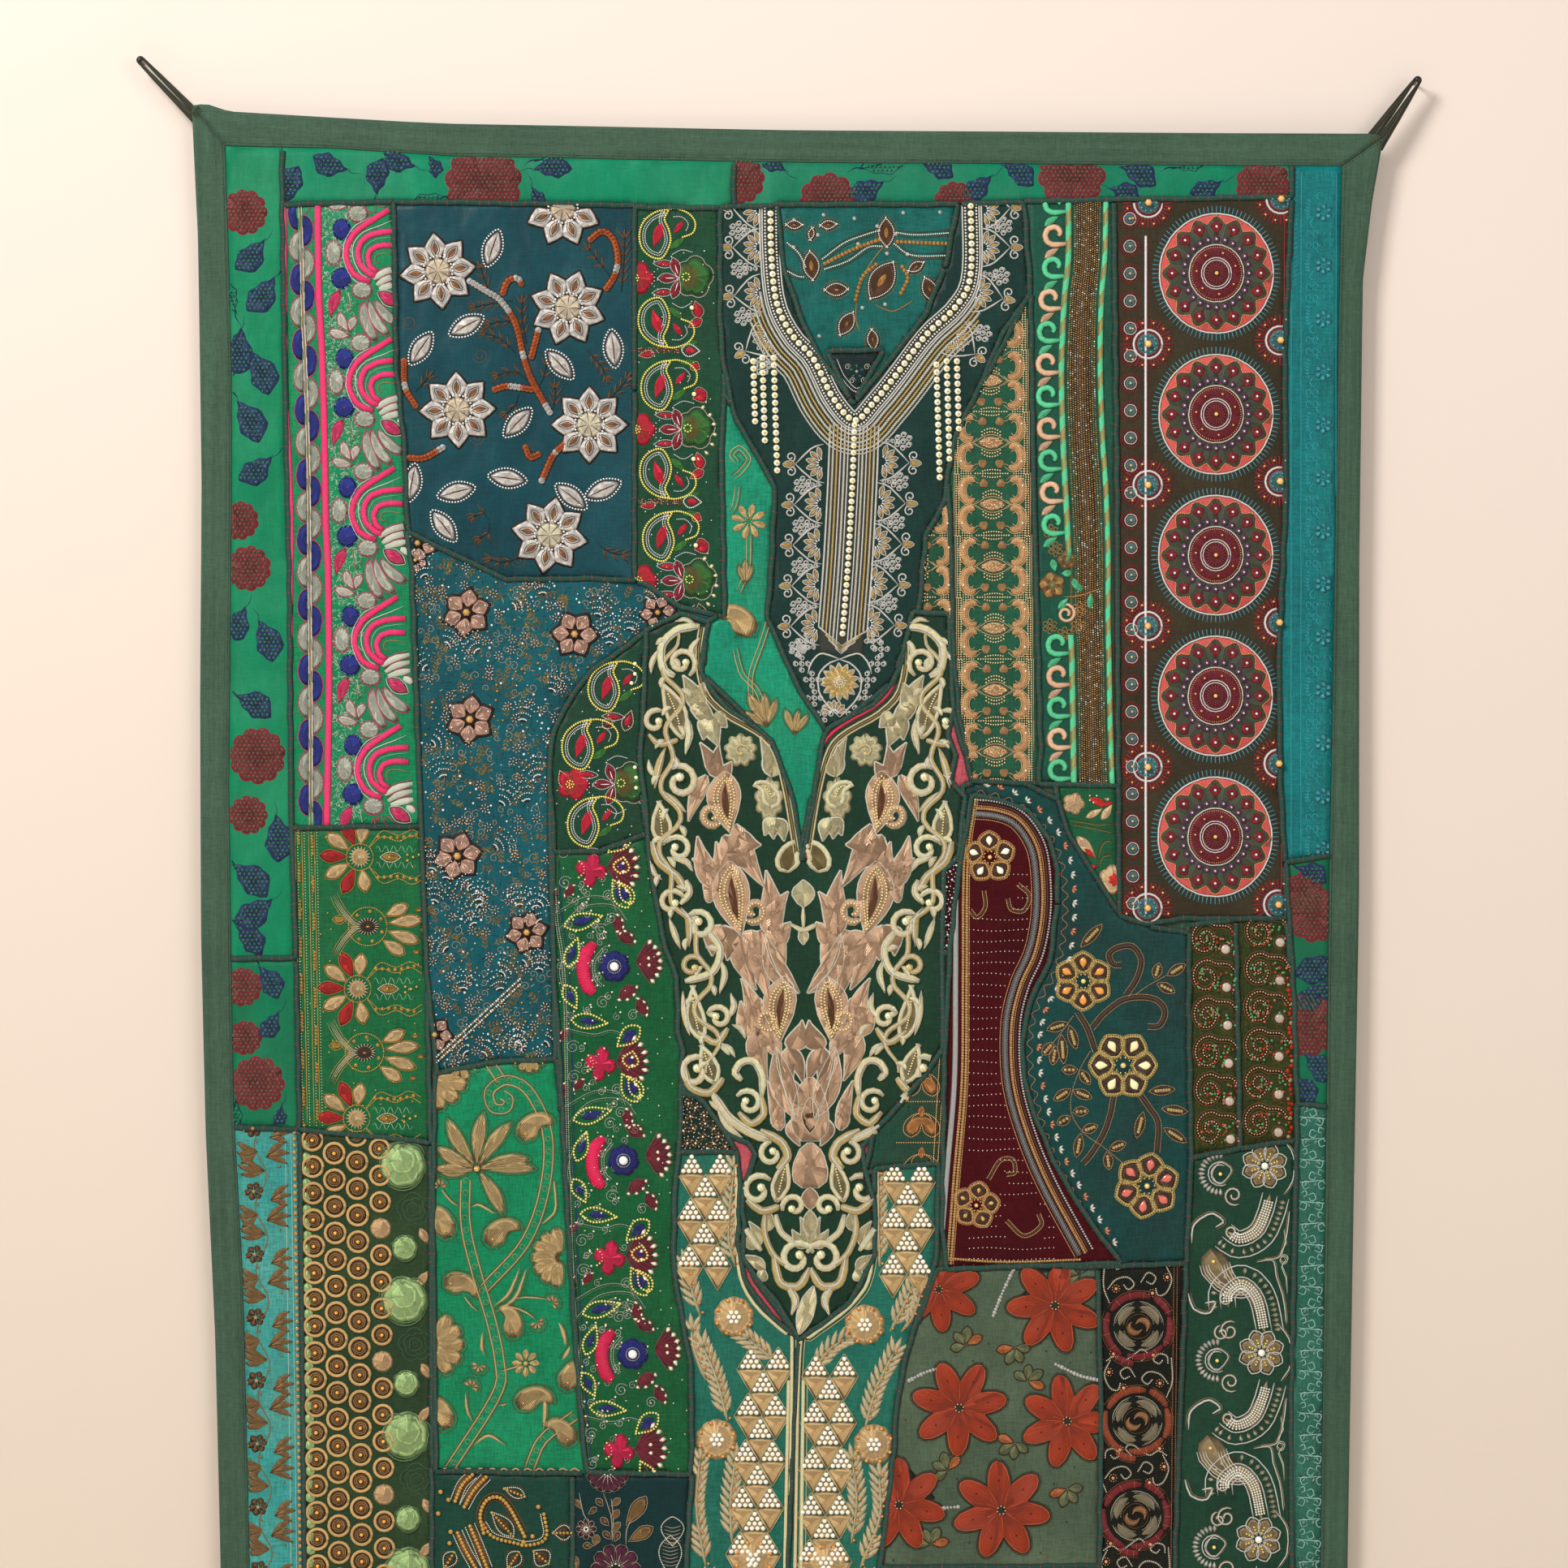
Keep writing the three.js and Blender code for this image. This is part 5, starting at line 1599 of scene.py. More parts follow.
def sew_border_scallop():
    """Half discs beside a cord, and a repeat of pink arcs, fans of grey petals, discs and leaves."""
    work = Work("border_scallop")
    pink, blue, grey, gold = rgb(232, 46, 110), rgb(34, 52, 150), rgb(190, 196, 180), rgb(158, 128, 80)
    mint, silver, rose = rgb(120, 178, 146), rgb(212, 208, 196), rgb(204, 74, 112)
    cord = curve(((-426, -61), (-424, -111), (-423, -164), (-421, -209), (-419, -266), (-418, -309),
                  (-417, -417), (-416, -514), (-416, -616)), 3)
    for x, width, colour, kind in ((0, 1.3, gold, "gold"), (1.3, 1.3, silver, "silver"),
                                   (-1.3, 1.1, silver, "silver")):
        work.ridge(beside(cord, x), width, colour, kind=kind, section="dome", height=0.7)
    right = curve(((-410, -61), (-409, -143), (-406, -201), (-404, -271), (-403, -343), (-401, -386),
                   (-400, -489), (-402, -616)), 3)
    left = curve(((-439, -61), (-439, -164), (-438, -237), (-435, -291), (-433, -357), (-433, -429),
                  (-434, -489), (-436, -616)), 3)
    work.ridge(right, 6.4, pink, section="dome", taper="even", height=1.3)
    work.ridge(left, 2.2, pink, section="dome", taper="even", height=1.0)
    work.ridge(left[:len(left) * 3 // 5], 4.4, pink, section="dome", height=1.1)
    tall = 28.6
    for side in (180, 0):
        for k in range(22):
            z = -218 + 8 * tall - k * tall - (side == 0) * tall / 2
            middle = (np.interp(-z, -cord[:, 1], cord[:, 0]) + (1.6 if side == 0 else -1.6), z)
            colour = (grey, blue)[k % 2]
            half = arc((0, 0), 0.5 * tall, side - 90, side + 90, 11) * (0.66, 1) + middle
            work.pad(half, colour, height=1.1)
            work.ridge(half, 1.0, rose, height=0.6, base=0.1)
            rays = spokes((0, 0), 0.12 * tall, 0.47 * tall, 13, side - 84, side + 96,
                          2) * (0.66, 1) + middle
            work.ridges(rays, 0.6, colour * 0.6, height=0.25, base=0.95)
    heights = random.uniform(cord[-1, 1], cord[0, 1], 2400)
    place = np.column_stack([np.interp(-heights, -right[:, 1], right[:, 0]) + random.uniform(3.4, 30, 2400),
                             heights])
    turn = random.uniform(0, TAU, len(place))
    way = np.column_stack([np.cos(turn), np.sin(turn)]) * 1.5
    tone = np.where(random.random((len(place), 1)) < 0.5, mint, grey)
    work.ridges(np.stack([place - way, place + way], 1), 1.8, tone, height=0.4)
    period = 113.4
    for k in range(-3, 4):
        work.at((-391 + 2.5 * k, -336 - k * period))
        arcs = ((((48.8, 38.2), (30.6, 27.0), (17.5, 16.8), (11.4, 3.6), (12.4, -8.7), (19.7, -19.7),
                  (32.1, -24.8)), 5.8),
                (((55.7, 19.2), (39.4, 18.1), (27.0, 12.8), (21.6, 2.9), (23.0, -8.7), (30.3, -17.2),
                  (36.7, -19.8)), 5.8),
                (((55.7, 6.6), (42.3, 7.0), (33.5, 3.5), (30.3, -3.6), (32.4, -11.7), (38.2, -16.3)), 5.6))
        for line, width in arcs:
            line = curve(line, 3.0)
            work.ridge(line, width, pink, section="dome", height=1.5, taper="even")
            work.ridges(np.stack([beside(line, 2.3), beside(line, -2.3)], 1)[1:-1], 0.8, pink * 0.35,
                        height=0.4, base=1.05)
        for line, colour in ((((32.8, 31.3), (17.5, 23.0), (9.0, 7.3), (9.8, -8.7), (17.8, -23.6),
                               (32.1, -28.7)), silver),
                             (((54.2, 29.9), (39.4, 23.6), (26.5, 18.7), (17.8, 8.7), (17.2, -4.4),
                               (23.6, -17.8), (32.4, -22.7)), silver),
                             (((56.1, 14.3), (39.4, 12.8), (29.2, 7.3), (25.7, -2.9), (28.0, -11.7),
                               (35.0, -17.8)), mint),
                             (((56.9, -2.6), (45.2, 0.0), (37.9, -1.5), (36.4, -7.3), (39.4, -9.0),
                               (40.8, -6.1)), gold)):
            work.ridge(curve(line, 3.0), 1.4, colour, kind="silver" if colour is silver else "floss",
                       height=0.8)
        for line in (((35.3, -22.6), (45.2, -16.3), (59.5, -12.5)),
                     ((37.9, -28.0), (46.9, -22.4), (59.5, -19.2)),
                     ((40.2, -31.5), (49.3, -28.6), (60.1, -26.5)),
                     ((53.9, -32.9), (58.3, -35.0), (61.2, -37.9))):
            line = curve(line, 3.0)
            work.ridge(line, 6.6, grey, section="dome", height=1.2, taper="soft")
            work.ridge(beside(line, 3.4), 0.9, rose, height=0.7, base=0.3)
        for base, tip, width, bend in (((26.5, -41.5), (37.9, -77.6), 9, -4),
                                       ((30.6, -40.8), (48.7, -72.2), 9, -4),
                                       ((35.9, -41.1), (58.9, -62.4), 9.5, -3),
                                       ((24.8, -43.7), (30.6, -68.5), 6, -2)):
            leaf = leaf_rings(tip, base, width, "drop", bend=-bend, count=9)
            work.pad(leaf, grey, height=1.2)
            work.ridge(leaf[0], 1.0, rose, closed=True, height=0.8)
        work.pad(leaf_rings((38.6, -33.5), (58.3, -46.4), 12, "leaf"), rose * 0.8, height=0.9)
        work.pad(leaf_rings((40.5, -34.8), (56.3, -44.9), 8.5, "leaf"), pink, height=1.6)
        work.ridge(leaf_rings((38.6, -33.5), (58.3, -46.4), 13, "leaf")[0], 1.1, silver, closed=True,
                   kind="silver", height=1.0)
        for base, tip, width, colour in (((-2.9, -56.1), (5.8, -32.1), 9.5, pink),
                                         ((13.7, -69.2), (4.7, -51.3), 8.5, silver),
                                         ((14.6, -69.2), (20.1, -55.1), 8, silver),
                                         ((15.2, -72.3), (-4.7, -67.6), 9, silver)):
            leaf = leaf_rings(base, tip, width, "petal", bend=1.5)
            work.pad(leaf, colour, height=1.1)
            work.ridge(leaf[0], 0.9, rose, closed=True, height=0.7)
            work.ridge((base, tip), 0.8, gold, kind="gold", height=0.4, base=1.0)
        work.ridge(((11.4, -33.5), (13.7, -51.7), (21.6, -43.4)), 1.7, gold, kind="gold", height=0.8)
        work.ridge(((13.1, -34.3), (14.9, -46.6), (19.2, -42.3)), 1.2, silver, kind="silver", height=0.7)
        for place, wide, high, colour in (((0.0, 0.3), 7.3, 11.6, grey), ((7.3, 21.1), 8, 9.5, blue),
                                          ((7.0, -21.9), 9, 9.5, blue), ((21.6, 34.7), 9.2, 8.1, grey),
                                          ((25.1, -32.4), 9.4, 7.9, grey)):
            disc = around((0, 0), 1.0, 18) * (wide, high) + place
            work.pad(disc, colour, height=1.2)
            work.ridge(disc, 1.0, rose if colour is grey else blue * 0.5, closed=True, height=0.7)
            rays = spokes((0, 0), 0.35, 0.9, 14, 0, 360, 2) * (wide, high) + np.array(place)
            work.ridges(rays, 0.7, colour * 0.55, height=0.3, base=1.05)
            work.pad(around(place, 1.9, 7), pink, height=1.7)
    work.finish()


def sew_border_lotus():
    """Half lotuses with red and cream petals, and crescent ovals, edged with gold cord and beads."""
    work = Work("border_lotus")
    cream, red, gold, pearl = rgb(214, 182, 132), rgb(180, 22, 26), rgb(190, 150, 74), rgb(222, 214, 184)
    silver, dark, mint = rgb(176, 170, 140), rgb(60, 40, 26), rgb(150, 200, 160)
    heights = np.arange(-616, -880, -4.0)
    for k, x in enumerate((-430, -424, -418, -413)):
        line = np.column_stack([x + (-616 - heights) * 0.018, heights])
        work.ridge(line, 1.0, gold, kind="gold", height=0.6)
        work.string(line + (2.2, 0), 0.6, pearl, gap=4.2, **SEEDS)
        if k in (0, 2):
            some = evenly(line + (3.3, 0), 3.0)
            some = some[np.sin(some[:, 1] * 0.19 + k) > -0.1]
            work.beads(some, 1.5, gold, **SEQUINS, tall=0.5, base=0.3)

    def edged(ring, colour, height=1.1):
        """A cushion with a gold cord round it and a stroke down its middle."""
        work.pad(ring, colour, height=height)
        work.ridge(ring, 0.8, gold, closed=True, kind="gold", height=0.8)
        work.ridge((ring[:2].mean(0) * 0.4 + ring.mean(0) * 0.6, ring.mean(0)), 0.8, dark, height=0.3,
                   base=height)

    for place in ((-373, -640), (-375, -756), (-376, -870)):
        work.at(place)
        for k, turn in enumerate((84, 114, 145, 178, 211, 245, 280)):
            ray = spokes((0, 0), 10, 36 - 4 * (k % 6 == 0), 1, turn, turn + 360, 2)[0]
            edged(leaf_rings(ray[0], ray[1], 12, "petal")[0], red if k % 2 else cream)
        work.pad(around((0, 0), 8.5, 14), cream * 0.8, height=1.0)
        work.ridges(spokes((0, 0), 6.4, 9.4, 18, 0, 360, 2), 1.2, pearl, kind="beads", height=0.9, base=0.5)
        work.string(arc((0, 0), 11.8, 0, 360, 40), 0.75, gold, **SEEDS)
        work.string(arc((0, 0), 5.2, 0, 360, 24), 0.7, gold, **SEEDS, base=0.7)
        work.pad(around((0, 0), 3.2, 8), silver * 0.8, height=1.9, kind="beads")
        for side in (1, -1):
            for far, lift in ((0, 0), (1, 5)):
                line = curve(((9, side * (9 + far)), (20, side * (18 + lift)), (34, side * (14 + lift)),
                              (46, side * (19 + lift)), (56, side * (14 + lift))))
                work.string(line, 0.7, gold, **SEEDS)
            line = curve(((16, side * 18), (34, side * 17), (50, side * 20)))
            work.beads(evenly(line, 5.5), 1.7, gold, **SEQUINS, tall=0.5)
            line = np.column_stack([np.arange(14, 50, 1.4),
                                    7 * side + 3.2 * np.sin(np.arange(14, 50, 1.4) * 0.9)])
            work.ridge(line, 0.9, mint, height=0.5)
        work.pad(leaf_rings((18, 0), (36, 0), 8), gold * 0.7, height=0.9, kind="gold")
        work.string(leaf_rings((18, 0), (36, 0), 9)[0], 0.7, pearl, **SEEDS, base=0.3)
        work.beads(((26, 0), (42, 2), (42, -3), (47, 0), (52, 2)), 1.5, gold, base=0.3)
    for place in ((-366, -701), (-369, -812)):
        work.at(place)
        oval = around((0, 0), 17, 26, squash=1.0)
        work.string(np.vstack([oval, oval[:1]]), 0.8, gold, **SEEDS)
        work.beads(around((0, 0), 13.5, 7, 30), 1.7, gold, **SEQUINS, tall=0.5)
        work.pad(around((0, 0), 10.5, 16, squash=0.74), dark, height=0.7)
        work.ridges(spokes((0, 0), 6.5, 10.0, 20, 0, 360, 2) * (1, 0.78), 1.1, pearl, kind="beads",
                    height=0.8, base=0.4)
        work.pad(leaf_rings((-4, 0), (4, 0), 4.5), gold, height=1.6, kind="gold")
        for side in (1, -1):
            horn = curve(((-9, 0), (-16, side * 6), (-24, side * 16), (-30, side * 28)), 2.5)
            for k in (-1.4, 0, 1.4):
                work.ridge(beside(horn, k), 2.0, silver, taper="tail", kind="silver", height=0.9)
            work.ridge(beside(horn, 3.4), 0.8, gold, kind="gold", height=0.6)
            work.ridge(beside(horn, -3.4), 0.8, gold, kind="gold", height=0.6)
        work.pad(leaf_rings((-30, 6), (-20, 6), 6, "drop"), gold, height=1.2, kind="gold")
        work.string(leaf_rings((-31, 6), (-19, 6), 8)[0], 0.6, gold, **SEEDS)
        for tip, base in (((36, 19), (15, 9)), ((49, 6), (17, 3)), ((46, -14), (17, -4)),
                          ((33, -25), (13, -12))):
            edged(leaf_rings(base, tip, 11.5, "petal")[0], cream)
        for spot in ((45, 14), (50, -4), (43, -23)):
            work.pad(leaf_rings(np.array(spot) - (4, 0), np.array(spot) + (4, 1), 5, "drop"), gold,
                     height=1.2, kind="gold")
    work.home()
    spots = work.scattered(60, 9, 3, [(place, 30) for place in ((-373, -640), (-375, -756), (-366, -701))])
    work.beads(spots, 0.9, gold, sides=6, rows=SEED_ROWS)
    work.finish()


def rose(work, place, radius, colour, line):
    """A rose in satin stitch: a lobed cushion, with arcs between its petals and a wound heart."""
    work.at(place, turn=random.uniform(-25, 25), size=radius / 20)
    work.pad(lobed((0, 0), 20, 7, 0.13, points=5), colour, height=1.3)
    work.pad(lobed((1, 3), 12, 5, 0.12, points=5), colour * 1.05, height=1.1, base=0.9)
    for centre, reach, start, end in (((0, -3), 16.5, 190, 350), ((0, -6), 11.5, 175, 372),
                                      ((-4, 0), 13, 110, 240), ((4, 1), 13.5, -60, 70),
                                      ((1, 5), 8.5, 150, 400), ((1, 5), 5.2, 0, 260), ((0, 10), 8, 20, 160),
                                      ((-9, 6), 9, 60, 200), ((10, 7), 8, -30, 110)):
        work.ridge(arc(centre, reach, start, end, 11), 1.3, line, height=0.5, base=1.1, taper="leaf")
    work.ridge(spiral((1, 5), 3.6, 0.8, 90, 1.2, 10), 1.0, line, height=0.5, base=1.6)
    work.home()


def sew_border_rings():
    """Rows of wound gold rings, each with a bead, and green roses down the side."""
    work = Work("border_rings")
    gold, brown, pale, green = rgb(200, 162, 104), rgb(104, 66, 32), rgb(172, 206, 136), rgb(96, 136, 88)
    amber, beige, dark = rgb(214, 150, 62), rgb(206, 168, 122), rgb(60, 100, 76)
    pitch, slant = 23.4, 0.013
    rows = np.arange(-889, -1470, -pitch)
    for k, x in enumerate((-415, -396, -376, -356)):
        for z in rows - (k % 2) * pitch / 2 + (k // 2) * 4:
            place = np.array([x + (-889 - z) * slant, z])
            size = 10.6 if k < 3 else 10.0
            if k == 3 and int(-z / pitch) % 5 == 1:
                work.pad(lobed(place, size, 9, 0.08, points=3), beige, height=0.9)
                continue
            work.ridge(around(place, size - 1.7, 16), 3.0, gold, closed=True, section="dome", height=1.5)
            work.pad(around(place, size - 3.0, 10), brown, height=0.7)
            work.ridge(spiral(place, size - 4.2, 2.4, random.uniform(0, 360), 2.2, 16), 1.1, gold * 0.72,
                       kind="gold", height=0.7, base=0.5)
            work.beads([place], 1.9, amber, base=0.8)
    for z in np.arange(-893, -1460, -11.5):
        work.pad(lobed((-421 + (-889 - z) * slant, z), 5, 6, 0.15, points=3), pale, height=0.7)
    step = -119.0
    for k in range(5):
        shift = np.array([1.5 * k, step * k])
        rose(work, np.array((-336, -911)) + shift, 23, pale, green)
        rose(work, np.array((-334, -984)) + shift, 12.5, pale, green)
        spot = np.array((-326, -950)) + shift
        for radius, lobes in ((15, 5), (10.5, 4), (6, 3)):
            work.ridge(lobed(spot, radius, lobes, 0.2, start=40 * radius, points=6), 1.0, dark, closed=True,
                       height=0.6)
        work.ridge(spiral(spot, 3.6, 0.8, 0, 1.5, 10), 0.9, dark, height=0.6)
        for base, tip in (((-321, -966), (-313, -980)), ((-324, -1020), (-313, -1004))):
            work.pad(leaf_rings(np.array(base) + shift, np.array(tip) + shift, 9), beige, height=0.9)
    work.finish()


def sew_trim_vine():
    """A wavy stem with sprays of bronze leaves and small flowers, and a dotted band."""
    work = Work("trim_vine")
    bronze, brown, pale = rgb(140, 106, 62), rgb(120, 74, 36), rgb(196, 206, 190)
    heights = np.arange(-876, -1475, -3.0)
    lean = (-876 - heights) * 0.014
    period = 55.5
    wave = 5.5 * np.sin(TAU * (heights - -934) / period)
    stem = np.column_stack([-461 + lean + wave, heights])
    work.ridge(stem, 1.4, bronze, height=0.7)
    for x in (-439, -434, -427):
        work.ridge(np.column_stack([x + lean, heights]), 0.9, pale, height=0.5)
    edge = np.column_stack([-431 + lean, heights])
    work.beads(evenly(edge, 6.0), 2.1, bronze, sides=7, tall=0.6)
    for k in range(11):
        z = -934 + period - k * period
        x = (-876 - z) * 0.014
        work.at((-467 + x, z))
        work.pad(petals((0, 0), 1, 9, 7, 6, 10), brown, height=1.1)
        work.ridges(spokes((0, 0), 2, 7.5, 6, 10, 370, 3), 0.9, bronze, height=0.4, base=0.9)
        work.beads([(0, 0)], 2.0, bronze, base=0.9)
        for base, tips in (((10, 18), ((-14, 34), (-16, 24), (-12, 15))),
                           ((14, -8), ((30, 6), (33, -3), (30, -13))),
                           ((4, -20), ((-14, -12), (-16, -21), (-11, -31))),
                           ((10, 30), ((28, 44), (32, 34), (30, 24)))):
            for tip in tips:
                leaf = leaf_rings(base, tip, 6.0, "petal", bend=1.5, count=6)
                work.pad(leaf, bronze, height=0.9)
                work.ridge((base, tip), 0.5, brown, height=0.3, base=0.7)
        work.beads(((22, 22), (-8, -2), (24, -18), (2, 44)), 1.3, bronze)
    work.finish()


def twice(work, axis):
    """Goes over what follows twice: as it is, and mirrored in an upright line."""
    for flip in (False, True):
        yield work.at((2 * axis * flip, 0), flip=flip)
    work.home()


def curls(work, place, radius, colour, *, count=7, turn=0.0):
    """A heap of small wound spirals, as a hexagon of them round one in the middle."""
    spots = np.vstack([[place], around(place, radius * 2.0, count - 1, turn)])
    for spot in spots:
        work.ridge(spiral(spot, radius, radius * 0.3, 90 + turn, 1.5, 11), radius * 0.56, colour,
                   kind="silver", height=0.8)


def fan(work, place, reach, turn, colour, edge, *, spread=150, count=7, width=3.3):
    """Drops that spread from a point, each with a bright cord round the whole."""
    rays = spokes(place, reach * 0.28, reach, count, turn - spread / 2, turn + spread / 2, 2)
    rings = leaf_rings(rays[:, 0], rays[:, 1], width, "petal", count=5)
    for ring in rings:
        work.ridge(ring, 1.3, edge, closed=True, kind="silver", height=0.8)
    work.pad(rings, colour, kind="gold", height=1.2)
    work.beads(rays[:, 0], 1.0, edge, **SEEDS)


def sew_yoke_pearl():
    """Rows of pearls and hatched bands round the neck and down the tongue, fans, curls and strings."""
    work = Work("yoke_pearl")
    white, pearl, gold = rgb(240, 232, 212), rgb(240, 222, 184), rgb(222, 176, 108)
    silver, dark = rgb(222, 212, 186), rgb(40, 44, 36)
    neck = curve(((-12, -61), (-11, -113), (-6, -154), (8, -182), (26, -202), (43, -236), (62, -256),
                  (79, -240), (97, -218), (125, -181), (151, -156), (164, -128), (164, -61)), 2.0)
    work.ridge(neck, 14, dark, height=0.4, section="dome", taper="even")
    work.beads(evenly(neck, 6.6), 3.1, pearl, sides=8, tall=0.8, base=0.3)
    work.beads(evenly(neck, 6.6), 1.1, gold, **SEEDS, base=2.5)
    for shift in (4.9, -4.9):
        work.string(beside(neck, shift), 1.15, white, gap=2.4, **SEEDS, base=0.2)
    for shift in (7.4, -7.4, -9.4):
        work.ridge(beside(neck, shift), 2.0, white, kind="silver", height=1.1, taper="even")
    lower = neck[32:-32]
    for shift, colour, size in ((-12.6, silver, 3.4), (-16.2, gold, 2.8), (-19.8, silver, 3.4),
                                (-23.4, gold, 2.8), (-26.8, silver, 3.2), (-30, white, 2.2)):
        part = evenly(beside(lower, shift)[int(-shift * 0.7):-int(-shift * 0.7)], 2.2)
        work.ridge(part, size, colour, kind="gold" if colour is gold else "silver", height=1.0,
                   taper="even")
        slant = np.stack([beside(part, 1.2)[:-1], beside(part, -1.2)[1:]], 1)
        work.ridges(slant, 0.55, dark, height=0.3, base=0.8)
    column = curve(((62, -260), (60, -314), (56, -386), (50, -461)), 2.2)
    work.ridge(column, 46, dark, height=0.35, section="dome", taper="even")
    for shift, colour, size in ((4.9, white, 1.8), (8.0, silver, 3.2), (11.4, white, 1.9),
                                (14.6, gold, 2.8), (18.0, silver, 2.8), (21.4, white, 2.2)):
        for side in (1, -1):
            short = int(abs(shift) * 0.5)
            line = beside(column, side * shift)[: len(column) - short]
            line = np.vstack([line, column[-1 - short // 3]])
            work.ridge(line, size, colour, kind="gold" if colour is gold else "silver", height=1.0,
                       taper="even", base=0.1)
            if size > 2.4:
                slant = np.stack([line[:-1] + (1.1, 0), line[1:] - (1.1, 0)], 1)
                work.ridges(slant, 0.55, dark, height=0.3, base=0.9)
    work.beads(evenly(column[:-8], 6.2), 2.9, pearl, sides=8, tall=0.8, base=0.4)
    work.beads(evenly(column[:-8], 6.2), 1.0, gold, **SEEDS, base=2.5)
    for place, turn in (((-21, -71), 176), ((-21, -104), 180), ((-20, -144), 186), ((-13, -183), 210),
                        ((175, -71), 4), ((175, -104), 0), ((169, -144), -12), ((149, -183), -38),
                        *[((34 - 1.07 * k, -294 - 35.71 * k), 181) for k in range(5)],
                        *[((86 - 3.2 * k, -292 - 35.71 * k), -3) for k in range(5)]):
        work.at(place, turn - 90)
        fan(work, (0, 0), 15, 90, gold, white, count=6, width=4.4)
        for side in (1, -1):
            line = curve(((side * 17, -1), (side * 14.5, 8), (side * 8, 16), (0, 24)), 2.4)
            work.ridge(line, 2.1, white, kind="silver", height=1.3)
            work.ridge(spiral((side * 6.4, 28), 4.6, 1.2, 90 + side * 100, side * 1.2, 13), 1.9, white,
                       kind="silver", height=1.3)
        work.pad(leaf_rings((0, 25), (0, 35), 5.4, "drop"), gold, height=1.3, kind="gold")
        work.ridge(leaf_rings((0, 25), (0, 35), 6.4, "drop")[0], 1.2, white, closed=True, kind="silver",
                   height=0.9)
        curls(work, (-18.5, 18), 2.9, white, count=7)
        curls(work, (-18.5, 9), 2.3, white, count=3, turn=90)
    work.home()
    for x, top, bottom in ((-27, -204, -260), (-19, -201, -280), (-9, -201, -306),
                           (134, -207, -310), (143, -204, -290), (152, -204, -264)):
        line = np.column_stack([x - 0.03 * (np.arange(top, bottom, -6.6) - top),
                                np.arange(top, bottom, -6.6)])
        work.beads(line, 3.1, pearl, sides=8, tall=0.8)
        work.beads(line, 1.2, gold, **SEEDS, base=2.2)
    rosette = (49, -486)
    work.pad(lobed(rosette, 15, 14, 0.12, points=3), gold, height=0.9, kind="gold")
    fan(work, rosette, 17, 0, gold, white, spread=345, count=14, width=4.4)
    fan(work, rosette, 9.5, 10, pearl, white, spread=340, count=11, width=2.8)
    work.pad(around(rosette, 3.4, 8), silver, height=2.2, kind="silver")
    for _ in twice(work, 49):
        for line in (((49, -466), (39, -470), (31, -479), (30, -491), (34, -501), (41, -509), (49, -517)),
                     ((49, -466), (33, -461), (24, -469), (21, -479))):
            work.ridge(curve(line), 2.2, white, kind="silver", height=1.2)
        for place in ((25, -484), (27, -500), (36, -514), (16, -470), (13, -457), (20, -450)):
            curls(work, place, 2.7, white, count=5)
    tip = (44, -514)
    fan(work, tip, 12, 90, gold, white, count=7, width=4)
    work.finish()


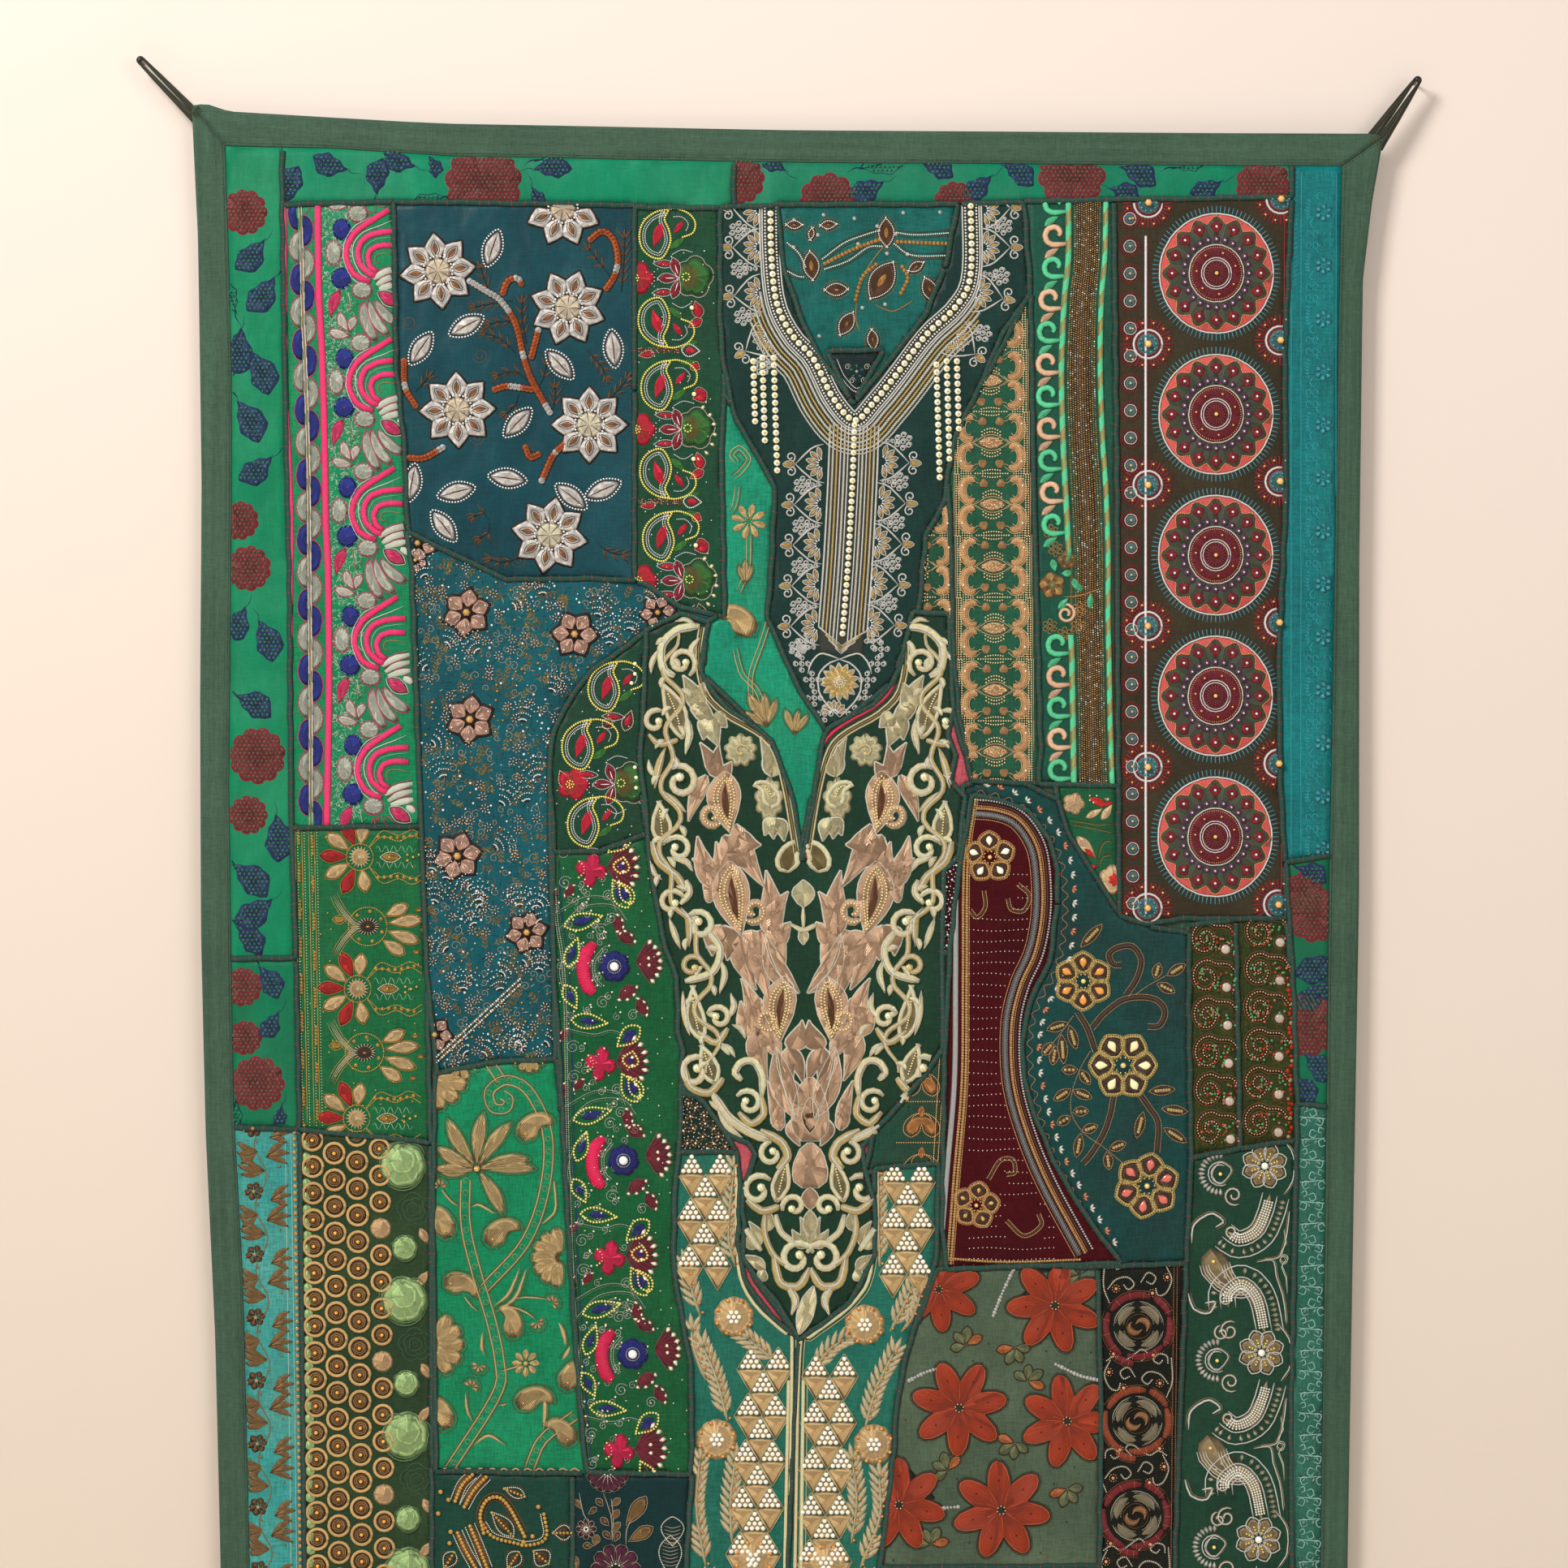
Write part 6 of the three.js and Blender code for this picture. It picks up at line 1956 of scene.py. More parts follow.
def sew_neck():
    """Beaded brown leaves on the neck inset, and the small dark tip below it."""
    work = Work("neck_inset")
    brown, gold, pearl, shine = rgb(86, 54, 28), rgb(188, 134, 72), rgb(232, 226, 210), rgb(238, 232, 216)
    for place, turn, length in (((9, -84), 0, 15), ((39, -84), 5, 15), ((24, -92), 80, 12),
                                ((24, -120), 96, 24), ((90, -91), 92, 24), ((46, -141), 2, 20),
                                ((86, -133), 58, 34), ((128, -141), 112, 22), ((55, -171), 60, 22),
                                ((78, -185), 96, 18), ((116, -121), 30, 16)):
        work.at(place, turn)
        half = length * 0.62
        work.pad(leaf_rings((-half, 0), (half, 0), length * 0.72, "leaf"), brown, height=0.8)
        edge = leaf_rings((-half, 0), (half, 0), length * 0.72, "leaf", count=9)[0]
        rim = curve(edge, 1.8, closed=True)
        out = drawn_in(rim, -1.6)
        work.ridges(np.stack([rim, out], 1), 1.0, gold, kind="gold", height=0.8)
        work.beads(curve(drawn_in(edge, 1.9), 1.7, closed=True), 0.85, pearl, **SEEDS, base=0.6)
        work.pad(leaf_rings((-half * 0.4, 0), (half * 0.4, 0), length * 0.2), gold, height=1.6, kind="gold")
    work.home()
    for line in (((34, -114), (53, -100), (71, -93), (84, -89)), ((99, -91), (117, -93), (150, -91)),
                 ((36, -123), (56, -116), (74, -104), (86, -103)), ((97, -101), (113, -111), (149, -111)),
                 ((3, -100), (13, -109), (19, -121)), ((0, -123), (11, -129), (17, -130))):
        line = curve(line, 2)
        work.string(line, 0.9, pearl, **SEEDS, base=0.3)
        work.ridge(beside(line, 2.4), 1.2, brown, height=0.7)
        work.ridge(beside(line, -2.4), 1.2, brown, height=0.7)
    for line in (((36, -118), (60, -106), (84, -97)), ((100, -99), (124, -100), (150, -101)),
                 ((63, -150), (69, -130), (81, -119)), ((104, -121), (109, -131), (103, -144))):
        work.beads(evenly(curve(line), 3.6), 1.9, gold, **SEQUINS, tall=0.6)
    for line in (((64, -151), (63, -167), (67, -179)), ((80, -154), (96, -160), (113, -151)),
                 ((91, -100), (81, -111), (69, -129))):
        work.ridge(curve(line), 1.3, gold, kind="gold", height=0.8)
    spots = work.scattered(26, 9, 4)
    spots = np.vstack([spots[spots[:, 1] > -121], ((31, -182), (89, -154), (69, -157))])
    work.beads(spots, 1.8, shine, **SEQUINS, tall=0.6)
    work.finish()
    work = Work("neck_tip")
    line = curve(((44, -204), (51, -219), (64, -231), (77, -219), (84, -204)), 2)
    work.string(line, 0.8, pearl, **SEEDS)
    work.string(beside(line, 3), 0.7, pearl, **SEEDS)
    work.pad(around((64, -213), 1.8, 7), rgb(240, 236, 224), height=1.2)
    work.pad(petals((64, -213), 2.5, 7, 3.6, 5), rgb(20, 120, 120), height=0.9)
    for place in ((56, -209), (73, -209), (60, -221), (70, -221)):
        work.ridge(spiral(place, 3, 0.7, 0, 1.4, 11), 0.7, pearl, height=0.5)
    work.finish()


def puff(work, line, width, colour, taper="soft"):
    """A padded gold scroll: a high ridge on a darker one that shows along its edges as painted
    shade, and a painted highlight along its top."""
    line = curve(line, 2.2)
    work.ridge(line, width + 1.8, colour * 0.3, height=0.6, taper=taper, kind="gold")
    work.ridge(line, width, colour, height=2.3, taper=taper, section="dome", kind="gold")
    work.ridge(beside(line, 0.1 * width), 0.32 * width, GLINT, height=0.3, taper=taper, base=2.1,
               kind="gold")


def curl(work, place, radius, start, turns, colour, width=6.0):
    """A padded scroll that winds in to a knob, with painted shade along its edges and a painted
    highlight along its top.
    """
    line = spiral(place, radius * 1.22, radius * 0.34, start, turns * 0.78, 15)
    work.ridge(line, width + 1.6, colour * 0.3, height=0.6, kind="gold")
    work.ridge(line, width, colour, height=2.3, section="dome", kind="gold")
    work.ridge(line, 0.3 * width, GLINT, height=0.3, base=2.1, kind="gold")
    work.beads([line[-1]], width * 0.62, colour, kind="gold", sides=8, tall=1.1)


def beaded_leaf(work, base, tip, width, colour, bead, bend=0.0):
    """A padded leaf, open down the middle for a row of beads."""
    ring = leaf_rings(base, tip, width, "petal", bend=bend, count=9)
    work.pad(ring, colour * 0.4, height=0.9, kind="gold")
    work.ridge(drawn_in(ring[0], 1.6), 4.2, colour, closed=True, height=1.9, section="dome", kind="gold")
    # Painted highlight along the top of the padded rim
    work.ridge(drawn_in(ring[0], 1.6), 1.2, GLINT, closed=True, height=0.3, base=1.75, kind="gold")
    middle = (ring[0][2:7] + ring[0][::-1][2:7]) / 2
    work.beads(evenly(middle, 2.4), 1.1, bead, sides=6, rows=SEED_ROWS, base=1.0)


def applied(work, ring, colour, edge):
    """A flat applied piece with slanting threads across it and a bright cord round it."""
    work.pad(ring, colour, height=0.8, kind="gold", rows=FLAT_ROWS)
    for one in np.asarray(ring).reshape(-1, *np.shape(ring)[-2:]):
        work.ridge(one, 1.9, edge, closed=True, kind="silver", height=1.3)


def sew_yoke_gold():
    """Padded gold scrolls round copper paisleys and flames, the same on both sides."""
    work = Work("yoke_gold")
    gold, pale, copper = rgb(178, 160, 108), rgb(208, 197, 156), rgb(188, 154, 126)
    edge, bead, piping = rgb(234, 220, 190), rgb(226, 200, 146), rgb(206, 54, 78)
    hatch = rgb(112, 74, 52)

    def paisley(body, tip, width, knob, reach, start, turns):
        """A copper paisley: a thick body, a curl at its foot, a beaded strip and a dark core."""
        curl_line = spiral(knob, reach, reach * 0.3, start, turns, 15)
        applied(work, leaf_rings(body, tip, width, "petal", bend=width * 0.1, count=10), copper, edge)
        work.ridge(curl_line, 9.5, edge, height=0.8, kind="silver")
        work.ridge(curl_line, 6.6, copper, height=1.3, kind="gold", section="dome")
        work.beads(evenly(curl_line, 2.8), 1.3, bead, sides=6, rows=SEED_ROWS, base=1.2)
        for share in (0.74, 0.56):
            strip = leaf_rings(body, tip, width * share, "petal", bend=width * 0.1, count=9)[0]
            strip = strip * (0.3 + 0.7 * share) + (0.7 - 0.7 * share) * strip.mean(0)
            work.beads(curve(strip, 2.8, closed=True), 1.2, bead, sides=6, rows=SEED_ROWS, base=0.8)
        work.pad(leaf_rings(body, tip, width * 0.34, "leaf", bend=width * 0.1) * 0.8
                 + 0.2 * (np.array(body) + tip) / 2, hatch, height=1.3, kind="gold")

    def leaves(rows, colour, width, rim=1.9, bend=2.0):
        """Applied leaves that share one foot: rows of the foot and of each tip. All their cords are
        sewn after all their fillings, so that the leaves join."""
        for foot, *tips in rows:
            lean = [bend * (1 if k % 2 else -1) for k in range(len(tips))]
            rings = [leaf_rings(foot, tip, width, "flame", bend=b, count=9)[0] for tip,
                     b in zip(tips, lean)]
            for ring in rings:
                work.ridge(ring, rim + 1.0, edge, closed=True, kind="silver", height=0.7)
            work.pad(np.array(rings), colour, height=0.95, kind="gold", rows=FLAT_ROWS)
            for tip, b in zip(tips, lean):
                vein = leaf_rings(foot, tip, 0.4, "even", bend=b, count=9)[0][2:7]
                work.ridge(vein, 0.9, colour * 0.6, height=0.3, base=0.85, kind="gold")

    for _ in twice(work, 16):
        rope = curve(((-70, -438), (-73, -463), (-68, -493), (-51, -512), (-23, -528), (-7, -544),
                      (4, -581), (14, -641)), 2.4)
        for shift, colour in ((0, pale), (-2.2, gold * 0.5), (-4.4, pale)):
            work.ridge(beside(rope, shift), 2.5, colour, kind="gold", height=1.3, taper="even")
        work.ridge(beside(rope, 5.4), 4.4, piping, height=1.2, taper="even")
        stem = curve(((-93, -440), (-103, -466), (-94, -500), (-100, -536), (-104, -571), (-96, -607),
                      (-107, -643), (-93, -679), (-81, -707), (-67, -736), (-74, -771), (-61, -804),
                      (-64, -830)), 3)
        puff(work, beside(stem, 5.5 * np.sin(np.arange(len(stem)) * 0.36)), 5.5, gold)
        for k, (spot, ahead) in enumerate(zip(stem[4::5], np.gradient(stem, axis=0)[4::5])):
            ahead = ahead / np.linalg.norm(ahead)
            over = np.array([-ahead[1], ahead[0]]) * (1 if k % 2 else -1)
            puff(work, (spot + over * 4, spot + over * 9 + ahead * 3, spot + over * 12 + ahead * 9), 6.4,
                 pale, "leaf")
        curl(work, (-90, -469), 11, -60, 1.5, pale)
        puff(work, ((-74, -437), (-93, -440), (-107, -454), (-106, -474), (-96, -481)), 8.6, pale)
        puff(work, ((-74, -447), (-81, -457), (-79, -466)), 7, pale, "leaf")
        puff(work, ((-110, -457), (-116, -469), (-117, -479)), 6, pale, "leaf")
        puff(work, ((-96, -433), (-87, -431), (-77, -436)), 5, pale, "leaf")
        beaded_leaf(work, (-109, -484), (-89, -537), 20, pale, bead, bend=3)
        puff(work, ((-86, -514), (-83, -531), (-87, -550)), 8, pale, "leaf")
        curl(work, (-113, -521), 9, 60, 1.1, pale)
        puff(work, ((-119, -532), (-109, -541), (-93, -537)), 6, gold)
        puff(work, ((-104, -543), (-110, -560), (-114, -580)), 8, gold, "leaf")
        puff(work, ((-96, -550), (-94, -559), (-99, -563)), 6, pale, "leaf")
        puff(work, ((-119, -554), (-117, -564), (-111, -570)), 6, pale, "leaf")
        curl(work, (-91, -574), 13, 130, -1.4, pale, 7)
        puff(work, ((-106, -582), (-94, -593), (-86, -601)), 7.5, gold, "leaf")
        beaded_leaf(work, (-110, -589), (-106, -630), 19, pale, bead)
        curl(work, (-93, -633), 10, 150, -1.3, pale)
        puff(work, ((-116, -626), (-110, -644), (-94, -657), (-87, -670)), 8.5, gold)
        puff(work, ((-100, -640), (-86, -644), (-80, -653)), 7, pale, "leaf")
        puff(work, ((-119, -641), (-114, -654), (-107, -660)), 6, pale, "leaf")
        curl(work, (-99, -680), 10, 20, 1.2, pale)
        puff(work, ((-86, -660), (-83, -671), (-91, -681)), 7, pale)
        curl(work, (-74, -700), 11, 140, -1.4, pale, 6.6)
        puff(work, ((-91, -684), (-83, -697), (-84, -719)), 9, gold, "leaf")
        puff(work, ((-101, -693), (-96, -707), (-91, -721)), 7, pale, "leaf")
        curl(work, (-81, -736), 9, 0, 1.2, gold)
        puff(work, ((-67, -704), (-56, -721), (-63, -741), (-87, -749)), 8, pale)
        puff(work, ((-56, -729), (-52, -743), (-57, -760)), 7, pale, "leaf")
        beaded_leaf(work, (-80, -751), (-71, -803), 18, pale, bead, bend=-3)
        puff(work, ((-89, -757), (-87, -779), (-83, -797)), 7, pale, "leaf")
        curl(work, (-57, -781), 9, 160, -1.3, pale)
        puff(work, ((-76, -793), (-60, -803), (-49, -790)), 7, gold)
        puff(work, ((-47, -759), (-44, -771), (-50, -783)), 7, pale, "leaf")
        puff(work, ((-46, -787), (-37, -791), (-34, -800)), 6, pale, "leaf")
        puff(work, ((-56, -803), (-47, -809), (-43, -816)), 6, pale, "leaf")
    for _ in twice(work, 17):
        leaves((((-76, -510), (-89, -480), (-70, -486)), ((-77, -504), (-59, -523), (-74, -521)),
                ((-64, -517), (-71, -537), (-50, -526), (-57, -543))), pale, 15)
        leaves((((-59, -570), (-74, -539), (-57, -541), (-46, -556)), ((-68, -568), (-84, -609))), copper,
               13)
        work.pad(lobed((-38, -546), 16, 9, 0.3, points=5), pale, height=1.1, kind="gold")
        curl(work, (-38, -547), 6, 0, 1.0, gold, 3.6)
        leaves((((-11, -569), (-21, -534), (-13, -541), (-9, -550)),), pale, 11)
        leaves((((-41, -621), (-20, -629), (-51, -637)), ((-43, -611), (-16, -667)),
                ((-53, -621), (-29, -651)),
                ((-57, -669), (-81, -641), (-76, -621), (-60, -626), (-71, -664))), copper, 19, bend=4)
        paisley((-47, -619), (-52, -564), 30, (-63, -603), 10, -50, -1.1)
        work.pad(lobed((-13, -589), 14, 9, 0.28, points=5, squash=1.5), pale, height=1.0, kind="gold")
        ring = comma_ring((-11, -591), 33, 17, 80, 130)
        work.ridge(drawn_in(ring, 1.5), 4.2, pale, closed=True, height=1.9, section="dome", kind="gold")
        # Painted highlight along the top of the padded rim
        work.ridge(drawn_in(ring, 1.5), 1.2, GLINT, closed=True, height=0.3, base=1.75, kind="gold")
        work.beads(evenly(ring[3:7] * 0.5 + ring[::-1][3:7] * 0.5, 2.6), 1.2, bead, rows=SEED_ROWS,
                   base=1.0)
        leaves((((-7, -606), (-17, -621), (0, -626), (-9, -624)),), pale, 12)
        ring = comma_ring((3, -647), 40, 22, 105, -150)
        work.pad(ring, gold * 0.45, height=0.9, kind="gold")
        work.ridge(drawn_in(ring, 2.0), 5.2, pale, closed=True, height=1.9, section="dome", kind="gold")
        # Painted highlight along the top of the padded rim
        work.ridge(drawn_in(ring, 2.0), 1.4, GLINT, closed=True, height=0.3, base=1.75, kind="gold")
        leaves((((-14, -709), (-16, -651), (4, -670), (6, -697)),
                ((-54, -700), (-63, -727), (-50, -731)), ((-39, -707), (-24, -757), (-16, -734)),
                ((-21, -704), (-13, -766), (1, -736))), copper, 20, bend=4)
        for shift in (-7, 3):
            applied(work, leaf_rings((-16, -706), (14, -760), 9, "petal", bend=shift - 6), copper, edge)
        paisley((-37, -710), (-48, -643), 33, (-26, -687), 11, 230, 1.1)
    for _ in twice(work, 19):
        leaves((((-23, -797), (-38, -746), (-38, -766), (-21, -764)), ((4, -809), (16, -783)),
                ((-24, -790), (-14, -837), (-3, -821))), copper, 18, bend=4)
        paisley((-4, -804), (1, -744), 29, (-14, -783), 10, -40, -1.1)
        leaves((((4, -807), (8, -837), (17, -839)),), copper, 13)
        for shift in (-9, 2):
            applied(work, leaf_rings((-7, -806), (11, -870), 11, "petal", bend=shift), copper, edge)
    for _ in twice(work, 23):
        leaves((((-4, -880), (-15, -836), (-3, -854)), ((13, -859), (6, -834)),
                ((7, -871), (14, -894))), copper, 12)
        curl(work, (-78, -829), 12, 60, 1.3, pale, 7)
        puff(work, ((-87, -823), (-83, -841), (-66, -847), (-53, -834)), 8, gold)
        beaded_leaf(work, (-73, -803), (-60, -840), 18, pale, bead)
        puff(work, ((-20, -851), (-19, -834), (-26, -820), (-37, -820), (-43, -829), (-37, -836)), 7.6,
             pale)
        puff(work, ((-63, -847), (-50, -867), (-33, -880), (-13, -889)), 9.5, pale)
        puff(work, ((-66, -854), (-60, -859), (-57, -864)), 6, pale, "leaf")
        puff(work, ((-59, -860), (-50, -876), (-36, -887)), 7, pale, "leaf")
        curl(work, (-31, -856), 10, 150, -1.3, pale)
        puff(work, ((-40, -864), (-29, -874), (-18, -866), (-20, -850)), 7.5, gold)
        puff(work, ((-21, -880), (-3, -890), (3, -903), (-6, -914)), 9, gold)
        curl(work, (-11, -901), 9, 90, 1.2, pale)
        beaded_leaf(work, (3, -904), (-7, -944), 17, pale, bead)
        curl(work, (-23, -933), 12, 40, 1.3, pale, 6.6)
        puff(work, ((-33, -941), (-19, -951), (-4, -947)), 8, gold)
        curl(work, (9, -947), 9, 200, -1.2, pale)
        puff(work, ((-7, -954), (-3, -969), (10, -980)), 6.5, pale)
        puff(work, ((-17, -954), (-17, -971), (-9, -990), (6, -1001)), 6.5, gold)
        leaves((((-21, -981), (-31, -960), (-39, -973)), ((-16, -969), (-14, -949)),
                ((-17, -1003), (-36, -990), (-26, -1013))), pale, 10, rim=1.0)
        puff(work, ((-36, -963), (-29, -974), (-20, -986)), 6, pale)
        curl(work, (11, -993), 13, 20, 1.4, pale, 7)
        puff(work, ((-9, -991), (-3, -1014), (13, -1017), (23, -1001)), 8.5, gold)
        puff(work, ((0, -1013), (10, -1029), (6, -1043)), 8.5, pale, "leaf")
        leaves((((21, -983), (14, -956), (7, -967)),), pale, 11, rim=1.0)
    for base, tip, width, colour in (((23, -890), (23, -833), 33, copper),
                                     ((23, -883), (23, -851), 15, hatch),
                                     ((23, -931), (23, -891), 31, copper),
                                     ((23, -950), (23, -930), 15, copper),
                                     ((17, -684), (17, -660), 20, pale), ((17, -717), (17, -701), 9, pale),
                                     ((23, -974), (23, -950), 13, pale),
                                     ((13, -1060), (26, -1017), 15, pale)):
        applied(work, leaf_rings(base, tip, width, "drop" if width > 20 else "leaf"), colour, edge)
    puff(work, ((17, -684), (17, -704)), 4.6, pale)
    puff(work, ((6, -699), (17, -704), (29, -699)), 5, pale)
    work.finish()


def sew_diamonds():
    """Diamonds of pearls over cream floss, round flowers, ferns and ropes, on both halves."""
    cream, pearl, amber = rgb(226, 190, 134), rgb(240, 228, 196), rgb(200, 130, 60)
    silver, rope = rgb(196, 180, 144), rgb(212, 192, 150)
    halves = {
        "diamond_left": (
            (((-81, -919), (-56, -919)), 3, -1.2), (((-29, -1091), (-5, -1091)), 7, -2.5),
            ((-44, -1044), (-59, -1152), (-27, -1257), (-66, -1307)),
            (((-50, -1136), (-59, -1100), (-71, -1071)), ((-69, -1100), (-79, -1074), (-81, -1057)),
             ((-69, -1264), (-77, -1214), (-74, -1171)), ((-46, -1243), (-47, -1207), (-43, -1171)),
             ((-43, -1000), (-49, -971), (-44, -914)), ((-6, -1086), (-19, -1074), (-31, -1064)),
             ((-44, -1357), (-61, -1314), (-67, -1279)), ((-74, -1043), (-81, -1021), (-86, -1000))),
            (((-42, -911), (-41, -986), (-37, -1014), (-23, -1037), (1, -1059), (7, -1071), (1, -1443)),
             ((4, -1100), (-3, -1443))),
        ),
        "diamond_right": (
            (((97, -926), (121, -926)), 3, -0.6), (((28, -1097), (53, -1097)), 7, -1.4),
            ((71, -1051), (79, -1156), (37, -1260), (76, -1307)),
            (((71, -1143), (81, -1107), (96, -1077)), ((93, -1057), (104, -1037), (113, -1017)),
             ((67, -1264), (84, -1221), (84, -1186)), ((59, -1243), (64, -1207), (60, -1171)),
             ((84, -1000), (83, -957), (83, -921)), ((24, -1093), (39, -1074), (53, -1064)),
             ((71, -1357), (79, -1314), (74, -1279)), ((103, -1057), (114, -1043), (121, -1021))),
            (((79, -914), (77, -1000), (60, -1033), (24, -1061), (14, -1074), (10, -1243), (7, -1443)),
             ((17, -1100), (13, -1443))),
        ),
    }
    for name, (arm, field, roses, ferns, ropes) in halves.items():
        work = Work(name)
        for line in ropes:
            line = curve(line, 2.6)
            work.ridge(line, 3.4, rope, kind="silver", height=1.5, taper="even", section="dome")
            work.ridge(beside(line, 3.6), 1.2, silver, kind="silver", height=0.9, taper="even")
        for line in ferns:
            work.sprig(curve(line), silver, leaf=17, pitch=7.2, width=6.6, stem=4.4, angle=32,
                       kind="silver")
            work.sprig(curve(line), silver * 1.15, leaf=15, pitch=7.2, width=1.6, stem=1.4, angle=32,
                       kind="silver", base=0.4)
            work.beads(evenly(curve(line), 9) + (2.5, 3), 1.5, amber, base=1.0)
        for (left, right), count, lean in (arm, field):
            left, right = np.array(left, float), np.array(right, float)
            down = np.array([lean, -40.7])
            between = count if count > 4 else count - 1
            spots = [spot + down * k for k in range(count) for spot in (left, right)]
            spots = np.array(spots + [(left + right) / 2 + down * (k + 0.5) for k in range(between)])
            shape = np.array([[0, -20], [6.2, -10], [12.2, 0.5], [0, 1.5], [-12.2, 0.5], [-6.2, -10]])
            work.pad(spots[:, None] + shape, cream, height=1.4)
            back = np.array([[-11.8, 1], [11.8, 1], [5.5, 11], [0, 19.5], [-5.5, 11]])
            # The ground under the pearls is a darker cream: cream floss with painted shade among the pearls
            work.pad(spots[:, None] + back, cream * 0.66, height=0.6)
            grid = np.array([((k - (3 - row) / 2) * 4.9, 3.4 + row * 4.2) for row in range(4)
                             for k in range(4 - row)])
            work.beads((spots[:, None] + grid).reshape(-1, 2), 2.25, pearl, sides=7, tall=0.9, base=0.3)
            rim = np.array([[0, -20.5], [12.4, 0.5], [0, 20.5], [-12.4, 0.5], [0, -20.5]])
            for a, b in zip(rim[:-1], rim[1:]):
                ends = np.stack([spots + a, spots + b], 1)
                work.ridges(ends, 1.2, rope, kind="silver", height=1.2, taper="even")
            work.beads(spots + (0, -6), 1.1, amber, base=1.2)
        for place in roses:
            work.pad(lobed(place, 19, 10, 0.1, points=5), cream, height=1.5)
            work.ridges(spokes(place, 8, 16, 20, 0, 360, 3), 0.7, cream * 0.6, height=0.4, base=1.1)
            work.beads(around(place, 15.5, 8, 20), 1.7, amber, base=1.0, sides=6)
            work.pad(around(place, 7.4, 12), rope * 0.45, height=1.5)
            work.beads(np.vstack([[place], around(place, 4.6, 6)]), 2.2, pearl, sides=7, tall=0.9, base=1.1)
        work.finish()


def mandala(work, place, tick):
    """A round medallion, from its rim inwards: satin ticks, a white cord, a salmon ring with a
    beaded zigzag, petals with a bead each, purple eyes, cords, rays and a wound heart."""
    red, dark, salmon, white = rgb(132, 16, 30), rgb(96, 14, 30), rgb(206, 82, 78), rgb(244, 238, 228)
    plum, gold, cloth = rgb(76, 30, 66), rgb(214, 162, 92), rgb(60, 66, 48)
    work.at(place)
    tall = (1, 1.05)
    work.ridges(spokes((0, 0), 50.5, 56.5, 92, 0, 360, 2) * tall, 2.4, tick, height=0.9)
    work.pad(around((0, 0), 49.5, 72) * tall, salmon, height=0.5, rows=FLAT_ROWS)
    work.pad(lobed((0, 0), 48.5, 16, 0.13, points=6, sharp=1.6) * tall, cloth, height=0.55, rows=FLAT_ROWS)
    work.ridge(around((0, 0), 50, 90) * tall, 2.0, white, closed=True, height=1.5)
    zigzag = lobed((0, 0), 48.6, 16, 0.14, points=6, sharp=1.6) * tall
    zigzag = evenly(np.vstack([zigzag, zigzag[:1]]), 1.7, closed=True)
    work.beads(zigzag, 0.66, gold, **SEEDS, base=0.7)
    rays = spokes((0, 0), 32.5, 44.5, 16, 90, 450, 2) * tall
    work.pad(leaf_rings(rays[:, 0], rays[:, 1], 11.5, "petal", count=7), red, height=0.9, base=0.5)
    work.beads(around((0, 0), 39, 16, 90) * tall, 1.5, white, base=1.2)
    work.ridges(spokes((0, 0), 34, 38, 16, 90, 450, 2) * tall, 1.6, dark, height=0.5, base=1.1)
    eyes = around((0, 0), 28.6, 24) * tall
    work.beads(eyes, 3.1, plum, kind="floss", sides=9, tall=0.35, base=0.6)
    work.beads(eyes, 1.1, white, **SEEDS, base=1.4)
    work.pad(around((0, 0), 24.5, 48) * tall, dark, height=1.1, rows=FLAT_ROWS)
    work.ridge(around((0, 0), 24, 56) * tall, 1.5, white, closed=True, height=1.4, base=0.6)
    work.beads(around((0, 0), 21.8, 70) * tall, 0.6, gold, **SEEDS, base=1.2)
    work.ridges(spokes((0, 0), 14.5, 20.4, 40, 0, 360, 2) * tall, 1.5, red, height=0.7, base=1.1)
    work.beads(around((0, 0), 17.6, 7, 20) * tall, 1.2, gold, base=1.6)
    for radius, width in ((13.2, 1.5), (11.2, 1.3)):
        work.ridge(around((0, 0), radius, 36) * tall, width, white, closed=True, height=1.5, base=0.6)
    work.pad(around((0, 0), 9.8, 18) * tall, dark, height=1.7)
    work.ridges(spokes((0, 0), 2.6, 9.4, 20, 0, 360, 2) * tall, 1.3, salmon * 0.7, height=0.6, base=1.3)
    work.beads([(0, 0)], 2.0, gold, base=1.6)
    work.home()


def small_medallion(work, place, size, spikes=26):
    """Red spikes round a white cord, teal rays and a gold bead."""
    red, white, teal, gold = rgb(138, 18, 30), rgb(240, 236, 226), rgb(78, 134, 140), rgb(214, 162, 92)
    work.ridges(spokes(place, size * 0.62, size * 1.02, spikes, 0, 360, 2), size * 0.2, red, height=0.8)
    work.pad(around(place, size * 0.66, 14), red * 0.7, height=0.8)
    work.pad(around(place, size * 0.56, 14), teal * 0.8, height=1.2)
    work.ridge(around(place, size * 0.57, 18), size * 0.12, white, closed=True, height=1.3, base=0.3)
    work.beads(around(place, size * 0.33, 10), size * 0.06, teal, **SEEDS, base=1.1)
    work.beads([place], size * 0.16, gold, base=1.1)


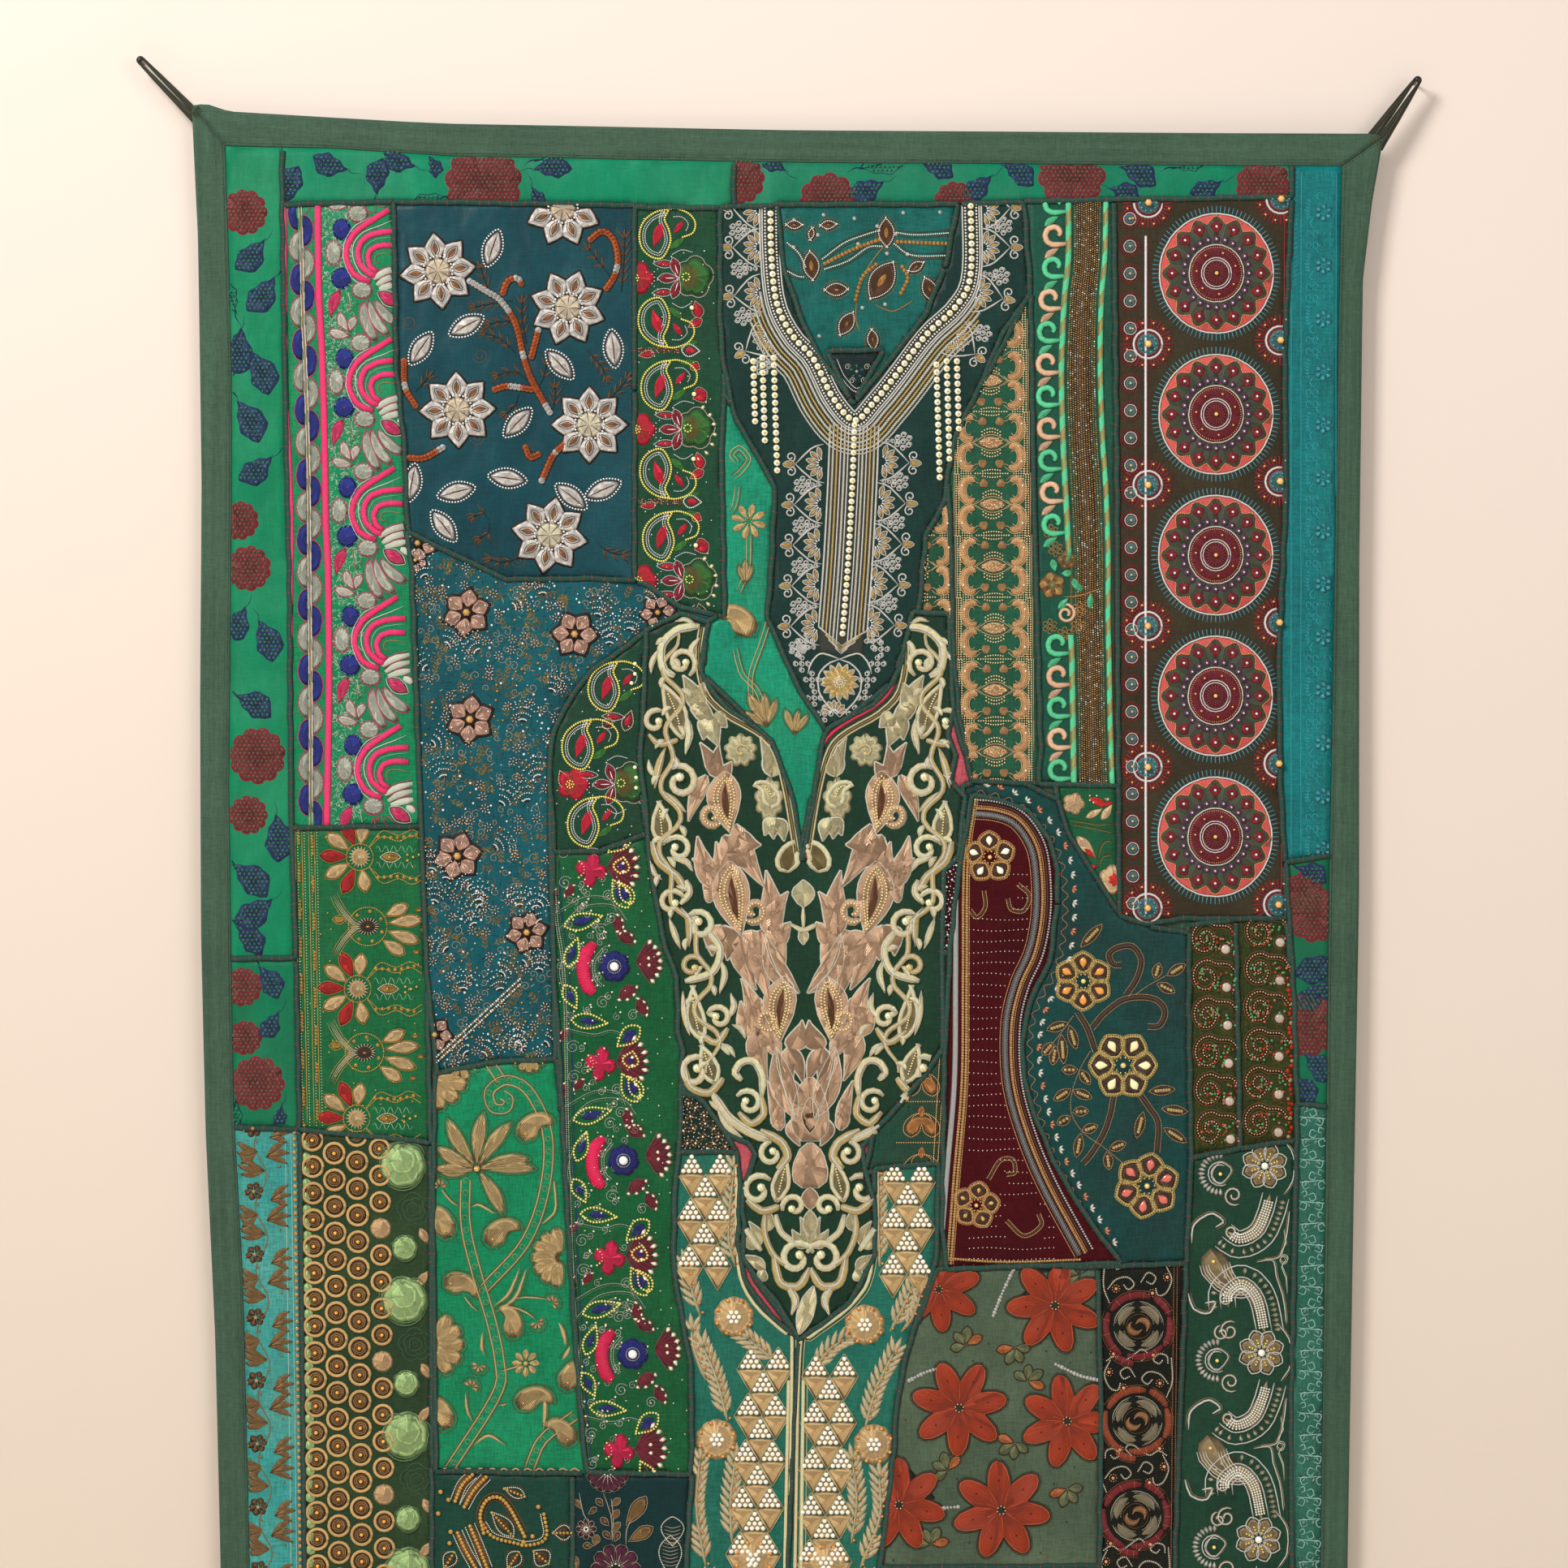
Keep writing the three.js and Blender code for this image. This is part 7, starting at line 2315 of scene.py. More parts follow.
def sew_mandala_border():
    """Five round medallions with halves between them, a row of small ones and a white cord."""
    work = Work("mandala_border")
    red, gold, white = rgb(150, 30, 40), rgb(214, 162, 92), rgb(244, 240, 232)
    for k in range(5):
        mandala(work, (380 - 0.29 * k, -127 - 123.79 * k), rgb(72, 150, 166))
    for k in range(-1, 5):
        for place in ((320 - 0.14 * k, -189 - 123.93 * k), (436 - 0.43 * k, -186 - 123.93 * k)):
            small_medallion(work, place, 22, 36)
            work.beads(around(place, 19, 12, 15), 1.3, gold, base=0.6)
    for k in range(26):
        small_medallion(work, (304 + 0.11 * k, -79 - 24.07 * k), 9.4)
    cord = np.column_stack([np.full(60, 318), np.linspace(-94, -700, 60)])
    work.ridge(cord, 2.4, white, height=1.6, section="dome", taper="even")
    work.ridge(cord + (1.8, 0), 1.0, red, height=0.8, taper="even")
    edge = np.column_stack([np.linspace(440, 437, 60), np.linspace(-73, -700, 60)])
    work.ridge(edge, 1.7, red, height=1.1, taper="even")
    rim = np.column_stack([np.full(60, 291), np.linspace(-73, -700, 60)])
    work.string(rim, 0.7, red, **SEEDS)
    work.finish()


def stone_flower(work, place, radius, count, turn, gold, stone, dark):
    """A flower of sequin-edged petals with a cut stone in each, round a wound heart."""
    rays = spokes(place, radius * 0.3, radius, count, turn, turn + 360, 2)
    rings = leaf_rings(rays[:, 0], rays[:, 1], radius * 0.78, "leaf", count=8)
    work.pad(rings, dark, height=0.8)
    for ring in rings:
        work.beads(curve(ring, 2.1, closed=True), 1.35, gold, **SEQUINS, tall=0.7,
                   base=0.4)
        work.string(drawn_in(curve(ring, 2.0, closed=True), -1.7), 0.6, gold, **SEEDS)
    middle = rays.mean(1)
    reach = radius * 0.24
    way = (rays[:, 1] - rays[:, 0]) / np.linalg.norm(rays[:, 1] - rays[:, 0], axis=1, keepdims=True)
    work.pad(leaf_rings(middle - way * reach, middle + way * reach, reach * 1.3, "petal", count=6), stone,
             height=2.0, kind="beads")
    work.beads(around(place, radius * 0.24, 10), 1.0, gold, kind="sequins", sides=6, base=0.5)
    work.beads([place], radius * 0.1, gold, base=0.9)


def double_stem(work, line, bead, inner, gap=1.6):
    """Two rows of seed beads with a darker filling between them."""
    line = curve(line, 1.9)
    work.ridge(line, gap * 2, inner, height=0.6)
    work.string(beside(line, gap), 0.62, bead, **SEEDS)
    work.string(beside(line, -gap), 0.62, bead, **SEEDS)


def sew_maroon_panel():
    """Rows of beads on wine velvet, flowers of sequins and stones, and a roped border."""
    work = Work("maroon_panel")
    gold, bead, silver = rgb(206, 158, 104), rgb(196, 184, 164), rgb(150, 150, 150)
    brown, shine = rgb(72, 44, 30), rgb(226, 216, 196)
    swell = curve(((167, -602), (186, -604), (203, -611), (216, -629), (221, -650), (222, -686),
                   (216, -721), (203, -751), (195, -787), (196, -836), (207, -880), (227, -929),
                   (260, -990)), 2.2)
    work.ridge(swell, 6.5, silver * 0.5, height=0.9, taper="even")
    slant = np.stack([beside(swell, 2.7)[:-2], beside(swell, -2.7)[2:]], 1)
    work.ridges(slant, 1.5, silver, kind="silver", height=1.2, base=0.5)
    work.beads(evenly(beside(swell, 5.2), 2.2), 1.5, gold, **SEQUINS, tall=0.7)
    work.string(beside(swell, 7.4), 0.6, gold, **SEEDS)
    work.string(beside(swell, -4.4), 0.6, gold, **SEEDS)
    work.ridge(beside(swell, 9.6), 2.2, brown, height=0.8, taper="even")
    work.beads(evenly(beside(swell, 12.6), 2.4), 1.25, silver * 1.2, base=0.2)
    side = curve(((167, -589), (160, -643), (159, -743), (158, -836), (151, -921), (145, -997)), 2.4)
    for shift in (-1.5, 1.7):
        work.beads(evenly(beside(side, shift), 2.4), 1.5, gold, **SEQUINS, tall=0.7)
    work.string(beside(side, 3.8), 0.6, gold, **SEEDS)
    braid = beside(side, -8.0)[36:]
    work.ridge(braid, 5.5, silver, kind="silver", height=1.4, taper="even", section="vein")
    foot = curve(((146, -993), (196, -996), (260, -994)), 2.4)
    work.beads(foot, 1.4, gold, **SEQUINS, tall=0.7)
    for k in range(36):
        z = -656 - 9.65 * k
        across = np.arange(163, 239, 3.9)
        row = np.column_stack([across, z + 0.8 * np.sin(across * 0.1 + k)])
        nearest = swell[np.abs(swell[:, 1] - z).argmin(), 0]
        row = row[row[:, 0] < nearest - 6]
        for centre in ((180, -639), (166, -948), (183, -671), (174, -923), (211, -961)):
            row = row[np.linalg.norm(row - centre, axis=1) > 21]
        work.beads(row, 0.75, bead, **SEEDS)
    stone_flower(work, (181, -640), 22, 5, 20, gold, shine, brown)
    stone_flower(work, (169, -946), 20, 5, 80, gold, rgb(196, 150, 72), brown)
    for line in (((176, -670), (177, -684), (170, -693), (164, -687)),
                 ((206, -664), (216, -674), (211, -687), (200, -686), (197, -677)),
                 ((180, -923), (190, -907), (201, -906), (203, -917), (196, -919)),
                 ((196, -960), (211, -973), (226, -964), (224, -954))):
        double_stem(work, line, gold, brown)
    work.finish()


def sew_teal_panel():
    """Sequin flowers on double beaded stems, gold leaves, and a vine of buds along the velvet."""
    work = Work("teal_panel")
    gold, brown, stem = rgb(206, 176, 112), rgb(70, 50, 36), rgb(168, 130, 96)
    silver, copper = rgb(206, 204, 196), rgb(198, 124, 92)
    vine = curve(((170, -583), (196, -589), (221, -606), (240, -633), (247, -666), (246, -707),
                  (239, -740), (223, -770), (216, -807), (221, -850), (236, -900), (260, -946),
                  (289, -991)), 2.0)
    wavy = beside(vine, 2.6 * np.sin(np.arange(len(vine)) * TAU * 2.0 / 12.9))
    work.string(wavy, 0.62, stem, **SEEDS)
    buds = beside(vine, 6.0)[3::6]
    ahead = np.gradient(buds, axis=0)
    ahead /= np.linalg.norm(ahead, axis=1, keepdims=True)
    for k in (-0.75, 0.0, 0.75):
        way = ahead * math.cos(k + 1.2) + np.column_stack([-ahead[:, 1], ahead[:, 0]]) * math.sin(k + 1.2)
        tone = np.where((np.arange(len(buds)) % 3 == 1)[:, None], copper, silver)
        work.pad(leaf_rings(buds, buds + way * 6, 2.8, "leaf", count=5), tone, kind="beads", height=1.2)
    for line in (((258, -776), (267, -791), (274, -811)),
                 ((301, -761), (310, -747), (314, -731), (307, -719), (295, -719), (286, -725),
                  (289, -734), (296, -735)),
                 ((271, -790), (281, -778), (297, -766), (314, -763), (328, -766), (335, -776),
                  (330, -788), (320, -789)),
                 ((290, -850), (287, -866), (281, -883), (270, -901), (263, -909)),
                 ((311, -846), (321, -860), (329, -874), (328, -899))):
        double_stem(work, line, stem, brown, 2.5)
    for line in (((269, -811), (260, -827), (253, -848), (253, -866), (264, -883), (281, -895),
                  (299, -910)), ((310, -760), (320, -753), (336, -744)),
                 ((254, -780), (244, -794), (236, -804))):
        work.string(curve(line), 0.7, stem, **SEEDS)
    for base, tip in (((261, -719), (280, -699)), ((326, -747), (330, -733)), ((328, -751), (344, -759)),
                      ((337, -744), (353, -734)), ((321, -846), (344, -844)), ((332, -861), (355, -864)),
                      ((334, -878), (354, -891)), ((316, -864), (310, -887)), ((258, -827), (244, -827)),
                      ((260, -827), (269, -840)), ((252, -844), (237, -854)), ((254, -845), (271, -852)),
                      ((254, -864), (268, -863)), ((252, -868), (240, -875)), ((262, -881), (276, -876)),
                      ((261, -883), (257, -904)), ((286, -897), (301, -891)), ((284, -899), (286, -915)),
                      ((250, -786), (231, -792)), ((251, -788), (257, -809)), ((244, -796), (246, -822)),
                      ((237, -803), (227, -814)), ((239, -806), (236, -823))):
        base, tip = np.array(base, float), np.array(tip, float)
        ring = leaf_rings(base, tip, 8.6, "leaf", count=8)[0]
        work.pad(ring, brown, height=0.6)
        work.string(curve(ring, 2.0, closed=True), 0.75, stem, **SEEDS)
        length = np.linalg.norm(tip - base)
        spots = base + (tip - base) * np.linspace(0.26, 0.76, max(int(length / 3.6), 2))[:, None]
        work.beads(spots, 1.6, gold * 1.08, kind="sequins", sides=6, rows=SEQUIN_ROWS, tall=0.5, base=0.7)
    for place, radius, turn, stone in (((263, -749), 25, 30, rgb(198, 132, 58)),
                                       ((298, -823), 29, 0, rgb(232, 208, 160)),
                                       ((319, -929), 28, 20, rgb(190, 96, 84))):
        stone_flower(work, place, radius, 6, turn, gold, stone, brown)
    work.finish()


def sew_rust_star():
    """Applied rust stars, olive leaves with an orange bud, and trails of silver sequins."""
    work = Work("rust_star")
    rust, edge, dark, pale = rgb(164, 52, 16), rgb(196, 100, 52), rgb(54, 38, 26), rgb(230, 226, 214)
    olive, orange, beige = rgb(104, 112, 74), rgb(180, 100, 50), rgb(170, 156, 120)
    for line in (((203, -1000), (193, -1021), (184, -1043)), ((137, -1089), (124, -1093), (110, -1100)),
                 ((276, -1100), (260, -1096), (239, -1086)), ((110, -1217), (131, -1213), (153, -1211))):
        places = evenly(curve(line), 3.0)
        work.beads(places, random.uniform(1.2, 2.0, len(places)), pale, **SEQUINS,
                   tall=0.6)
    for place, turn in (((160, -1069), 30), ((214, -1101), -20), ((203, -1155), 160), ((144, -1179), 50),
                        ((249, -1196), 200), ((129, -1244), 10), ((260, -1007), 60), ((203, -1071), 190)):
        work.at(place, turn)
        for tip, width, colour in (((17, 0), 9, orange), ((10, 14), 10, olive), ((-4, 15), 9, olive),
                                   ((-14, 4), 9, olive)):
            ring = leaf_rings((0, 0), tip, width, "petal")
            work.pad(ring, colour, height=0.8)
            work.string(curve(ring[0], 1.9, closed=True), 0.6, dark, **SEEDS)
            work.ridge(((0, 0), np.array(tip) * 0.8), 0.7, beige, height=0.4, base=0.7)
    for place, turn, radius in (((238, -1034), 80, 43), ((154, -1124), 62, 43), ((249, -1136), 100, 42),
                                ((191, -1214), 95, 44), ((136, -1020), 70, 38), ((101, -1209), 90, 42)):
        work.at(place, turn, radius / 42)
        ring = lobed((0, 0), 42, 7, 0.46, 0, points=8, sharp=1.25)
        work.pad(drawn_in(ring, -1.0), dark, height=0.4, rows=FLAT_ROWS)
        work.pad(ring, rust, height=0.9, rows=FLAT_ROWS)
        work.ridge(drawn_in(ring, 0.9), 1.1, edge, closed=True, height=0.5, base=0.8)
        work.string(drawn_in(curve(ring, 2.3, closed=True), -1.4), 0.6, dark, **SEEDS)
        work.ridges(spokes((0, 0), 5, 21, 7, 26, 386, 4), 0.9, edge, height=0.4, base=0.8)
        work.beads(around((0, 0), 25, 7), 0.9, dark, **SEEDS, base=0.8)
        work.pad(around((0, 0), 5, 10), dark, height=1.5)
        work.beads(around((0, 0), 3.4, 7), 0.9, beige, **SEEDS, base=1.3)
    work.home()
    spots = work.scattered(26, 16, 5)
    work.beads(spots, 0.9, dark, **SEEDS)
    work.finish()


def ringed_drop(work, base, tip, width, colour, bead, *, size=1.1):
    """A satin drop with beads round it."""
    ring = leaf_rings(base, tip, width, "petal", count=9)[0]
    work.beads(curve(ring, size * 2, closed=True), size, bead, sides=6, rows=SEED_ROWS)
    gap = size * 1.9
    middle = ring.mean(0)
    share = max(1 - 2.2 * gap / width, 0.2)
    work.pad(middle + (ring - middle) * share, colour, height=1.0)


def curly_paisley(work, place, flip):
    """A beaded paisley whose tail curls over to the right; flip turns it upside down."""
    yellow, white, red, green = rgb(226, 206, 104), rgb(220, 220, 222), rgb(206, 16, 52), rgb(52, 122, 46)
    work.at(place, 180 if flip else 0, flip=flip)
    body = curve(((11, -8), (10, 3), (6, 13), (9, 21), (-2, 19), (-12, 11), (-16, 0), (-14, -12), (-6, -20),
                  (4, -21)), 2.1, closed=True)
    tail = curve(((6, 21), (16, 22), (27, 18), (33, 10), (31, 1), (22, -3)), 2.0)
    work.beads(body, 1.25, yellow, sides=6, rows=SEED_ROWS)
    work.beads(tail, 1.2, yellow, sides=6, rows=SEED_ROWS)
    for inset in (2.9, 4.9):
        work.string(curve(drawn_in(body, inset)[::2], 1.6, closed=True), 0.72, white, **SEEDS)
    work.pad(leaf_rings((-4, -13), (4, 11), 10, "petal"), red, height=1.1)
    work.pad(leaf_rings((14, 0), (23, 12), 6), red, height=0.9)
    work.string(curve(((14, 15), (21, 15), (27, 9), (25, 3))), 0.65, white, **SEEDS)
    work.pad(leaf_rings((10, -14), (24, -3), 7), green, height=0.8)
    work.pad(leaf_rings((-2, -26), (14, -27), 5), red, height=0.9)
    work.string(leaf_rings((-4, -26), (16, -27), 7)[0], 0.55, white, **SEEDS)
    work.home()


def paisley_flowers(work, place):
    """A row of the paisley band: half a red flower, a star of three petals and a green fan."""
    yellow, white, red = rgb(226, 206, 104), rgb(220, 220, 222), rgb(198, 16, 48)
    green, dark = rgb(48, 112, 44), rgb(140, 14, 34)
    work.at(place)
    work.pad(lobed((-20, 0), 15.5, 5, 0.25, 0), red, height=1.0)
    work.ridges(spokes((-23, 0), 3, 11, 14, -100, 100, 3), 0.8, green, height=0.4, base=0.7)
    work.beads(np.vstack([around((-23, 0), 3.2, 8), around((-23, 0), 1.2, 3)]), 1.0, yellow, **SEEDS,
               base=0.9)
    work.pad(lobed((29, 1), 16, 5, 0.2, 10, squash=1.1), green, height=0.9)
    work.string(lobed((29, 1), 17.2, 5, 0.2, 10, points=9, squash=1.1), 0.6, rgb(232, 190, 170), **SEEDS)
    work.ridges(spokes((23, 1), 3, 12, 22, -110, 110, 3), 1.0, dark, height=0.4, base=0.7)
    rays = petals((16, 0), 0, 19, 9, 3, 108, 252)
    work.pad(rays, dark, height=1.0)
    for ring in rays:
        work.string(ring, 0.55, white, **SEEDS)
    work.ridges(spokes((16, 0), 4, 12, 3, 108, 252, 4), 1.4, white, kind="beads", height=0.8, base=0.8)
    work.beads(around((22, 1), 3.2, 8), 1.1, yellow, **SEEDS, base=0.9)
    work.beads(np.column_stack([np.tile((-3, -6, -8, -6, -3), 2),
                                np.repeat((8, 0), 5) + np.tile((0, -3, -6, -9, -12), 2) * 0.8]), 0.75,
               white, **SEEDS)
    for line in (((10, 21), (18, 25), (27, 23)), ((10, -22), (18, -26), (26, -22))):
        work.string(curve(line), 0.65, white, **SEEDS)
    work.beads(((-6, 15), (-6, -15), (2, 12), (2, -12), (9, 19), (38, 24)), 0.9, white, **SEEDS)
    work.home()


def sew_paisleys():
    """Beaded paisleys and rows of flowers, in the long strip and in the small one."""
    white, red, bead = rgb(220, 220, 222), rgb(198, 16, 48), rgb(224, 206, 160)
    brown, pink, green = rgb(128, 60, 44), rgb(222, 170, 150), rgb(52, 122, 46)
    work = Work("paisley_strip")
    for k in range(3):
        x, z = -110 + 1.5 * k, -133 * k
        curly_paisley(work, (x - 1, -92 + z), False)
        paisley_flowers(work, (x + 2, -131 + z))
        curly_paisley(work, (x - 2, -170 + z), True)
        band = random.uniform((x - 22, -197 + z), (x + 20, -192 + z), (150, 2))
        work.beads(band, 0.6, np.where(np.arange(150)[:, None] % 3 == 0, pink * 0.8, brown), **SEEDS)
        ringed_drop(work, (x + 36, -195 + z), (x + 20, -194 + z), 11, red, white, size=0.9)
        work.beads(((x - 23, -201 + z), (x + 29, -157 + z), (x + 31, -233 + z), (x - 24, -179 + z)), 2.3,
                   bead, sides=8)
        work.at((x, z))
        for base, tip, width in (((32, -151), (36, -166), 9), ((26, -174), (38, -167), 7),
                                 ((36, -211), (28, -206), 7), ((-26, -186), (-24, -199), 6),
                                 ((-18, -199), (-4, -197), 5), ((-28, -219), (-26, -206), 5),
                                 ((30, -237), (42, -231), 13)):
            work.pad(leaf_rings(base, tip, width, "petal"), red, height=0.9)
            work.string(leaf_rings(base, tip, width + 1.6, "petal")[0], 0.55, pink, **SEEDS)
        for base, tip in (((20, -191), (36, -186)), ((18, -206), (34, -204))):
            work.pad(leaf_rings(base, tip, 6), green, height=0.7)
        drops = spokes((22, -266), 24, 30, 7, -62, 52, 2)
        work.pad(leaf_rings(drops[:, 0], drops[:, 1], 4, "petal", count=5), bead, kind="beads", height=1.6)
        work.home()
    work.string([(-132, -286), (-134, -350)], 0.9, white, **SEEDS)
    work.beads(work.scattered(60, 7, 3), 0.8, white, **SEEDS)
    work.finish()
    work = Work("paisley_small")
    for place in ((-156, -490), (-179, -541), (-174, -609)):
        curly_paisley(work, place, False)
    paisley_flowers(work, (-165, -576))
    work.beads(work.scattered(40, 7, 3), 0.8, white, **SEEDS)
    for place in ((-131, -470), (-131, -479), (-134, -487), (-131, -561), (-130, -570), (-130, -579)):
        work.beads([place], 2.0, bead, kind="beads", tall=0.9)
    for base, tip in (((-134, -511), (-140, -529)), ((-150, -526), (-159, -520)),
                      ((-197, -564), (-190, -580))):
        ringed_drop(work, base, tip, 10, red, pink, size=0.8)
    work.finish()


def sew_navy_flower():
    """Navy flowers and yellow-beaded drops, pink crescents and stars, and sprigs of pearl drops."""
    work = Work("navy_flower")
    navy, pink, yellow = rgb(26, 34, 118), rgb(214, 14, 78), rgb(222, 208, 120)
    silver, maroon = rgb(168, 170, 160), rgb(132, 34, 54)
    pearl, green = rgb(238, 218, 190), rgb(64, 104, 74)
    line = curve(((-204, -643), (-201, -693), (-194, -750), (-191, -886), (-187, -1000), (-181, -1100),
                  (-174, -1193)), 2.0)
    for shift, colour in ((0.0, silver), (2.0, silver), (4.4, green)):
        work.string(beside(line, shift), 0.8, colour, **SEEDS)
    work.ridge(beside(line, 6.4), 1.1, navy, height=0.7, taper="even")
    for k in range(-1, 3):
        work.at((-149 + 8 * k, -736 - 170.4 * k), -2)
        work.pad(lobed((0, 0), 15, 7, 0.16), navy, height=1.4)
        work.ridges(spokes((0, 0), 5, 13.5, 28, 0, 360, 3), 0.7, navy * 1.5, height=0.35, base=1.2)
        work.beads([(0, 0)], 4.2, rgb(236, 236, 232), sides=12, tall=0.6, base=1.2)
        work.string(around((0, 0), 5.8, 22), 0.6, silver, **SEEDS, base=1.2)
        crescent = curve(((-18, 20), (-26, 8), (-27, -6), (-23, -18), (-17, -24)), 2.4)
        work.ridge(crescent, 13, pink, height=1.5, section="dome")
        work.ridges(np.stack([beside(crescent, 5.4), beside(crescent, -5.4)], 1)[1:-1], 0.9, pink * 0.72,
                    height=0.35, base=1.25)
        for shift in (8.2, 10.2):
            work.string(beside(crescent, shift), 0.7, silver, **SEEDS)
        for base, tip, width in (((-12, 44), (-45, 34), 14), ((-33, 24), (-41, -2), 12),
                                 ((-32, -38), (-43, -18), 12), ((-4, -50), (-36, -48), 13),
                                 ((5, -70), (24, -52), 15), ((10, -94), (24, -118), 15),
                                 ((5, 96), (2, 82), 14), ((2, 74), (14, 56), 12)):
            ringed_drop(work, base, tip, width, navy, yellow, size=1.35)
        star = lobed((-9, -86), 15, 4, 0.5, 80, points=6, squash=1.1)
        work.pad(star, pink, height=1.4)
        work.ridges(spokes((-9, -86), 3, 12, 22, 0, 360, 2), 0.8, pink * 0.75, height=0.35, base=1.0)
        work.beads(curve(((-20, -79), (-16, -83), (-16, -89), (-20, -93))), 1.2, yellow, rows=SEED_ROWS)
        for place, turn, count, reach in (((18, 4), 6, 7, 25), ((6, 20), 62, 4, 13), ((8, -17), -52, 4, 14),
                                          ((4, -84), 4, 7, 30), ((20, -38), 30, 4, 12),
                                          ((-38, -64), 150, 3, 9), ((-36, -112), 170, 3, 10),
                                          ((10, -134), 10, 4, 12), ((-38, 62), 140, 3, 9)):
            rays = spokes(place, 2, reach, count + 4, turn - 58, turn + 58, 5)
            bent = rays + np.stack([np.zeros(5), 1.2 * np.sin(np.arange(5) * 1.7)], -1)
            work.pad(leaf_rings(rays[1:-1, 0], rays[1:-1, -1], reach * 0.26, "leaf", count=6), maroon * 0.5,
                     height=0.5)
            work.ridges(bent, 1.3, maroon, height=0.7)
            work.ridges(bent[1:-1] + (0.9, 1.1), 0.9, maroon * 1.35, height=0.6, base=0.3)
            ends = spokes(place, reach * 0.74, reach * 1.02, count, turn - 50, turn + 50, 2)
            work.pad(leaf_rings(ends[:, 0], ends[:, 1], 5.2, "petal", count=6), pearl, kind="beads",
                     height=2.0)
            if reach > 20:
                ends = spokes(place, reach * 0.4, reach * 0.6, 2, turn - 14, turn + 14, 2)
                work.pad(leaf_rings(ends[:, 0], ends[:, 1], 5.2, "petal", count=6), pearl, kind="beads",
                         height=2.0)
            work.string(rays[0], 0.6, green, **SEEDS)
            work.string(rays[-1], 0.6, green, **SEEDS)
        for centre, radius in (((-13, 32), 5.5), ((-9, -32), 6), ((-34, -72), 6), ((-32, -98), 6),
                               ((18, -42), 5), ((-8, 62), 5), ((10, -128), 5)):
            work.string(spiral(centre, radius, 1.2, 40, 1.6, 26), 0.62, silver, **SEEDS)
        nest = random.normal((-22, 0), (15, 60), (44, 2))
        for spot in nest:
            work.string(spiral(spot, 3.4, 0.9, random.uniform(0, 360), 1.2, 12), 0.66,
                        silver * random.uniform(0.7, 1.1), **SEEDS)
        work.beads(nest + (3, 4), 1.2, pearl, sides=6, rows=SEED_ROWS)
        for curl_line in (((-48, 30), (-30, 49), (-4, 52), (8, 40)),
                          ((-40, -58), (-16, -62), (0, -58), (14, -64)),
                          ((-38, -126), (-14, -112), (6, -112), (12, -122)),
                          ((-46, 10), (-50, -6), (-46, -24))):
            work.string(curve(curl_line), 0.7, green * 1.5, **SEEDS)
            work.string(beside(curve(curl_line), 2.0), 0.6, silver, **SEEDS)
    work.home()
    work.beads(work.scattered(150, 8, 3), 0.85, pearl, **SEEDS)
    work.finish()


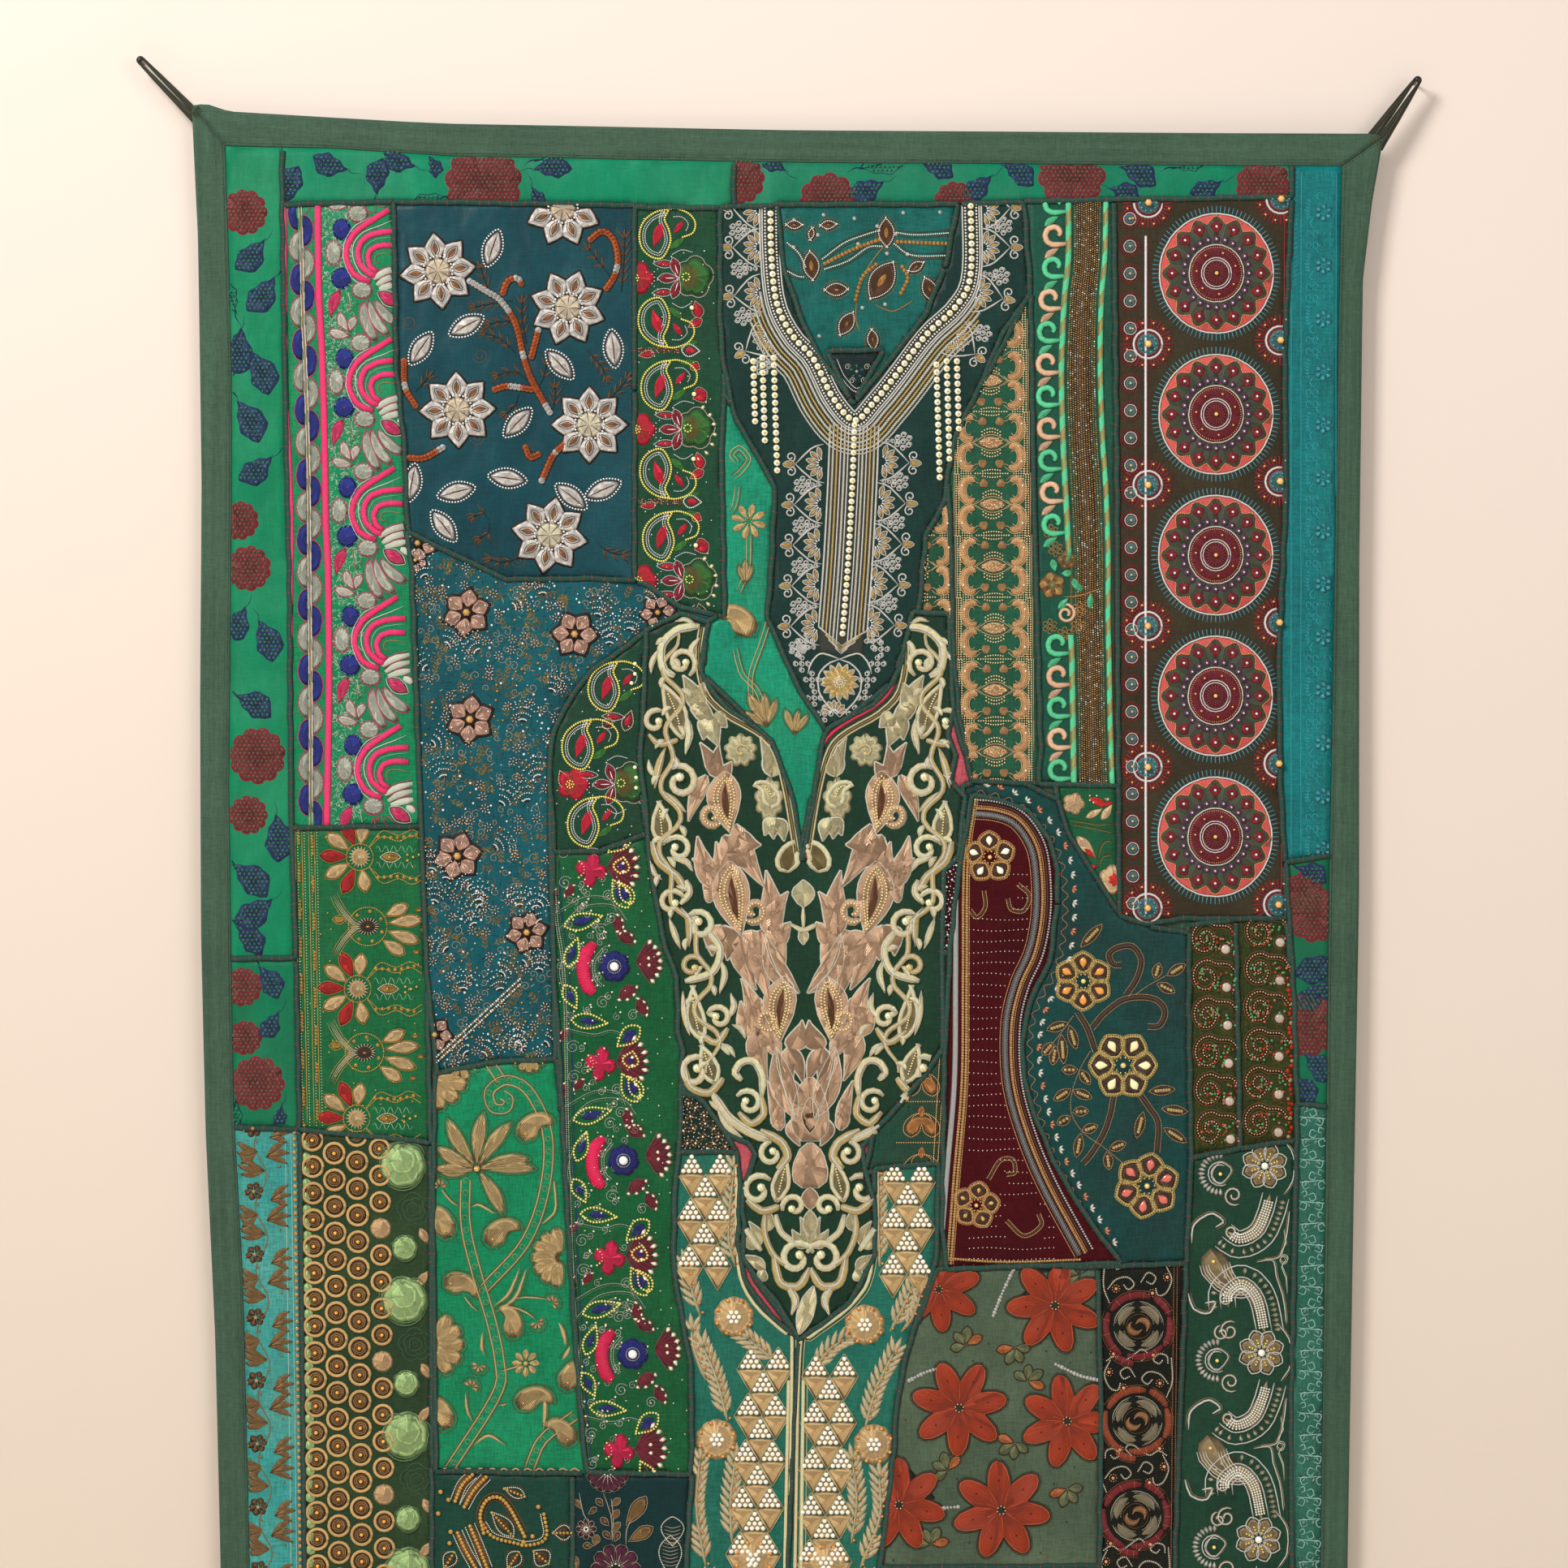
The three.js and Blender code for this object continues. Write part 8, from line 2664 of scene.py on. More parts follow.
def sew_gold_vine():
    """A lily on a double-lined stem, hatched paisleys, fans of petals and slender leaves."""
    work = Work("gold_vine")
    beige, gold, dark = rgb(202, 172, 118), rgb(184, 150, 92), rgb(96, 74, 38)
    for line in (((-294, -1178), (-253, -1113), (-250, -1085), (-258, -1046), (-270, -1007),
                  (-280, -964), (-280, -924)),
                 ((-264, -1020), (-227, -978), (-210, -930), (-208, -882), (-224, -846), (-244, -836),
                  (-259, -846), (-256, -860), (-245, -861), (-242, -853), (-248, -849)),
                 ((-224, -1178), (-212, -1152), (-184, -1131)), ((-260, -819), (-248, -837))):
        line = curve(line, 2.2)
        for side in (4, -4):
            work.ridge(beside(line, side), 1.7, beige, height=1.0, taper="even")
            work.ridge(beside(line, side * 1.35), 0.8, dark, kind="beads", height=0.5, taper="even")
        for one in line[3::5]:
            work.ridge(around(one, 2.3, 8), 0.6, beige * 0.8, closed=True, height=0.3)
    heart = (-270, -914)
    for tip in ((-297, -869), (-264, -863), (-239, -872), (-222, -905), (-217, -914), (-246, -956),
                (-308, -914), (-306, -895)):
        ring = leaf_rings(heart, tip, 13, "petal", bend=2)[0]
        work.pad(ring, beige, height=1.3)
        work.edged(ring, -1.0, 0.7, dark)
        middle = (ring[1:7] + ring[::-1][1:7]) / 2
        for side in (-1.6, 0.2, 2.0):
            work.ridge(beside(middle, side), 0.7, dark, height=0.3, base=1.1)
    work.beads([heart], 3, gold, kind="gold", sides=8)
    for place, turn, size, flip in (((-298, -969), 100, 1.0, True), ((-256, -976), 80, 1.0, False),
                                    ((-227, -883), 80, 1.0, False), ((-293, -1015), 30, 0.95, False),
                                    ((-239, -1057), 120, 0.9, True), ((-299, -1137), 100, 1.0, True),
                                    ((-229, -1120), 60, 1.0, False), ((-190, -1152), 90, 0.9, True),
                                    ((-190, -1102), 90, 1.0, False)):
        work.at(place, 0, size, flip)
        ring = comma_ring((0, 0), 42, 21, turn, -130)
        work.pad(ring, beige, height=1.1)
        work.edged(ring, -1.1, 0.7, dark)
        hatch = np.linspace(-11, 11, 12)
        lines = np.stack([np.column_stack([hatch - 7, hatch * 0 - 9]),
                          np.column_stack([hatch + 7, hatch * 0 + 9])], 1)
        lines = lines[:, :1] + (lines[:, 1:] - lines[:, :1]) * np.linspace(0, 1, 9)[:, None]
        for line in lines:
            within = inside(line, drawn_in(ring, 1.4))
            if within.sum() > 1:
                work.ridge(line[within], 0.6, dark, height=0.3, base=0.95, taper="even")
        work.beads([(0, 0)], 1.3, rgb(214, 160, 92), sides=6, base=1.1)
    work.home()
    for heart, reach, start, end, count in (((-311, -1069), 31, -84, 84, 7),
                                            ((-196, -992), 27, 100, 260, 7),
                                            ((-309, -831), 33, -78, -20, 3),
                                            ((-224, -814), 16, -150, -30, 5),
                                            ((-285, -819), 18, -150, -30, 4)):
        rays = spokes(heart, 3, reach, count, start, end, 2)
        back = leaf_rings(rays[:, 1], rays[:, 0], reach * 0.44, "drop")
        work.pad(back, beige, height=1.2)
        for ring, ray in zip(back, rays):
            work.edged(ring, -0.9, 0.65, dark)
            core = ray[1] + (ray[0] - ray[1]) * np.linspace(0.16, 0.7, 5)[:, None]
            work.ridge(core, 2.4, gold * 0.8, height=0.5, base=1.0, taper="leaf")
            work.beads([core[0]], 0.9, rgb(214, 160, 92), rows=SEED_ROWS, base=1.4)
    work.pad(petals((-227, -1085), 2, 13, 6, 8, 90), beige, height=1.1)
    work.beads([(-227, -1085)], 2.4, gold, kind="gold")
    for heart, turn in (((-204, -1032), 40), ((-217, -1049), -60), ((-268, -1087), -100),
                        ((-275, -1106), 60), ((-303, -930), 100)):
        work.pad(petals(heart, 0, 8, 4.2, 5, turn - 90, turn + 90), beige, height=1.0)
        work.string(arc(heart, 9, turn - 90, turn + 90, 12), 0.6, dark, **SEEDS)
    for line, width in ((((-275, -948), (-268, -946), (-254, -954)), 3),
                        (((-232, -1001), (-242, -1024), (-256, -1035)), 4),
                        (((-226, -1001), (-236, -1027), (-254, -1040)), 4),
                        (((-265, -1058), (-266, -1070), (-264, -1079)), 4),
                        (((-280, -1111), (-279, -1126), (-274, -1138)), 3.4),
                        (((-214, -1105), (-210, -1123), (-212, -1145)), 5),
                        (((-274, -1158), (-260, -1149), (-245, -1158)), 3.4),
                        (((-301, -933), (-294, -942), (-287, -947)), 2.4),
                        (((-236, -1028), (-224, -1027), (-207, -1029)), 2),
                        (((-242, -1035), (-229, -1039), (-219, -1046)), 2),
                        (((-250, -1122), (-247, -1122), (-244, -1121)), 2),
                        (((-248, -1092), (-241, -1090), (-231, -1087)), 2),
                        (((-198, -1049), (-194, -1058), (-192, -1070)), 5),
                        (((-195, -1082), (-190, -1075), (-188, -1070)), 5),
                        (((-281, -1027), (-275, -1035), (-270, -1039)), 2),
                        (((-202, -925), (-201, -950), (-212, -962)), 2.4)):
        work.ridge(curve(line), width, beige, taper="leaf" if width > 2.4 else "soft", height=0.9)
        work.string(beside(curve(line), width / 2 + 0.6), 0.6, dark, **SEEDS)
    edge = np.column_stack([np.linspace(-311, -179, 90), -1179 + 1.2 * np.sin(np.arange(90) * 0.9)])
    work.ridge(edge, 2.0, beige, height=0.9, taper="even")
    work.finish()
    work = Work("lily_sliver")
    for line in (((-44, -306), (-37, -300), (-31, -290), (-39, -280), (-46, -286), (-41, -293)),
                 ((-41, -314), (-43, -329), (-47, -337)), ((-31, -357), (-32, -386), (-40, -407)),
                 ((-43, -457), (-37, -479), (-24, -493), (-16, -514)),
                 ((-8, -414), (-19, -450), (-29, -479), (-29, -500))):
        line = curve(line, 2.2)
        for side in (1.8, -1.8):
            work.ridge(beside(line, side), 1.3, beige, height=0.8)
        work.string(beside(line, 3.2), 0.6, dark, **SEEDS)
    work.pad(petals((-31, -345), 2, 17, 7, 8, 75), beige, height=1.1)
    work.beads(around((-31, -345), 3, 7), 1.1, gold, kind="gold")
    work.at((-33, -439), 0, 1.1)
    ring = comma_ring((0, 0), 44, 22, 100, 130)
    work.pad(ring, beige, height=1.1)
    work.ridges(np.stack([np.column_stack([np.linspace(-9, 8, 9), np.full(9, -8)]),
                          np.column_stack([np.linspace(-5, 12, 9), np.full(9, 6)])], 1), 0.7, dark,
                height=0.3, base=0.9)
    work.home()
    for place, turn, reach in (((-15, -525), 120, 34), ((-15, -525), 95, 30), ((-15, -525), 150, 26),
                               ((-15, -525), 70, 26), ((9, -532), 110, 24), ((9, -532), 80, 22),
                               ((9, -532), 55, 22), ((-34, -400), 70, 18), ((-34, -400), 110, 18),
                               ((-34, -400), 90, 22)):
        way = np.array([math.cos(math.radians(turn)), math.sin(math.radians(turn))]) * reach
        ring = leaf_rings(place, place + way, reach * 0.3, "petal")[0]
        work.pad(ring, beige, height=1.2)
        work.edged(ring, -0.8, 0.6, dark)
        work.ridge(place + way * np.linspace(0.1, 0.9, 6)[:, None], 0.8, dark, height=0.3, base=1.1)
    work.finish()


def sew_blocks():
    """Copper block motifs: a marquise with dotted rows, double lobes on both sides, dotted edges."""
    copper, bead, pale = rgb(178, 138, 96), rgb(224, 184, 140), rgb(214, 166, 124)
    for patch in ("block_border", "block_sliver"):
        work = Work(patch)
        for k in range(-1, 17):
            z = -221 - 54.4 * k
            middle = 183 + 3.2 * math.sin(0.35 * k - 0.6)
            work.at((middle - (66.0 if patch == "block_sliver" else 0.0), z))
            work.pad(leaf_rings((-12.5, 0), (12.5, 0), 12, "leaf"), pale, height=1.0, kind="gold")
            spots = random.uniform((-10, -4), (10, 4), (46, 2))
            spots = spots[np.abs(spots[:, 1]) < 5.4 * np.cos(spots[:, 0] * 0.13)]
            work.beads(spots, 0.8, bead, **SEEDS, base=0.8)
            work.ridge(leaf_rings((-15, 0), (15, 0), 14, "leaf")[0], 1.0, bead, closed=True, kind="gold",
                       height=0.8)
            across = np.linspace(-8, 8, 8)
            for rise in (9.4, 12.4):
                for way in (1, -1):
                    row = np.column_stack([across, way * (rise - 0.045 * across**2)])
                    work.beads(row, 0.95, bead, **SEEDS)
            for side in (1, -1):
                for up in (1, -1):
                    heart = (side * 20.0, up * 12.6)
                    body = arc(heart, 6.6, 90 - side * 90 - 125, 90 - side * 90 + 125, 16, squash=1.45)
                    work.ridge(body, 7.0, copper, kind="gold", height=1.3, section="dome", taper="soft")
                    work.beads(evenly(body, 1.8), 0.8, pale, **SEEDS, base=1.15)
                    work.beads([heart + np.array([side * 6.6, up * 4])], 1.2, (1, 0.86, 0.7), sides=6,
                               rows=SEED_ROWS, base=1.2)
                    for reach, squash in ((10.6, 1.24), (3.0, 2.0)):
                        rim = arc(heart, reach, 90 - side * 90 - 140, 90 - side * 90 + 140, 20,
                                  squash=squash)
                        work.ridge(rim, 1.1, bead, kind="gold", height=0.9)
                    work.ridge((heart + np.array([-side * 3, up * 9.5]), (side * 13.5, up * 19),
                                (side * 9, up * 19)), 1.0, bead, kind="gold", height=0.8)
                    work.pad(lobed((side * 7.5, up * 18.5), 4.6, 3, 0.25, up * 90), copper, height=1.1,
                             kind="gold")
                work.ridge(((side * 15, 0), (side * 17.5, 0), (side * 20, 0)), 1.2, bead, kind="gold",
                           height=0.8)
                edge = np.arange(-27.2, 27.2, 2.05)
                for out in (29.4, 31.8):
                    work.beads(np.column_stack([np.full(len(edge), side * out), edge]), 0.9, bead, **SEEDS)
                work.ridge(((side * 33.6, -28), (side * 33.6, 0), (side * 33.6, 28)), 1.0, bead,
                           kind="gold", taper="even", height=0.8)
                corner = np.array([(x, y) for y in (-4.2, -2.1, 0, 2.1, 4.2) for x in range(5)
                                   if abs(y) * 0.75 + x < 5]) * (-2.1, 1)
                work.beads((corner + (27.4, 27.2)) * (side, 1), 0.85, bead, **SEEDS)
            for rise in (-3.4, 0, 3.4):
                reach = 8.6 if rise else 15
                row = np.arange(-reach, reach + 0.1, 2.2)
                work.beads(np.column_stack([row, 27.2 + rise * (1 - (row / 14) ** 2)]), 0.9, bead, **SEEDS)
        work.finish()


def sew_ribbon_border():
    """Scrolls in mint and cream by turns, two striped cables, a bronze ribbon, and a flower on it."""
    work = Work("ribbon_border")
    mint, cream, bronze, gold = rgb(88, 206, 150), rgb(228, 184, 150), rgb(146, 116, 74), rgb(190, 146, 86)
    left = curve(((250, -61), (250, -114), (247, -143), (245, -179), (244, -221), (246, -286), (249, -343),
                  (251, -386), (251, -429), (253, -457), (254, -507), (255, -586)), 2.4)
    right = curve(((283, -61), (282, -114), (279, -150), (278, -207), (280, -271), (283, -314), (285, -371),
                   (285, -429), (286, -471), (287, -529), (289, -586)), 2.4)
    heights = [-66 - 28.2 * k for k in range(11)] + [-454 - 27.5 * k for k in range(6)]
    for k, z in enumerate(heights):
        x = np.interp(-z, -left[:, 1], left[:, 0]) - 12.5
        colour = mint if k % 2 == 0 and k < 11 or k > 10 and k % 2 else cream
        work.at((x, z))
        line = curve(((11.5, -6.5), (5, -7.2), (-1.5, -7.4), (-6.4, -4.6), (-8, 0.5), (-6.2, 5.6),
                      (-1.5, 8), (3.2, 6.6), (5, 2.6), (3.4, 0.2)), 2.0)
        work.ridge(line, 5.4, colour, height=1.7, section="dome", taper="soft")
        work.ridge(line, 7.2, colour * 0.55, height=0.6, taper="soft")
        work.ridges(np.stack([beside(line, 2.6), beside(line, -2.6)], 1), 0.6, colour * 0.7, height=0.3,
                    base=1.25)
        work.pad(leaf_rings((5, -10), (-9, -20.4), 6.8, "petal", bend=-1.2), colour * 0.95, height=1.4)
        work.ridge(((4, -10.6), (-3, -15), (-8.6, -20)), 0.6, colour * 0.6, height=0.3, base=1.1)
    work.home()
    for cable, width in ((left, 5.8), (right, 5.2)):
        for part in (cable[cable[:, 1] > -379], cable[cable[:, 1] < -443]) if cable is left else (cable,):
            work.ridge(part, width, mint, height=1.5, section="dome", taper="even")
            far = np.arange(len(part))
            lit = part[(far // 5) % 2 == 1]
            stitches = np.stack([lit + (-width * 0.42, -3.4), lit + (0, 0), lit + (width * 0.42, 3.4)], 1)
            # A lighter copy of the gold stitches above a darker one: painted highlight on top and painted
            # shade below
            for shift in (0.0, 1.2):
                work.ridges(stitches + (0, shift), 1.5, gold * (0.85, 1.08)[shift > 0], height=0.7,
                            base=1.0, kind="gold")
    height = np.arange(-61, -586, -2.0)
    inner = np.interp(-height, -left[:, 1], left[:, 0]) + 5.0
    outer = np.interp(-height, -right[:, 1], right[:, 0]) - 4.4
    work.ridge(np.column_stack([(inner + outer) / 2, height]), 25, rgb(48, 36, 22), height=0.4,
               taper="even")
    for share in np.linspace(0.03, 0.97, 12):
        strand = np.column_stack([inner + (outer - inner) * share, height + random.uniform(-0.8, 0.8)])
        tone = bronze * random.uniform(0.7, 1.5, (len(strand), 1))
        # A few beads take a pale colour as painted glints; the rest vary in tone at random
        tone[random.random(len(strand)) < 0.08] = (0.9, 0.8, 0.62)
        work.beads(strand, 0.92, tone, **SEEDS, kind="sequins", tall=1.1, base=0.2)
    for x in (2.6, 3.8):
        work.ridge(np.column_stack([inner - x, height])[::3], 0.8, gold * 0.7, kind="gold", height=0.7,
                   taper="even")
    for place, radius in (((236, -401), 10.5), ((249, -379), 7.5)):
        work.pad(lobed(place, radius * 1.2, 5, 0.2, 30), gold * 0.6, height=1.0)
        work.pad(petals(place, radius * 0.2, radius * 1.15, radius * 0.8, 5, 30), gold, height=1.8)
        work.ridges(spokes(place, radius * 0.4, radius, 24, 0, 360, 2), 0.7, bronze, height=0.4, base=1.5)
        work.pad(around(place, radius * 0.3, 9), mint * 0.8, height=2.2)
    for base, tip in (((239, -390), (236, -377)), ((243, -391), (254, -390)), ((251, -397), (264, -406)),
                      ((270, -406), (269, -423)), ((251, -411), (241, -423)), ((260, -407), (254, -394))):
        leaf = leaf_rings(base, tip, 7.4, "petal")
        work.pad(leaf, mint * 0.85, height=1.6)
        work.ridge((base, tip), 0.8, mint * 0.4, height=0.3, base=1.3)
    work.ridge(curve(((247, -411), (260, -410), (281, -403))), 1.8, gold, kind="gold", height=1.2)
    work.ridge(spiral((248, -426), 9, 2.2, 130, -1.5, 20), 3.0, cream, height=1.5, section="dome")
    for heart in ((235, -354), (239, -369), (260, -422), (234, -437), (259, -437), (247, -444)):
        for spot in np.vstack([[heart], around(heart, 4.6, 6, 30)]):
            work.ridge(around(spot, 1.9, 8), 1.1, gold, closed=True, kind="gold", height=0.9)
    work.string([(291, -73), (290, -571)], 0.7, rgb(120, 40, 40), **SEEDS)
    work.finish()


def sew_turquoise_trim():
    """A lattice edge, round flowers with a sprig, and small loops between two lines."""
    work = Work("turquoise_trim")
    light, deep = rgb(58, 176, 192), rgb(20, 140, 160)
    height = np.linspace(-39, -643, 150)
    # the units in a millimetre that the lattice and the loops are set out in
    units = 1.4
    for x in (624, 636, 679):
        work.ridge(np.column_stack([np.full(150, x / units), height]), 0.8, light, height=0.4, taper="even")
    left = np.column_stack([np.full(150, 625 / units), height])
    right = np.column_stack([np.full(150, 635 / units), height])
    for first, second in ((left[:-1], right[1:]), (right[:-1], left[1:])):
        work.ridges(np.stack([first, second], 1), 0.6, deep, height=0.3)
    for k in range(14):
        z = -74 - 46.6 * k
        work.at((474, z))
        work.pad(petals((0, 0), 1.6, 8.6, 6.6, 6, 90), light, height=0.9)
        work.ridge(around((0, 0), 1.8, 10), 0.8, light, closed=True, height=0.6)
        for line in (((-2, 9), (-6, 14), (-4, 18), (-1, 16)), ((-8, -4), (-12, -9), (-9, -13), (-6, -10))):
            work.ridge(curve(line), 1.0, light, height=0.5)
        work.sprig(curve(((-12, -8), (-14, 0), (-13, 9))), light, leaf=3.4, pitch=3, width=1.1)
        for row in (26, 40):
            low = -row / units
            for x in (-13, -7):
                work.ridge(around((x, low), 2.2, 9, squash=1.4), 0.8, light, closed=True, height=0.5)
            for x in (-3, 2, 7):
                work.ridge(((x - 2, low + 2.4), (x, low - 2), (x + 2, low + 2.4)), 0.9, light, height=0.5)
    work.finish()


def printed(work, ring, base, dot, line, pitch=3.9):
    """A printed motif: a flat ground, dots on it in a honeycomb, and a darker outline."""
    work.pad(ring, base, height=0.34, rows=PRINT_ROWS)
    low, high = ring.min(0), ring.max(0)
    rows = np.arange(low[1], high[1], pitch * 0.87)
    across, down = np.meshgrid(np.arange(low[0], high[0] + pitch, pitch), rows)
    across[::2] += pitch / 2
    grid = np.column_stack([across.ravel(), down.ravel()])
    grid = grid[inside(grid, drawn_in(ring, 1.2))]
    work.beads(grid, pitch * 0.36, dot, kind="floss", sides=4, rows=SEQUIN_ROWS, tall=0.1, base=0.36)
    work.ridge(ring, 1.0, line, closed=True, height=0.38)


def sew_prints():
    """Crimson peonies and navy leaves, filled with dots, on the printed cotton strips."""
    navy, night, green = rgb(12, 40, 84), rgb(8, 26, 76), rgb(60, 152, 124)
    crimson, olive, red = rgb(112, 24, 38), rgb(118, 124, 82), rgb(164, 14, 38)
    peonies = {
        "print_top_left": (((-264, -47), 34, 10), ((-453, -51), 20, 0)),
        "print_top_right": (((-81, -39), 30, 0), ((-39, -44), 22, 40), ((39, -64), 26, 20),
                            ((253, -39), 30, 60), ((421, -49), 24, 30), ((150, -64), 18, 0)),
        "print_left_high": (((-474, -73), 20, 0), ((-479, -344), 17, 20), ((-471, -386), 20, 50),
                            ((-463, -551), 25, 10), ((-471, -603), 17, 0)),
        "print_left_low": (((-476, -754), 17, 0), ((-463, -839), 24, 30), ((-474, -799), 15, 0)),
        "print_right": (((466, -691), 24, 0), ((461, -787), 28, 20), ((457, -671), 18, 0)),
        "print_bottom": (((-390, -1471), 34, 0), ((-147, -1479), 34, 30), ((110, -1468), 34, 10),
                         ((353, -1479), 34, 50)),
    }
    leaves = {
        "print_top_left": (((-387, -34), (-411, -26)), ((-357, -54), (-354, -29)),
                           ((-327, -31), (-349, -23)), ((-311, -27), (-306, -41)),
                           ((-439, -64), (-429, -36)), ((-484, -47), (-490, -29)),
                           ((-463, -47), (-447, -61)), ((-216, -36), (-190, -34)),
                           ((-221, -54), (-216, -69)), ((-299, -60), (-326, -70)),
                           ((-214, -27), (-197, -21))),
        "print_top_right": (((-146, -39), (-159, -20)), ((-104, -41), (-139, -60)),
                            ((-100, -57), (-86, -69)), ((-51, -61), (-61, -47)), ((-1, -34), (-16, -23)),
                            ((71, -34), (103, -26)), ((84, -47), (60, -57)), ((124, -31), (146, -40)),
                            ((179, -43), (160, -57)), ((196, -34), (217, -47)), ((300, -36), (324, -47)),
                            ((346, -34), (367, -29)), ((381, -47), (360, -56)), ((289, -54), (310, -61))),
        "print_left_high": (((-460, -100), (-479, -121)), ((-451, -133), (-469, -157)),
                            ((-479, -179), (-487, -214)), ((-467, -200), (-454, -229)),
                            ((-479, -243), (-463, -271)), ((-454, -290), (-476, -307)),
                            ((-476, -423), (-489, -447)), ((-461, -436), (-450, -464)),
                            ((-479, -500), (-454, -514)), ((-481, -650), (-457, -671)),
                            ((-454, -679), (-479, -697)), ((-479, -704), (-461, -723)),
                            ((-447, -607), (-444, -640)), ((-483, -157), (-490, -137))),
        "print_left_low": (((-460, -740), (-446, -761)), ((-447, -779), (-459, -796)),
                           ((-483, -857), (-489, -876)), ((-443, -861), (-447, -874))),
        "print_right": (((480, -729), (453, -743)), ((471, -753), (453, -771)),
                        ((460, -816), (481, -836)), ((450, -836), (464, -854)),
                        ((481, -766), (474, -750)), ((453, -651), (474, -660))),
        "print_bottom": tuple(((x, -1457 - 12 * (k % 2)), (x + 26 * (-1) ** k, -1483))
                              for k, x in enumerate(range(-440, 293, 61))),
    }
    for patch in peonies:
        work = Work(patch)
        for base, tip in leaves[patch]:
            base, tip = np.array(base, float), np.array(tip, float)
            way = (tip - base) / np.linalg.norm(tip - base)
            middle, reach = (base + tip) / 2, np.linalg.norm(tip - base) * 0.62
            turn = math.degrees(math.atan2(way[1], way[0]))
            flat = np.array([-way[1], way[0]])
            ring = leaf_rings(middle - way * reach, middle + way * reach, reach * 1.25, "petal", bend=2.5,
                              count=12)[0]
            ring = drawn_in(ring, 0.9 * np.sin(np.arange(len(ring))[:, None] * 1.6))
            printed(work, ring, navy, green, night)
            work.ridge(curve((base - way * 6, middle, tip), 3), 1.0, night, height=0.4)
            work.ridge(curve((base - way * 16, base - way * 8 + flat * 2, base), 3), 1.4, night,
                       height=0.14)
        for place, radius, turn in peonies[patch]:
            ring = lobed(place, radius, 11, 0.12, turn, points=4)
            printed(work, ring, crimson, olive, red)
            for share in (0.72, 0.45, 0.2):
                work.ridge(lobed(place, radius * share, 7, 0.2, turn * 2, points=4), 1.3, red, closed=True,
                           height=0.4)
            work.ridges(spokes(place, radius * 0.45, radius * 0.9, 8, turn), 1.2, red, height=0.39)
        work.finish()


